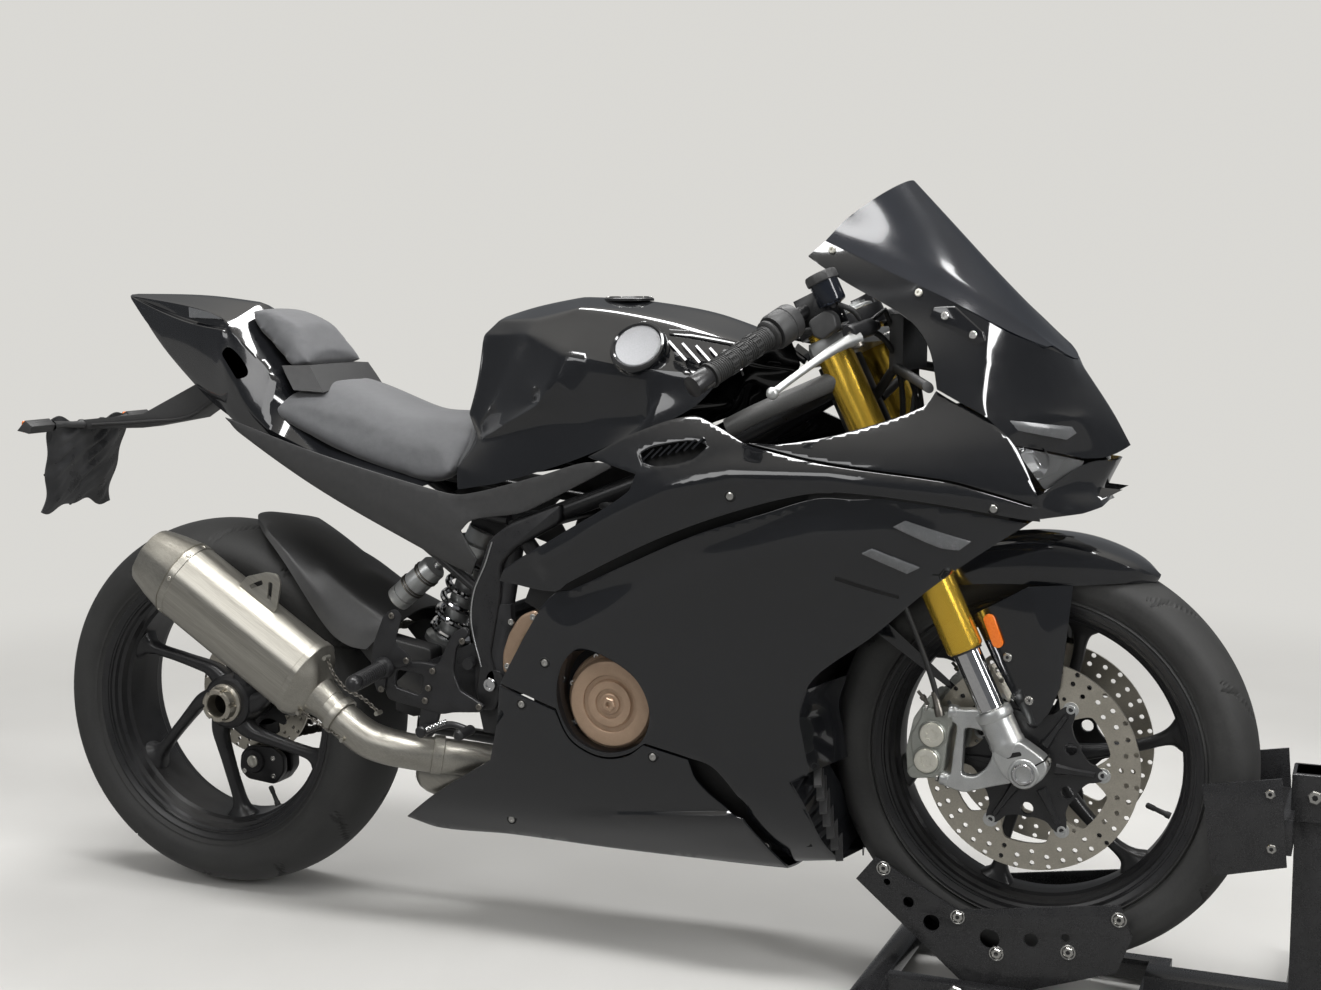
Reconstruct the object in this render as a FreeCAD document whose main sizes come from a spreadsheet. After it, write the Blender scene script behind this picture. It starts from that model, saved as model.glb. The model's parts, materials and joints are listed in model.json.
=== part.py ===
import FreeCAD, Part
import math
import os
import re
import Sketcher

# A full-fairing sport bike that stands with its front wheel in a wheel chock.
# Millimetres. X runs forward, Y to the rider's left, Z up, and Z = 0 is the floor.
# Each piece is drawn from the floor point under the rear axle, or from its own axle,
# and its placement carries it to the part's origin.

vector = FreeCAD.Vector
doc = FreeCAD.newDocument("SportBike")

# Driving sizes: name, value, what it is
sizes = [
    ("wheelbase", 1380, "rear axle to front axle"),
    ("rear_axle_x", -718, "rear axle from the part's origin"),
    ("front_lift", 54, "height of the front tyre's lowest point in the chock"),
    ("seat_gap", 0.3, "gap between a soft or curved piece and its seat"),
    ("running_gap", 0.05, "radial play of a running fit"),
    ("rear_radius", 315, "rear tyre radius"),
    ("front_radius", 300, "front tyre radius"),
    ("rear_half", 90, "rear tyre half width"),
    ("front_half", 60, "front tyre half width"),
    ("rear_drop", 50, "rear tread crown height"),
    ("front_drop", 34, "front tread crown height"),
    ("flange_radius", 232, "rim flange radius"),
    ("bead_radius", 216, "rim bead seat radius"),
    ("flange_thick", 6, "rim flange thickness"),
    ("rim_wall", 7, "rim barrel wall"),
    ("rim_well", 24, "depth of the rim's drop centre"),
    ("rear_rim_half", 76, "rear rim half width"),
    ("front_rim_half", 53, "front rim half width"),
    ("rear_hub_radius", 46, "rear hub radius"),
    ("rear_hub_right", 38, "rear hub face, right of the wheel plane"),
    ("rear_hub_left", 44, "rear hub face, left of the wheel plane"),
    ("front_hub_radius", 32, "front hub radius"),
    ("front_hub_half", 66, "front hub half length"),
    ("spoke_count", 6, "spokes in a wheel"),
    ("spoke_root", 15, "spoke half width at the hub"),
    ("spoke_neck", 9, "spoke half width at its waist"),
    ("spoke_foot", 28, "spoke half width at the rim"),
    ("rear_sweep", 37, "turn of a rear spoke from hub to rim, degrees"),
    ("front_turn", 17, "front wheel as it stands, degrees"),
    ("bobbin_turn", 33, "front disc's bobbins as they stand, degrees"),
    ("spoke_depth", 24, "spoke depth along the axle"),
    ("rear_spoke_y", -16, "rear spoke plane"),
    ("front_axle_radius", 12.5, "front axle radius"),
    ("front_axle_half", 131, "front axle half length"),
    ("disc_radius", 150, "front brake disc radius"),
    ("disc_inner", 114, "front brake disc inner radius"),
    ("disc_thick", 5, "front brake disc thickness"),
    ("disc_y", 72, "front brake disc plane"),
    ("carrier_radius", 108, "front disc carrier reach"),
    ("bobbin_radius", 9, "disc bobbin radius"),
    ("disc_hole", 4, "radius of a hole in a front disc"),
    ("hole_columns", 24, "columns of holes round a front disc"),
    ("hole_inner", 126, "inner row of disc holes, radius"),
    ("hole_outer", 140, "outer row of disc holes, radius"),
    ("rear_disc_radius", 110, "rear brake disc radius"),
    ("rear_disc_inner", 74, "rear brake disc inner radius"),
    ("rear_disc_y", 54, "rear brake disc plane"),
    ("spindle_radius", 24, "rear spindle radius"),
    ("spindle_left", 150, "rear spindle end on the left"),
    ("nut_radius", 29, "rear wheel nut radius"),
    ("nut_bore", 19, "rear wheel nut bore radius"),
    ("nut_length", 26, "rear wheel nut length"),
    ("nut_slot", 9, "width of a slot in the rear wheel nut"),
    ("hub_ring_radius", 62, "swingarm hub ring radius"),
    ("hub_ring_right", 66, "swingarm hub ring, right face"),
    ("arm_right", 98, "swingarm beam, right face"),
    ("arm_left", 122, "swingarm beam, left face"),
    ("arm_cross_right", 108, "swingarm cross part, right reach"),
    ("pivot_x", 590, "swingarm pivot ahead of the rear axle"),
    ("pivot_z", 430, "swingarm pivot height"),
    ("pivot_radius", 14, "swingarm pivot shaft radius"),
    ("pivot_half", 168, "swingarm pivot shaft half length"),
    ("chain_y", 137, "chain plane"),
    ("chain_half", 8, "half width of the chain"),
    ("chain_height", 11, "height of the chain's links"),
    ("sprocket_radius", 88, "rear sprocket radius"),
    ("drive_radius", 34, "front sprocket radius"),
    ("drive_x", 690, "front sprocket ahead of the rear axle"),
    ("drive_z", 448, "front sprocket height"),
    ("rake", 25.2, "steering axis from the vertical, degrees"),
    ("axle_lead", 9, "front axle ahead of the fork tubes' line"),
    ("yoke_offset", 28, "fork tubes ahead of the steering axis"),
    ("fork_half", 105, "half spacing of the fork tubes"),
    ("tube_radius", 27, "fork outer tube radius"),
    ("tube_low", 190, "fork outer tube's lower end above the axle"),
    ("tube_top", 702, "fork outer tube's top above the axle"),
    ("stanchion_radius", 20.5, "fork stanchion radius"),
    ("foot_top", 96, "top of the fork foot above the axle"),
    ("foot_half", 22, "half width of the fork foot"),
    ("lower_yoke_z", 440, "lower yoke height above the axle"),
    ("top_yoke_z", 636, "top yoke height above the axle"),
    ("yoke_thick", 34, "lower yoke thickness"),
    ("top_yoke_thick", 22, "top yoke thickness"),
    ("stem_radius", 16, "steering stem radius"),
    ("head_radius", 34, "steering head radius"),
    ("bar_z", 668, "bar clamp height above the axle"),
    ("bar_clamp", 30, "height of the bar clamp"),
    ("bar_sweep", 36, "bar's sweep back, degrees"),
    ("bar_drop", 12, "bar's drop, degrees"),
    ("bar_radius", 11, "bar tube radius"),
    ("grip_radius", 17, "grip radius"),
    ("grip_length", 122, "grip length"),
    ("weight_radius", 15, "bar end weight radius"),
    ("weight_length", 30, "bar end weight length"),
    ("fender_gap", 9, "front tyre to front fender"),
    ("fender_wall", 4, "fender wall"),
    ("fender_half", 72, "front fender half width"),
    ("hugger_gap", 16, "rear tyre to hugger"),
    ("hugger_half", 103, "hugger half width"),
    ("panel_wall", 4, "bodywork wall"),
    ("fairing_seam", 0.6, "gap at a seam between two body panels"),
    ("clutch_x", 790, "clutch cover ahead of the rear axle"),
    ("clutch_z", 415, "clutch cover height"),
    ("clutch_radius", 66, "clutch cover radius"),
    ("clutch_face", 190, "clutch cover's outer face from the centre plane"),
    ("engine_half", 128, "engine block half width"),
    ("silencer_y", -172, "silencer axis from the centre plane"),
    ("silencer_half", 52, "silencer half width"),
    ("silencer_rise", 66, "silencer half height"),
    ("band_rise", 1.5, "rise of the silencer's end bands"),
    ("pipe_radius", 27, "exhaust pipe radius"),
    ("peg_x", 408, "footpeg ahead of the rear axle"),
    ("peg_z", 436, "footpeg height"),
    ("peg_root", 196, "footpeg's inner end from the centre plane"),
    ("peg_length", 96, "footpeg length"),
    ("peg_radius", 13, "footpeg radius"),
    ("rearset_y", 176, "rearset plate plane"),
    ("rearset_thick", 8, "rearset plate thickness"),
    ("cradle_half", 82, "inner half width of the chock's cradle"),
    ("cradle_wall", 4, "chock plate thickness"),
    ("rear_ramp", 40, "slope of the cradle's rear ramp, degrees"),
    ("front_ramp", 20, "slope of the cradle's front ramp, degrees"),
    ("rear_ramp_up", 66, "rear ramp's length above its touch point"),
    ("front_ramp_up", 24, "front ramp's length above its touch point"),
    ("guide_half", 84, "inner half gap of the chock's guide plates"),
    ("post_lead", 372, "chock post ahead of the front axle"),
    ("post_top", 366, "chock post height"),
    ("beam_side", 50, "chock beam's square section"),
    ("cross_half", 270, "half length of the chock's cross tubes"),
    ("cross_radius", 21, "cross tube radius"),
    ("cross_lead", 360, "front cross tube ahead of the front axle"),
    ("cross_back", 210, "rear cross tube behind the front axle"),
    ("rail_gap", 4, "chock rails above the floor"),
    ("rail_width", 24, "chock rail width"),
    ("rail_height", 30, "chock rail height"),
    ("bridge_lead", 150, "rear face of the chock's bridge ahead of the front axle"),
    ("stand_x", 520, "side stand pivot ahead of the rear axle"),
    ("stand_y", 128, "side stand pivot from the centre plane"),
    ("stand_z", 250, "side stand pivot height"),
    ("stand_length", 230, "side stand length"),
    ("stand_radius", 11, "side stand leg radius"),
    ("stand_hub", 18, "side stand hub radius"),
    ("stand_hub_half", 12, "side stand hub half length"),
    ("stand_foot", 20, "side stand foot radius"),
    ("stand_lean", 20, "tilt of the side stand's pivot, degrees"),
    ("stand_swing", 100, "side stand's turn from folded to down, degrees"),
    ("cap_x", 742, "fuel cap ahead of the rear axle"),
    ("cap_radius", 38, "fuel cap radius"),
    ("cap_thick", 8, "fuel cap thickness"),
    ("cap_z", 989, "top of the tank under the fuel cap"),
]

sheet = doc.addObject("Spreadsheet::Sheet", "Sizes")
aliases = set()
for row, (name, value, meaning) in enumerate(sizes, start=1):
    sheet.set("A%d" % row, name)
    sheet.set("B%d" % row, str(value))
    sheet.set("C%d" % row, meaning)
    sheet.setAlias("B%d" % row, name)
    aliases.add(name)
doc.recompute()
nodes = []


def size(name):
    return float(sheet.get(name))


def bound(text):
    """The text with each size's name turned into a reference to its cell."""
    return re.sub(r"[a-z][a-z_]*", lambda m: "Sizes." + m.group(0) if m.group(0) in aliases else m.group(0),
                  text)


def number(owner, text):
    value = owner.evalExpression(bound(text))
    return float(value.Value) if hasattr(value, "Value") else float(value)


def node(thing, label, base=("rear_axle_x", "0", "0"), turn=None):
    """Names a sub-part, binds its placement and notes it for writing."""
    thing.Label = label
    if turn:
        thing.Placement = FreeCAD.Placement(vector(0, 0, 0), FreeCAD.Rotation(turn[0], 1))
        thing.setExpression("Placement.Rotation.Angle", bound(turn[1]))
    for axis, text in zip("xyz", base):
        thing.setExpression("Placement.Base." + axis, bound(text))
    nodes.append(thing)
    return thing


frontAxle = ("rear_axle_x + wheelbase", "0", "front_radius + front_lift")
rearAxle = ("rear_axle_x", "0", "rear_radius")
raked = (vector(0, -1, 0), "rake")


def solid(label, shape, base=("rear_axle_x", "0", "0"), turn=None):
    """A sub-part whose shape is worked out by Part's own functions."""
    thing = doc.addObject("Part::Feature", label)
    thing.Shape = shape.copy()
    return node(thing, label, base, turn)


def body(label, base=("rear_axle_x", "0", "0"), turn=None):
    return node(doc.addObject("PartDesign::Body", label), label, base, turn)


def outline(owner, plane, points, shift="0"):
    """A closed sketch on an origin plane of its body; each point is a pair of expressions."""
    sketch = owner.newObject("Sketcher::SketchObject", "Profile")
    face = [f for f in owner.Origin.OriginFeatures if f.Role == plane][0]
    sketch.AttachmentSupport = [(face, "")]
    sketch.MapMode = "FlatFace"
    sketch.setExpression("AttachmentOffset.Base.z", bound(shift))
    places = [vector(number(sketch, a), number(sketch, b), 0) for a, b in points]
    count = len(places)
    for i in range(count):
        sketch.addGeometry(Part.LineSegment(places[i], places[(i + 1) % count]), False)
    for i in range(count):
        sketch.addConstraint(Sketcher.Constraint("Coincident", i, 2, (i + 1) % count, 1))
    for i, (a, b) in enumerate(points):
        for kind, text, value in (("DistanceX", a, places[i].x), ("DistanceY", b, places[i].y)):
            index = sketch.addConstraint(Sketcher.Constraint(kind, -1, 1, i, 1, value))
            sketch.setExpression("Constraints[%d]" % index, bound(text))
    return sketch


def circle(owner, plane, radius, centre=("0", "0"), shift="0"):
    sketch = owner.newObject("Sketcher::SketchObject", "Round")
    face = [f for f in owner.Origin.OriginFeatures if f.Role == plane][0]
    sketch.AttachmentSupport = [(face, "")]
    sketch.MapMode = "FlatFace"
    sketch.setExpression("AttachmentOffset.Base.z", bound(shift))
    place = vector(number(sketch, centre[0]), number(sketch, centre[1]), 0)
    sketch.addGeometry(Part.Circle(place, vector(0, 0, 1), number(sketch, radius)), False)
    for kind, text, value in (("DistanceX", centre[0], place.x), ("DistanceY", centre[1], place.y)):
        index = sketch.addConstraint(Sketcher.Constraint(kind, -1, 1, 0, 3, value))
        sketch.setExpression("Constraints[%d]" % index, bound(text))
    index = sketch.addConstraint(Sketcher.Constraint("Radius", 0, number(sketch, radius)))
    sketch.setExpression("Constraints[%d]" % index, bound(radius))
    return sketch


def pad(owner, sketch, length, middle=False):
    feature = owner.newObject("PartDesign::Pad", "Pad")
    feature.Profile = sketch
    feature.Midplane = middle
    feature.setExpression("Length", bound(length))
    doc.recompute()
    return feature


def pocket(owner, sketch, length):
    """A cut that runs both ways from its sketch."""
    feature = owner.newObject("PartDesign::Pocket", "Pocket")
    feature.Profile = sketch
    feature.Midplane = True
    feature.setExpression("Length", bound(length))
    doc.recompute()
    return feature


def revolve(owner, sketch, axis="H_Axis"):
    feature = owner.newObject("PartDesign::Revolution", "Turned")
    feature.Profile = sketch
    feature.ReferenceAxis = (sketch, [axis])
    feature.Angle = 360
    doc.recompute()
    return feature


def around(owner, features, count, axis="Y_Axis"):
    """Copies of the features about an axis of the body, evenly spread."""
    line = [f for f in owner.Origin.OriginFeatures if f.Role == axis][0]
    pattern = owner.newObject("PartDesign::PolarPattern", "Around")
    pattern.Originals = features
    pattern.Axis = (line, [""])
    pattern.Angle = 360
    pattern.setExpression("Occurrences", bound(count))
    owner.Tip = pattern
    doc.recompute()
    return pattern


def rod(start, end, radius, end_radius=None):
    """A round bar, or a cone, between two points."""
    line = end - start
    if end_radius is None or abs(end_radius - radius) < 1e-6:
        return Part.makeCylinder(radius, line.Length, start, line)
    return Part.makeCone(radius, end_radius, line.Length, start, line)


def tube(points, radius):
    """Straight bars with a ball at each bend, fused."""
    pieces = [rod(a, b, radius) for a, b in zip(points, points[1:])]
    balls = [Part.makeSphere(radius, p) for p in points[1:-1]]
    return joined(pieces + balls)


def joined(pieces):
    whole = pieces[0].multiFuse(pieces[1:]) if len(pieces) > 1 else pieces[0]
    return whole.removeSplitter()


def apart(pieces):
    return Part.makeCompound([s for p in pieces for s in p.Solids])


def mirrored(shape):
    return shape.mirror(vector(0, 0, 0), vector(0, 1, 0))


def plate(points, low, high):
    """A side-view outline, X and Z, padded from one Y to another."""
    ring = [vector(x, low, z) for x, z in points]
    face = Part.Face(Part.makePolygon(ring + ring[:1]))
    return face.extrude(vector(0, high - low, 0))


def block(low, high):
    return Part.makeBox(high[0] - low[0], high[1] - low[1], high[2] - low[2], vector(*low))


def loft(sections):
    """A ruled solid through closed polygons that have the same number of points."""
    wires = [Part.makePolygon([vector(*p) for p in section] + [vector(*section[0])]) for section in sections]
    return Part.makeLoft(wires, True, True)


def hull(table):
    """A solid through symmetric sections. Each row: X, then half widths and heights, top down."""
    sections = []
    for row in table:
        x, pairs = row[0], row[1:]
        left = [(x, w, z) for w, z in pairs]
        right = [(x, -w, z) for w, z in reversed(pairs)]
        sections.append(left + right)
    return loft(sections)


def shrunk(table, wall):
    """The same sections with every half width and height drawn in by a wall."""
    rows = []
    for row in table:
        x, pairs = row[0], row[1:]
        top, low = pairs[0][1], pairs[-1][1]
        middle = (top + low) / 2
        rows.append((x,) + tuple((max(w - wall, 1), z - wall if z > middle else z + wall) for w, z in pairs))
    return rows


def side_skin(table, wall):
    """One side's body panel. Each row: X, then pairs of half width and height down the outside."""
    sections = []
    for row in table:
        x, pairs = row[0], row[1:]
        outer = [(x, -w, z) for w, z in pairs]
        inner = [(x, -(w - wall), z) for w, z in reversed(pairs)]
        sections.append(outer + inner)
    return loft(sections)


def wheel_tyre(label, base, radius, half, drop, rim_half):
    """Round crown, straight sidewalls, and beads that sit inside the rim's flanges."""
    tyre = body(label, base)
    steps = (90, 68, 46, 23, 0, -23, -46, -68, -90)
    lip = "(%s - flange_thick - seat_gap)" % rim_half
    points = [(lip, "bead_radius + seat_gap"), (lip, "flange_radius + seat_gap")]
    points += [("%s * sin(%d)" % (half, a), "%s - %s + %s * cos(%d)" % (radius, drop, drop, a))
               for a in steps]
    points += [("-" + lip, "flange_radius + seat_gap"), ("-" + lip, "bead_radius + seat_gap")]
    # The sketch lies on the YZ plane, whose own first axis is Y
    revolve(tyre, outline(tyre, "YZ_Plane", points))
    return tyre


def barrel_points(half):
    """Rim section: flanges, bead seats and the drop centre, then back along the inside."""
    outside = [
        (half, "flange_radius"),
        (half + " - flange_thick", "flange_radius"),
        (half + " - flange_thick", "bead_radius"),
        (half + " * 0.45", "bead_radius - 2"),
        (half + " * 0.3", "bead_radius - rim_well"),
    ]
    inside = [
        (half + " * 0.3 + 2", "bead_radius - rim_well - rim_wall"),
        (half + " * 0.5", "bead_radius - rim_wall - 4"),
        (half, "bead_radius - rim_wall"),
    ]
    flip = lambda rows: [("-(" + a + ")", b) for a, b in reversed(rows)]
    return outside + flip(outside) + flip(inside) + inside


# Front wheel
wheel_tyre("front_tyre", frontAxle, "front_radius", "front_half", "front_drop", "front_rim_half")


def rim(label, base, half, hub_left, hub_right, hub_radius, bore, spoke_y, turn_points):
    wheel = body(label, base)
    revolve(wheel, outline(wheel, "YZ_Plane", barrel_points(half)))
    hub_points = [(hub_left, bore), (hub_left, hub_radius), ("-(" + hub_right + ")", hub_radius),
                  ("-(" + hub_right + ")", bore)]
    revolve(wheel, outline(wheel, "YZ_Plane", hub_points))
    # XZ sketches look along +Y reversed, so a positive shift runs to -Y
    spoke = pad(wheel, outline(wheel, "XZ_Plane", turn_points, "-(" + spoke_y + ")"), "spoke_depth", True)
    around(wheel, [spoke], "spoke_count")
    return wheel


def spoke_points(hub_radius, sweep_text, turn_text):
    """A spoke up the wheel's radius whose root lags its foot by the sweep, all turned about the axle."""
    reach = "(bead_radius - rim_wall - 2)"
    stations = [
        (hub_radius + " - 5", "1", "spoke_root"),
        (reach + " * 0.34", "0.85", "spoke_root * 0.85"),
        (reach + " * 0.53", "0.42", "spoke_neck * 1.1"),
        (reach + " * 0.72", "0.13", "spoke_neck"),
        (reach + " * 0.88", "0.02", "spoke_neck * 1.2"),
        (reach, "0", "spoke_foot"),
    ]
    right, left = [], []
    for radius, share, half in stations:
        angle = "(%s + %s * %s)" % (turn_text, sweep_text, share)
        along, aside = "(%s) * cos%s" % (radius, angle), "(%s) * sin%s" % (radius, angle)
        right.append(("%s + %s * cos%s" % (aside, half, angle), "%s - %s * sin%s" % (along, half, angle)))
        left.append(("%s - %s * cos%s" % (aside, half, angle), "%s + %s * sin%s" % (along, half, angle)))
    notch = (reach + " * 0.93 * sin(%s)" % turn_text, reach + " * 0.93 * cos(%s)" % turn_text)
    return right + [notch] + left[::-1]


rim("front_rim", frontAxle, "front_rim_half", "front_hub_half", "front_hub_half", "front_hub_radius",
    "front_axle_radius + running_gap", "0", spoke_points("front_hub_radius", "0", "front_turn"))

# Front discs: drilled ring, star carrier and bobbins, one set each side of the hub
def turned_point(aside, along, angle):
    """A point up the wheel's radius and aside from it, turned about the axle."""
    return ("(%s) * cos(%s) + (%s) * sin(%s)" % (aside, angle, along, angle),
            "(%s) * cos(%s) - (%s) * sin(%s)" % (along, angle, aside, angle))


frontDiscs = body("front_discs", frontAxle)
copies = []
for side in ("", "-"):
    plane = side + "disc_y"
    pad(frontDiscs, circle(frontDiscs, "XZ_Plane", "disc_radius", shift=plane), "disc_thick", True)
pocket(frontDiscs, circle(frontDiscs, "XZ_Plane", "disc_inner"), "disc_y * 3")
for side in ("", "-"):
    plane = side + "disc_y"
    boss = side + "(front_hub_half + disc_y + disc_thick / 2) / 2"
    pad(frontDiscs, circle(frontDiscs, "XZ_Plane", "front_hub_radius + 8", shift=boss),
        "disc_y + disc_thick / 2 - front_hub_half", True)
    arm = []
    for half, radius in (("14", "front_hub_radius"), ("6", "carrier_radius * 0.7"), ("14", "carrier_radius")):
        arm.append(turned_point("-" + half, radius, "bobbin_turn"))
        arm.insert(0, turned_point(half, radius, "bobbin_turn"))
    copies.append(pad(frontDiscs, outline(frontDiscs, "XZ_Plane", arm, plane), "disc_thick", True))
    bobbin = circle(frontDiscs, "XZ_Plane", "bobbin_radius",
                    turned_point("0", "disc_inner - 3", "bobbin_turn"), plane)
    copies.append(pad(frontDiscs, bobbin, "disc_thick + 3", True))
around(frontDiscs, copies, "spoke_count")
rows = [pocket(frontDiscs, circle(frontDiscs, "XZ_Plane", "disc_hole", (aside, along)), "disc_y * 3")
        for aside, along in (("0", "hole_inner"), turned_point("0", "hole_outer", "180 / hole_columns"))]
around(frontDiscs, rows, "hole_columns")
pocket(frontDiscs, circle(frontDiscs, "XZ_Plane", "front_axle_radius + 6"), "disc_y * 3")

# Rear wheel
wheel_tyre("rear_tyre", rearAxle, "rear_radius", "rear_half", "rear_drop", "rear_rim_half")
rim("rear_rim", rearAxle, "rear_rim_half", "rear_hub_left", "rear_hub_right", "rear_hub_radius",
    "spindle_radius + running_gap", "rear_spoke_y", spoke_points("rear_hub_radius", "rear_sweep", "0"))

# Rear disc on its carrier, left of the spokes
rearDisc = body("rear_disc", rearAxle)
pad(rearDisc, circle(rearDisc, "XZ_Plane", "rear_disc_radius", shift="-rear_disc_y"), "disc_thick", True)
pocket(rearDisc, circle(rearDisc, "XZ_Plane", "rear_disc_inner"), "rear_disc_y * 4")
hubPlane = "-(rear_hub_left + rear_disc_y + disc_thick / 2) / 2"
pad(rearDisc, circle(rearDisc, "XZ_Plane", "rear_hub_radius - 4", shift=hubPlane),
    "rear_disc_y + disc_thick / 2 - rear_hub_left", True)
reach = [("-12", "spindle_radius + 8"), ("-9", "rear_disc_inner + 4"), ("9", "rear_disc_inner + 4"),
         ("12", "spindle_radius + 8")]
arm = pad(rearDisc, outline(rearDisc, "XZ_Plane", reach, "-rear_disc_y"), "disc_thick", True)
around(rearDisc, [arm], "spoke_count")
pocket(rearDisc, circle(rearDisc, "XZ_Plane", "spindle_radius + running_gap"), "rear_disc_y * 4")

# Rear spindle with the castellated nut on the right
nut = body("rear_nut", rearAxle)
pad(nut, circle(nut, "XZ_Plane", "nut_radius", shift="rear_hub_right + nut_length / 2"), "nut_length", True)
pad(nut, circle(nut, "XZ_Plane", "spindle_radius", shift="(rear_hub_right - spindle_left) / 2"),
    "rear_hub_right + spindle_left", True)
pocket(nut, circle(nut, "XZ_Plane", "nut_bore"), "spindle_left * 3")
slot = [("-nut_slot / 2", "nut_bore - 4"), ("-nut_slot / 2", "nut_radius + 2"),
        ("nut_slot / 2", "nut_radius + 2"),
        ("nut_slot / 2", "nut_bore - 4")]
cutter = pocket(nut, outline(nut, "XZ_Plane", slot, "rear_hub_right + nut_length"), "nut_length * 0.6")
around(nut, [cutter], "6")

# Rear sprocket, left of the swingarm
sprocket = body("rear_sprocket", rearAxle)
pad(sprocket, circle(sprocket, "XZ_Plane", "sprocket_radius", shift="-chain_y"), "disc_thick", True)
openingPoints = [("-12", "spindle_radius + 16"), ("-22", "sprocket_radius - 16"),
                 ("22", "sprocket_radius - 16"), ("12", "spindle_radius + 16")]
window = outline(sprocket, "XZ_Plane", openingPoints, "-chain_y")
around(sprocket, [pocket(sprocket, window, "disc_thick * 3")], "spoke_count")
pocket(sprocket, circle(sprocket, "XZ_Plane", "spindle_radius + running_gap", shift="-chain_y"),
       "disc_thick * 3")

# Fork, on the raked frame: its origin is the front axle and its Z follows the tubes
forkLine = -size("axle_lead")
forkHalf = size("fork_half")
stemLine = forkLine - size("yoke_offset")
sides = (-1, 1)


def upright(x, y, low, high, radius):
    return Part.makeCylinder(radius, high - low, vector(x, y, low), vector(0, 0, 1))


def across(x, z, low, high, radius):
    """A round bar along Y."""
    return Part.makeCylinder(radius, high - low, vector(x, low, z), vector(0, 1, 0))


tubes = apart([upright(forkLine, s * forkHalf, size("tube_low"), size("tube_top"),
                       size("tube_radius")) for s in sides])
solid("fork_tubes", tubes, frontAxle, raked)
solid("stanchions", apart([upright(forkLine, s * forkHalf, size("foot_top"), size("tube_low"),
                                   size("stanchion_radius"))
                           for s in sides]), frontAxle, raked)

# The caliper sits behind the fork, on two legs of the foot
caliperAngle = 149
caliperReach = 100
legSpread = 23


def polar(radius, degrees):
    return radius * math.cos(math.radians(degrees)), radius * math.sin(math.radians(degrees))


def fork_foot(side):
    y = side * forkHalf
    half = size("foot_half")
    sleeve = upright(forkLine, y, 22, size("foot_top"), size("stanchion_radius") + 5)
    boss = across(0, 0, y - half, y + half, size("front_axle_radius") + 13)
    web = plate([(-26, 0), (24, 0), (12, 60), (-30, 60)], y - half * 0.8, y + half * 0.8)
    pieces = [sleeve, boss, web]
    for swing in (-legSpread, legSpread):
        x, z = polar(caliperReach * 1.12, caliperAngle + swing)
        root = (-12, 52) if swing < 0 else (-10, 6)
        dx, dz = x - root[0], z - root[1]
        length = math.hypot(dx, dz)
        nx, nz = -dz / length * 9, dx / length * 9
        ring = [(root[0] + nx, root[1] + nz), (x + nx, z + nz), (x - nx, z - nz),
                (root[0] - nx, root[1] - nz)]
        inner, outer = sorted((side * (forkHalf - half), side * (forkHalf + 4)))
        pieces.append(plate(ring, inner, outer))
    foot = joined(pieces)
    bore = across(0, 0, y - half - 5, y + half + 5, size("front_axle_radius") + size("running_gap"))
    return foot.cut(bore)


solid("front_axle", across(0, 0, -size("front_axle_half"), size("front_axle_half"),
                           size("front_axle_radius")),
      frontAxle, raked)


def caliper(side):
    """A block over the disc's edge, with a slot for the disc and rounded piston caps."""
    length, depth, half = 104, 62, 42
    y = side * size("disc_y")
    blank = Part.makeBox(depth, 2 * half, length, vector(caliperReach + 0.3, y - half, -length / 2))
    slot = Part.makeBox(depth, size("disc_thick") + 6, length + 2,
                        vector(caliperReach - 1 - 4, y - size("disc_thick") / 2 - 3, -length / 2 - 1))
    shape = blank.cut(slot)
    caps = [Part.makeCylinder(16, 6, vector(caliperReach + 30, y + side * half, z),
                              vector(0, side, 0)) for z in (-24, 24)]
    shape = joined([shape] + caps)
    shape.rotate(vector(0, 0, 0), vector(0, -1, 0), caliperAngle)
    return shape


calipers = apart([caliper(s) for s in sides])
solid("front_calipers", calipers, frontAxle, raked)
feet = apart([fork_foot(s) for s in sides]).cut(calipers)
solid("fork_feet", feet, frontAxle, raked)

# Yokes and stem
def yoke(low, high, ahead, behind, wide):
    outer = forkHalf + size("tube_radius") + wide
    ring = [(forkLine - 20, outer), (forkLine + ahead, outer - 14), (forkLine + ahead, -outer + 14),
            (forkLine - 20, -outer),
            (stemLine - behind, -30), (stemLine - behind, 30)]
    points = [vector(x, y, low) for x, y in ring]
    blank = Part.Face(Part.makePolygon(points + points[:1])).extrude(vector(0, 0, high - low))
    for s in sides:
        blank = blank.cut(upright(forkLine, s * forkHalf, low - 1, high + 1,
                                  size("tube_radius") + size("running_gap")))
    return blank


through = 400
lowerYoke = size("lower_yoke_z")
topYoke = size("top_yoke_z")
yokes = [yoke(lowerYoke, lowerYoke + size("yoke_thick"), 33, 34, 8),
         yoke(topYoke, topYoke + size("top_yoke_thick"), 33, 30, 8)]
stem = upright(stemLine, 0, lowerYoke, topYoke + size("top_yoke_thick") + 14, size("stem_radius"))
solid("yokes", joined(yokes + [stem]), frontAxle, raked)

# Bars: a clamp round each tube, a riser, and the bar that drops and sweeps back
sweep = math.radians(size("bar_sweep"))
drop = math.radians(size("bar_drop"))
barRise = 36
barStart = vector(forkLine + 8, forkHalf + 24, size("bar_z") + barRise + 2)


def bar_point(side, distance):
    run = vector(-math.sin(sweep) * math.cos(drop), math.cos(sweep) * math.cos(drop), -math.sin(drop))
    p = barStart + run * distance
    return vector(p.x, side * p.y, p.z)


gripStart = 92
gripEnd = gripStart + size("grip_length")


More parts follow.
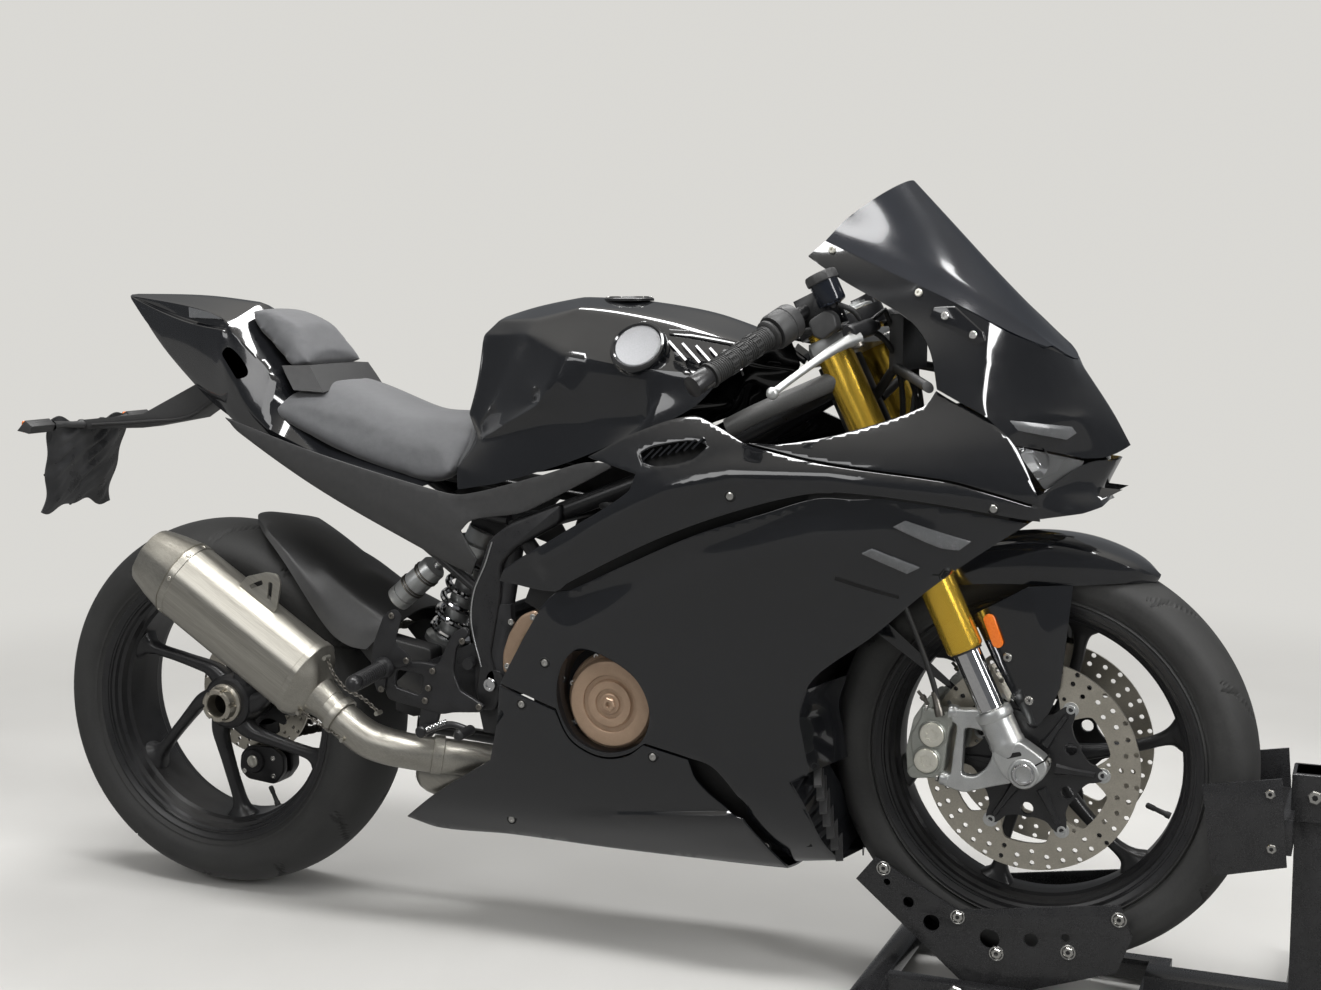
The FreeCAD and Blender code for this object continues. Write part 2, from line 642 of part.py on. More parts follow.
def clip_on(side):
    clamp = upright(forkLine, side * forkHalf, size("bar_z"), size("bar_z") + size("bar_clamp"),
                    size("tube_radius") + 9)
    low, high = sorted((side * (forkHalf + 14), side * (forkHalf + 46)))
    riser = block((forkLine - 12, low, size("bar_z")), (forkLine + 26, high, size("bar_z") + barRise + 16))
    bar = rod(bar_point(side, 0), bar_point(side, gripEnd + 4), size("bar_radius"))
    bore = upright(forkLine, side * forkHalf, 0, 900, size("tube_radius") + size("running_gap"))
    weight = rod(bar_point(side, gripEnd + 2), bar_point(side, gripEnd + 2 + size("weight_length")),
                 size("weight_radius"))
    return joined([clamp, riser, bar, weight]).cut(bore)


solid("clip_ons", apart([clip_on(s) for s in sides]), frontAxle, raked)


def sleeve(side, start, end, radius):
    outer = rod(bar_point(side, start), bar_point(side, end), radius)
    return outer.cut(rod(bar_point(side, start - 9), bar_point(side, end + 9),
                         size("bar_radius") + size("seat_gap")))


solid("grips", apart([sleeve(s, gripStart, gripEnd, size("grip_radius")) for s in sides]), frontAxle, raked)
switches = [sleeve(s, gripStart - 46, gripStart - 2, size("grip_radius") + 9) for s in sides]


def lever(side):
    """Hand lever and its master cylinder, ahead of the bar."""
    inner = vector(46, side * 168, 634)
    knee = vector(14, side * 216, 628)
    tip = vector(-52, side * 300, 604)
    blade = joined([tube([inner, knee, tip], 6.5), Part.makeSphere(8, tip)])
    holder = rod(bar_point(side, gripStart - 62), inner, 10)
    holder = holder.cut(rod(bar_point(side, gripStart - 80), bar_point(side, gripStart),
                            size("bar_radius") + size("seat_gap")))
    return joined([blade, holder])


solid("levers", apart([lever(s).cut(clip_on(s)) for s in sides]), frontAxle, raked)

# Brake fluid reservoir on a stalk from the right clip-on
reservoirSpot = vector(34, -166, 690)
stalk = rod(vector(forkLine + 20, -(forkHalf + 40), size("bar_z") + barRise), reservoirSpot, 5)
cup = upright(reservoirSpot.x, reservoirSpot.y, reservoirSpot.z, reservoirSpot.z + 44, 21)
riserBox = block((forkLine - 12, -(forkHalf + 46), 0),
                 (forkLine + 26, -(forkHalf + 14), size("bar_z") + barRise + 16))
solid("controls", apart(switches + [joined([cup, stalk]).cut(riserBox)]), frontAxle, raked)

# Front fender: a channel over the tyre, with a panel down each fork leg
def channel(inner, half, wall, skirt, start, sweep_angle):
    """U section turned about the axle; start and sweep in degrees from the local X axis."""
    ring = [(half, inner - skirt), (half, inner + wall * 0.2), (half * 0.55, inner + wall),
            (-half * 0.55, inner + wall), (-half, inner + wall * 0.2), (-half, inner - skirt),
            (-half + wall, inner - skirt), (-half + wall, inner - wall * 0.9), (-half * 0.5, inner),
            (half * 0.5, inner), (half - wall, inner - wall * 0.9), (half - wall, inner - skirt)]
    points = [vector(r, y, 0) for y, r in ring]
    face = Part.Face(Part.makePolygon(points + points[:1]))
    shape = face.revolve(vector(0, 0, 0), vector(0, -1, 0), sweep_angle)
    shape.rotate(vector(0, 0, 0), vector(0, -1, 0), start)
    return shape


fenderInner = size("front_radius") + size("fender_gap")
fenderArc = channel(fenderInner, size("fender_half"), size("fender_wall"), 34, 36, 84)
fenderSide = [(26, 92), (44, 92), (126, 176), (150, 268), (20, 290), (-6, 286), (-6, 206), (22, 196)]
panelY = size("disc_y") + size("disc_thick") / 2 + 3.5
fenderPieces = [fenderArc]
for s in sides:
    low, high = sorted((s * panelY, s * (panelY + 3)))
    fenderPieces.append(plate(fenderSide, low, high))
    low, high = sorted((s * (size("fender_half") - 1), s * (panelY + 3)))
    fenderPieces.append(plate([(40, 272), (148, 250), (150, 268), (20, 290)], low, high))
solid("front_fender", joined(fenderPieces).cut(tubes), frontAxle, raked)

# Brake hoses from the calipers up behind the tubes
hosePoints = [(-118, 96, 128), (-100, 104, 190), (-66, 112, 300), (-58, 112, 400), (-54, 112, 470)]
solid("brake_hoses", apart([tube([vector(x, s * y, z) for x, y, z in hosePoints], 4.5) for s in sides]),
      frontAxle, raked)

# Tail, whose underside ends the frame's rear tubes
tailTable = [
    (-198, (3, 1010), (14, 1008), (22, 1000), (14, 990)),
    (-100, (30, 1002), (86, 992), (112, 955), (78, 905)),
    (30, (30, 974), (92, 960), (130, 915), (96, 845)),
    (170, (56, 876), (110, 868), (138, 826), (116, 766)),
    (300, (58, 800), (100, 794), (126, 770), (112, 724)),
    (496, (60, 744), (92, 738), (110, 720), (100, 702)),
]
wingHole = plate([(77, 936), (92, 920), (139, 880), (106, 874), (70, 916)], -300, -98)
tail = hull(tailTable).cut(wingHole).cut(mirrored(wingHole))

# Frame: head tube, trellis sides, and the plates that hold the swingarm pivot
wheelbase = size("wheelbase")
axleHeight = size("front_radius") + size("front_lift")
turn = math.radians(size("rake"))


def from_rake(x, y, z):
    """A point of the raked frame, seen from under the rear axle."""
    return vector(wheelbase + x * math.cos(turn) - z * math.sin(turn), y,
                  axleHeight + x * math.sin(turn) + z * math.cos(turn))


def unraked(shape):
    shape.rotate(vector(0, 0, 0), vector(0, -1, 0), size("rake"))
    shape.translate(vector(wheelbase, 0, axleHeight))
    return shape


headLow = lowerYoke + size("yoke_thick") + 4
headTop = topYoke - 4
headBore = unraked(upright(stemLine, 0, headLow - 9, headTop + 9, size("stem_radius") + size("running_gap")))
headTube = unraked(upright(stemLine, 0, headLow, headTop, size("head_radius")))
frameTube = 14
pivot = (size("pivot_x"), size("pivot_z"))
plateInner, plateOuter = 150, 164
standPivot = vector(size("stand_x"), size("stand_y"), size("stand_z"))
standLean = math.radians(size("stand_lean"))
standAxis = vector(0, math.cos(standLean), math.sin(standLean))
standEar = plate([(568, 380), (602, 372), (548, 236), (500, 240)], 150, 160)
standBoss = rod(standPivot + standAxis * (size("stand_hub_half") + size("seat_gap")),
                standPivot + standAxis * 28, 16)
frameParts = [headTube, standEar, standBoss]
for s in sides:
    head = from_rake(stemLine, s * 26, headTop - 34)
    headFoot = from_rake(stemLine, s * 26, headLow + 24)
    shoulder = vector(860, s * 140, 752)
    knee = vector(622, s * 148, 660)
    lower = vector(900, s * 146, 640)
    waist = vector(700, s * 148, 560)
    foot = vector(pivot[0] + 4, s * 148, pivot[1] + 84)
    frameParts += [tube([head, shoulder, knee, foot], frameTube),
                   tube([headFoot, lower, waist, knee], frameTube - 2),
                   rod(shoulder, lower, frameTube - 3), rod(lower, vector(760, s * 144, 705), frameTube - 4)]
    ring = [(pivot[0] - 30, pivot[1] + 112), (pivot[0] + 26, pivot[1] + 116), (pivot[0] + 34, pivot[1] - 30),
            (pivot[0] + 10, pivot[1] - 84), (pivot[0] - 22, pivot[1] - 84), (pivot[0] - 36, pivot[1] - 20)]
    low, high = sorted((s * plateInner, s * plateOuter))
    frameParts.append(plate(ring, low, high))
crossBar = across(pivot[0] + 2, pivot[1] + 96, -plateInner - 4, plateInner + 4, 12)
shockBar = across(612, 658, 4 - plateInner, plateInner - 4, 13)
shockEar = plate([(619, 668), (619, 648), (500, 612), (470, 616), (470, 650), (500, 664)], -14, 14)
pivotShaft = across(pivot[0], pivot[1], -size("pivot_half"), size("pivot_half"), size("pivot_radius"))
subTube = 9
subframe = []
for s in sides:
    subframe.append(rod(vector(306, s * 100, 713), vector(606, s * 144, 672), subTube))
    subframe.append(rod(vector(310, s * 98, 708), vector(590, s * 146, 534), subTube - 1))
subframe.append(across(322, 704, -100, 100, subTube - 1))
frameShape = joined(frameParts + [crossBar, shockBar, shockEar,
                                  pivotShaft] + subframe).cut(headBore).cut(tail)
frameShape = max(frameShape.Solids, key=lambda s: s.Volume)
solid("frame", frameShape)

# Engine block, with round covers on both sides
engineHalf = size("engine_half")
crankcase = plate([(636, 470), (650, 540), (780, 560), (808, 700), (950, 716), (985, 580), (970, 360),
                   (900, 222), (650, 222), (636, 300)],
                  -engineHalf, engineHalf)
engine = crankcase.cut(frameShape)
solid("engine", engine)
clutch = (size("clutch_x"), size("clutch_z"))


def cover(x, z, radius, side, face):
    """A stepped round cover that bolts to the engine's side."""
    start = side * engineHalf
    end = side * face
    step = side * (face - 14)
    base = Part.makeCylinder(radius + 9, abs(step - start), vector(x, start, z), vector(0, side, 0))
    crown = Part.makeCone(radius + 3, radius - 3, abs(end - step), vector(x, step, z), vector(0, side, 0))
    return joined([base, crown])


covers = [cover(clutch[0], clutch[1], size("clutch_radius"), -1, size("clutch_face")),
          cover(clutch[0] + 22, clutch[1], size("clutch_radius") - 6, 1, size("clutch_face") - 12)]
sideCover = plate([(640, 460), (664, 540), (712, 548), (722, 500), (700, 448)], -engineHalf - 30, -engineHalf)
solid("engine_covers", apart(covers + [sideCover]))
radiatorStays = [rod(vector(1078, s * 84, 630), vector(1040, s * 77, 718), 6) for s in sides]
core = plate([(998, 350), (1034, 345), (1100, 640), (1064, 650)], -165, 165)
solid("radiator", joined([core] + radiatorStays).cut(frameShape))

# Fuel tank and its cap, from sections that run back to front
# Down each section: crown, shoulder, crease, knee recess, lower crease, fold and skirt
tankTable = [
    (498, (16, 886), (48, 880), (66, 868), (74, 845), (80, 820), (98, 785), (104, 700)),
    (521, (18, 963), (44, 958), (62, 945), (68, 900), (76, 860), (100, 795), (118, 712)),
    (553, (20, 980), (55, 970), (77, 946), (84, 900), (88, 860), (122, 790), (142, 718)),
    (598, (22, 994), (76, 970), (97, 947), (99, 905), (106, 868), (140, 817), (151, 728)),
    (632, (24, 1000), (92, 972), (120, 945), (122, 905), (134, 856), (152, 826), (155, 737)),
    (667, (26, 1004), (96, 982), (141, 936), (143, 898), (160, 848), (152, 824), (158, 748)),
    (704, (28, 1004), (97, 988), (160, 924), (166, 890), (163, 852), (156, 823), (165, 760)),
    (760, (28, 1001), (99, 984), (170, 913), (171, 884), (169, 850), (165, 823), (176, 776)),
    (860, (26, 986), (104, 966), (183, 901), (185, 882), (185, 852), (181, 828), (170, 770)),
    (962, (22, 952), (112, 938), (178, 896), (177, 882), (170, 866), (160, 848), (150, 812)),
]
tank = hull(tankTable)
capPlace = vector(size("cap_x"), 0, size("cap_z"))
lidGap = size("seat_gap")
seatRing = Part.makeCylinder(size("cap_radius") + 8, 60, capPlace - vector(0, 0, 60), vector(0, 0, 1))
clearing = Part.makeCylinder(size("cap_radius") + 16, 60, capPlace, vector(0, 0, 1))
tank = joined([tank, seatRing]).cut(clearing)
tank = tank.cut(frameShape)
solid("fuel_tank", tank)
lid = Part.makeCylinder(size("cap_radius"), size("cap_thick"), vector(0, 0, lidGap), vector(0, 0, 1))
hingeX = size("cap_radius") + 4
knuckle = Part.makeCylinder(4, 26, vector(hingeX, -13, lidGap + 4), vector(0, 1, 0))
arm = block((size("cap_radius") - 8, -10, lidGap + 1), (hingeX, 10, lidGap + 7))
solid("fuel_cap", joined([lid, knuckle, arm]), ("rear_axle_x + cap_x", "0", "cap_z"))

# Tail, seats and side panels
solid("tail_cowl", tail)
seatTable = [
    (172, (50, 902), (98, 890), (126, 850), (122, 800)),
    (262, (58, 880), (112, 866), (140, 826), (124, 770)),
    (370, (56, 868), (108, 855), (132, 810), (118, 740)),
    (497.7, (44, 846), (80, 834), (104, 790), (98, 712)),
]
seat = hull(seatTable).cut(tail).cut(tank)
solid("seat", seat)
padTable = [
    (44, (30, 998), (60, 992), (76, 968), (70, 940)),
    (110, (34, 980), (78, 970), (98, 935), (90, 900)),
    (168, (40, 928), (86, 918), (106, 890), (98, 860)),
]
solid("tail_pad", hull(padTable).cut(tail).cut(seat))
panelRing = [(96, 842), (188, 778), (445, 698), (560, 716), (620, 690), (560, 640), (540, 600), (480, 590),
             (400, 640),
             (300, 696), (180, 742)]
panelHeights = (860, 710, 580)
panelTable = [(60, (145, 145, 141)), (300, (146, 146, 142)), (450, (153, 153, 148)), (560, (171, 172, 166)),
              (660, (177, 178, 172))]
panelRows = [(x,) + tuple(zip(widths, panelHeights)) for x, widths in panelTable]
sidePanel = side_skin(panelRows, size("panel_wall")).common(plate(panelRing, -300, 0))
# Bosses that rest on the rear frame tubes
bossTable = [(430, 696, 149.5, 127.95), (540, 681, 165.6, 144.05)]
panelBosses = [across(x, z, -outer, -inner, 7) for x, z, outer, inner in bossTable]
sidePanel = joined([sidePanel] + panelBosses)
solid("side_panels", apart([sidePanel, mirrored(sidePanel)]))

# Rear arm that carries the indicators and the number plate's bracket
hanger = plate([(-4, 880), (40, 862), (-60, 800), (-162, 782), (-300, 776), (-300, 792), (-162, 806)], -26,
               26)
stalks = [rod(vector(-288, s * 26, 784), vector(-300, s * 104, 790), 6) for s in sides]
indicatorRing = ((-318, 782), (-292, 778), (-286, 790), (-300, 800))
lampShells = [loft([[(x, s * y, z) for x, z in indicatorRing] for y in (100, 158)]) for s in sides]
hanger = joined([hanger] + stalks + lampShells).cut(tail)
solid("plate_hanger", hanger)
bracket = plate([(-301, 792), (-307, 790), (-345, 628), (-339, 626)], -96, 96)
solid("plate_bracket", bracket.cut(hanger))

# Single-sided swingarm on the left, with the hub ring round the spindle
ringTop = size("rear_radius")
armRing = [(pivot[0] + 30, pivot[1] + 34), (pivot[0] - 60, pivot[1] + 44), (330, 400), (40, ringTop + 56),
           (-50, ringTop + 30), (-50, ringTop - 36), (60, ringTop - 52), (340, 328),
           (pivot[0] - 60, pivot[1] - 62), (pivot[0] + 30, pivot[1] - 34)]
beam = plate(armRing, size("arm_right"), size("arm_left"))
hubRing = across(0, ringTop, size("hub_ring_right"), size("arm_left") + 4, size("hub_ring_radius"))
crossRing = [(pivot[0] + 26, pivot[1] + 30), (pivot[0] - 60, pivot[1] + 44), (412, 424), (380, 396),
             (380, 352), (412, 344),
             (pivot[0] - 60, pivot[1] - 62), (pivot[0] + 26, pivot[1] - 30)]
crossPart = plate(crossRing, -size("arm_cross_right"), size("arm_right"))
window = plate([(470, 440), (440, 372), (540, 384), (545, 452)], -80, 70)
swingarm = joined([beam, hubRing, crossPart]).cut(window)
swingarm = swingarm.cut(across(0, ringTop, -through, through, size("spindle_radius") + size("running_gap")))
swingarm = swingarm.cut(across(pivot[0], pivot[1], -through, through,
                               size("pivot_radius") + size("running_gap")))
solid("swingarm", swingarm)

# Rear caliper under the hub, on a leg from the hub ring
caliperBlock = block((-22, 34, 150), (66, 84, 228))
caliperSlot = block((-30, size("rear_disc_y") - 6, 192), (80, size("rear_disc_y") + 6, 240))
leg = block((-10, 66, 200), (40, 84, ringTop - 20))
rearCaliper = joined([caliperBlock, leg]).cut(caliperSlot)
solid("rear_caliper", rearCaliper.cut(hubRing))

# Shock: spring and damper between the frame and the swingarm, with its reservoir alongside
shockTop = vector(490, 0, 634)
shockLow = vector(404, 0, 418)
axis = shockTop - shockLow
coils = []
coilCount = 6
for i in range(coilCount):
    middle = shockLow + axis * ((i + 1.6) / (coilCount + 2.2))
    coils.append(rod(middle, middle + axis * 0.04, 35))
damper = [rod(shockLow, shockTop, 25), rod(shockLow + axis * 0.12, shockLow + axis * 0.2, 37),
          rod(shockLow + axis * 0.86, shockTop, 37)]
can = rod(vector(368, -74, 524), vector(440, -74, 584), 21)
canArm = rod(vector(424, -74, 570), shockLow + axis * 0.9, 9)
solid("shock", joined(damper + coils + [can, canArm]).cut(frameShape).cut(swingarm))

# Hugger over the rear tyre
huggerInner = size("rear_radius") + size("hugger_gap")
huggerArc = channel(huggerInner, size("hugger_half"), size("panel_wall"), 40, 20, 62)
huggerArc.translate(vector(0, 0, size("rear_radius")))


def hugger_point(out, degrees):
    """A point of the hugger's foot, out from the inner face of its arc."""
    x, z = polar(huggerInner + out, degrees)
    return x, z + size("rear_radius")


huggerRing = [hugger_point(-8, 27), hugger_point(25, 27), (440, 452), (440, 430), (412, 420),
              hugger_point(23, 16), hugger_point(-1, 18)]
huggerFeet = [plate(huggerRing, *sorted((s * 44, s * 99))) for s in sides]
solid("hugger", joined([huggerArc] + huggerFeet).cut(swingarm))


# Chain: one closed loop round both sprockets
def loop(reach, y):
    """A stadium round the two sprockets in the plane Y = y, each circle let out by reach."""
    big, small = size("sprocket_radius") + reach, size("drive_radius") + reach
    start, end = vector(0, y, size("rear_radius")), vector(size("drive_x"), y, size("drive_z"))
    line = end - start
    length = line.Length
    lean = math.atan2(line.z, line.x)
    opening = math.acos((big - small) / length)
    at = lambda c, r, a: vector(c.x + r * math.cos(a), y, c.z + r * math.sin(a))
    a1, a2 = lean + opening, lean - opening
    edges = [
        Part.LineSegment(at(start, big, a1), at(end, small, a1)).toShape(),
        Part.Arc(at(end, small, a1), at(end, small, lean), at(end, small, a2)).toShape(),
        Part.LineSegment(at(end, small, a2), at(start, big, a2)).toShape(),
        Part.Arc(at(start, big, a2), at(start, big, lean + math.pi), at(start, big, a1)).toShape(),
    ]
    return Part.Face(Part.Wire(edges))


chainLow = size("chain_y") - size("chain_half")
chainRing = loop(size("chain_height"), chainLow).cut(loop(1, chainLow))
chainBand = chainRing.extrude(vector(0, 2 * size("chain_half"), 0))
driveBoss = across(size("drive_x"), size("drive_z"), engineHalf, size("chain_y") + size("chain_half") + 2, 16)
driveGear = across(size("drive_x"), size("drive_z"), size("chain_y") - 3, size("chain_y") + 3,
                   size("drive_radius") + 0.9)
solid("chain", apart([chainBand, joined([driveBoss, driveGear])]))

# Exhaust: silencer, link pipe and the collector under the engine
mufflerY = size("silencer_y")
mufflerRear = vector(-24, mufflerY, 568)
mufflerFront = vector(252, mufflerY, 396)
mufflerAxis = mufflerFront - mufflerRear
mufflerWay = vector(mufflerAxis).normalize()
mufflerUp = vector(-mufflerWay.z, 0, mufflerWay.x)
canHalf, canRise = size("silencer_half"), size("silencer_rise")
quarter = [(1, 0.36), (0.65, 0.82), (0.23, 1)]
canRing = [(-y, n) for y, n in quarter] + [(y, n) for y, n in reversed(quarter)]
canRing += [(y, -n) for y, n in quarter] + [(-y, -n) for y, n in reversed(quarter)]


def can_section(along, rise, share, extra=0):
    """The can's outline, along the axis from its front and up from it, drawn to a share of its size."""
    centre = mufflerFront + mufflerWay * along + mufflerUp * rise
    points = []
    for y, n in canRing:
        place = centre + mufflerUp * (n * (canRise * share + extra)) + vector(0, y * (canHalf * share + extra), 0)
        points.append((place.x, place.y, place.z))
    return points


rise = size("band_rise")
can = loft([can_section(-348, 10, 0.74), can_section(-278, 13, 1), can_section(2, 11, 1), can_section(12, 7, 0.9),
            can_section(28, 2, 0.64)])
bands = [loft([can_section(-282, 13, 1, rise), can_section(-262, 13, 1, rise)]),
         loft([can_section(-8, 11, 1, rise), can_section(2, 11, 1, rise)])]
coneStart = mufflerFront + mufflerWay * 26
coneEnd = mufflerFront + mufflerWay * 52
cone = rod(coneStart, coneEnd, size("pipe_radius") + 12, size("pipe_radius") + 3)
outletStart = mufflerFront + mufflerWay * -360 + mufflerUp * 10
outlet = rod(outletStart, outletStart + mufflerWay * 110, 27)
tabRing = [(136, 538), (200, 502), (217, 519), (224, 560), (219, 573), (198, 574), (158, 560)]
bracketTab = plate(tabRing, mufflerY - 21, mufflerY - 15)
silencer = joined([can, cone, bracketTab] + bands).cut(outlet)
solid("silencer", silencer)
pipeStart = coneEnd
pipeBends = [pipeStart, vector(372, mufflerY + 8, 326), vector(440, -150, 300), vector(520, -104, 284),
             vector(660, -40, 256)]
solid("exhaust_pipe", tube(pipeBends, size("pipe_radius")).cut(silencer).cut(engine))

# Rearsets: plate, heel guard, footpeg and pedal on each side
pegX, pegZ = size("peg_x"), size("peg_z")
setRing = [(560, 440), (548, 480), (470, 500), (396, 482), (384, 452), (392, 416), (440, 404), (470, 330),
           (500, 322), (510, 360),
           (560, 404)]


def rearset(side):
    low, high = sorted((side * size("rearset_y"), side * (size("rearset_y") + size("rearset_thick"))))
    hole = [plate([(430, 480), (418, 446), (458, 430), (470, 474)], low - 1, high + 1)]
    board = plate(setRing, low, high)
    for h in hole:
        board = board.cut(h)
    peg = across(pegX, pegZ,
                 *sorted((side * size("rearset_y"),
                          side * (size("peg_root") + size("peg_length")))), size("peg_radius"))
    boss = across(pegX, pegZ, *sorted((side * (size("rearset_y") - 4), side * size("peg_root"))),
                  size("peg_radius") + 6)
    pedal = tube([vector(478, side * (size("rearset_y") + 16), 346),
                  vector(560, side * (size("rearset_y") + 20), 352)], 6)
    pedalPin = across(478, 346, *sorted((side * size("rearset_y"), side * (size("rearset_y") + 22))), 9)
    pedalToe = across(560, 352, *sorted((side * (size("rearset_y") + 12), side * (size("rearset_y") + 58))),
                      8)
    spacers = [across(548, 452, *sorted((side * plateOuter, side * size("rearset_y"))), 9)]
    return joined([board, peg, boss, pedal, pedalPin, pedalToe] + spacers)


solid("rearset_right", rearset(-1))
solid("rearset_left", rearset(1))

# Body panels over the engine: sections from the top edge down, back to front
skinHeights = (860, 800, 740, 660, 560, 460, 380, 300, 220, 150)
skinTable = [
    (440, (150, 160, 166, 168, 168, 166, 162, 150, 128, 84)),
    (620, (165, 186, 196, 198, 194, 192, 188, 172, 142, 88)),
    (800, (186, 212, 228, 224, 210, 204, 198, 182, 148, 88)),
    (980, (200, 236, 252, 244, 218, 208, 200, 184, 148, 84)),
    (1134, (200, 240, 256, 244, 216, 204, 194, 174, 132, 70)),
    (1280, (190, 222, 236, 220, 200, 190, 180, 160, 120, 60)),
    (1420, (128, 150, 164, 150, 140, 130, 120, 110, 90, 50)),
]
skinRows = [(x,) + tuple(zip(widths, skinHeights)) for x, widths in skinTable]
skin = side_skin(skinRows, size("panel_wall"))
upperRing = [(610, 592), (612, 420), (640, 384), (1128, 384), (1134, 453), (1150, 500), (1184, 545), (1232, 592),
             (1290, 642), (1344, 690), (1398, 728), (1240, 800), (1150, 800), (1040, 800), (960, 812), (860, 802),
             (794, 768)]
lowerRing = [(452, 208), (610, 372), (640, 384 - size("fairing_seam")), (1128, 384 - size("fairing_seam")),
             (1146, 300), (1148, 230),
             (1120, 180), (900, 160), (700, 168)]
# Almond window round the clutch cover
windowRing = [(x + clutch[0], z + clutch[1]) for x, z in
              ((-39, 82), (-2, 74), (41, 51), (62, 23), (69, -12), (54, -48), (30, -71), (-5, -80),
               (-37, -74), (-65, -55),
               (-82, -23), (-84, 14), (-75, 49), (-59, 72))]
clutchWindow = plate(windowRing, -through, through)
upper = skin.common(plate(upperRing, -through, 0)).cut(clutchWindow)
lower = skin.common(plate(lowerRing, -through, 0)).cut(clutchWindow)
# A boss that rests on the frame, and one on the radiator's side
fairingBosses = [across(900, 640, -229, -146, 8).cut(frameShape),
                 across(1046, 470, -209, -165 - size("seat_gap"), 8)]
upper = joined([upper] + fairingBosses)
solid("fairing_right", upper)
solid("fairing_left", mirrored(upper))
keel = plate([(452, 208), (700, 168), (900, 160), (1120, 180), (1120, 184), (900, 164), (700, 172),
              (452, 212)], -150, 150)
bellyInside = hull([(x, (w[-3], 300), (w[-2], 220), (w[-1], 150)) for x, w in skinTable])
standRoom = block((430, 60, 140), (596, 220, 366))
solid("belly_pan", joined([lower, mirrored(lower).cut(standRoom), keel.common(bellyInside).cut(standRoom)]))

# Nose and windscreen share one surface
noseTable = [
    (1068, (12, 1294), (78, 1180), (120, 1082), (150, 1000), (180, 920), (200, 860)),
    (1182, (10, 1169), (74, 1120), (124, 1054), (158, 976), (188, 900), (208, 830)),
    (1290, (8, 1052), (66, 1016), (118, 958), (160, 888), (188, 830), (204, 760)),
    (1409, (6, 922), (50, 902), (94, 866), (134, 818), (156, 775), (160, 716)),
    (1494, (3, 812), (12, 806), (22, 797), (28, 786), (30, 770), (26, 742)),
]
shellWall = 4
noseInside = hull(shrunk(noseTable, shellWall))
noseShell = hull(noseTable).cut(noseInside)
screenRing = [(1183, 1174), (1060, 1070), (1090, 1066), (1404, 893), (1432, 920)]
noseRing = [(1068, 1074), (1090, 1066 - size("fairing_seam")), (1404, 893 - size("fairing_seam")),
            (1432, 918), (1504, 830), (1500, 730),
            (1398, 728), (1244, 800), (1222, 850), (1232, 935), (1150, 1010)]
solid("windscreen", noseShell.common(plate(screenRing, -300, 300)))
lampRing = [(1352, 806), (1388, 752), (1440, 742), (1420, 800)]
lampHole = [(1349, 807), (1387, 751), (1442, 740), (1422, 802)]
noseFairing = noseShell.common(plate(noseRing, -through, through)).cut(plate(lampHole, -through, through))
noseFairing = noseFairing.cut(plate(screenRing, -through, through))
solid("nose_fairing", noseFairing)
lampShell = hull(noseTable).cut(hull(shrunk(noseTable, 14)))
solid("headlights", apart([lampShell.common(plate(lampRing, *sorted((s * 30, s * 300)))) for s in sides]))
stayRadius = 7
stayMeet = 1176, 905
cockpitParts = [block((1170, -70, 900), (1190, 70, 980)),
                rod(vector(stayMeet[0], -60, stayMeet[1]), vector(stayMeet[0], 60, stayMeet[1]), stayRadius)]
for s in sides:
    corner = vector(stayMeet[0], s * 60, stayMeet[1])
    cockpitParts += [rod(from_rake(stemLine + 30, s * 20, 560), corner, stayRadius),
                     rod(corner, vector(1290, s * 230, 872), stayRadius)]
solid("cockpit", joined(cockpitParts).common(noseInside).cut(frameShape))

# Wheel chock: base rails, post with guide plates, and the cradle under the tyre
rearSlope, frontSlope = math.radians(size("rear_ramp")), math.radians(size("front_ramp"))
touch = size("front_radius") + size("seat_gap")


def ramp_point(slope, side, along, deep):
    """A point on a ramp: along it from the touch point, and deep under its face."""
    x = wheelbase + side * (touch + deep) * math.sin(slope) + side * along * math.cos(slope)
    z = axleHeight - (touch + deep) * math.cos(slope) + along * math.sin(slope)
    return x, z


wall = size("cradle_wall")
halfTurn = (rearSlope + frontSlope) / 2


def fold(deep):
    """Where the two ramps meet."""
    back = (touch + deep) * math.tan(halfTurn)
    return ramp_point(rearSlope, -1, -back, deep)


rearEnd, frontEnd = size("rear_ramp_up"), size("front_ramp_up")
rampRing = [ramp_point(rearSlope, -1, rearEnd, 0), fold(0), ramp_point(frontSlope, 1, frontEnd, 0),
            ramp_point(frontSlope, 1, frontEnd, wall), fold(wall), ramp_point(rearSlope, -1, rearEnd, wall)]
cradleHalf = size("cradle_half")
ramps = plate(rampRing, -cradleHalf, cradleHalf)


def ahead(points):
    """Points given from under the front axle, seen from under the rear one."""
    return [(wheelbase + p[0],) + tuple(p[1:]) for p in points]


sideRing = [ramp_point(rearSlope, -1, rearEnd, wall)]
sideRing += ahead([(-218, 199), (-96, 136), (129, 172), (146, 128)])
sideRing += [ramp_point(frontSlope, 1, frontEnd, wall), fold(wall)]
holes = ahead([(-200, 164, 5), (-168, 138, 8), (-134, 112, 12), (-50, 100, 14), (8, 106, 10), (56, 116, 6)])
cradleParts = [ramps]
for s in sides:
    cheek = plate(sideRing, *sorted((s * cradleHalf, s * (cradleHalf + wall))))
    for x, z, r in holes:
        cheek = cheek.cut(across(x, z, -through, through, r))
    cradleParts.append(cheek)
solid("chock_cradle", joined(cradleParts))
beam = size("beam_side")
railIn = cradleHalf + wall + size("seat_gap")
railOut = railIn + size("rail_width")
railLow = size("rail_gap")
railTop = railLow + size("rail_height")
railX, postX = wheelbase - size("cross_back"), wheelbase + size("post_lead")
bridgeX = wheelbase + size("bridge_lead")
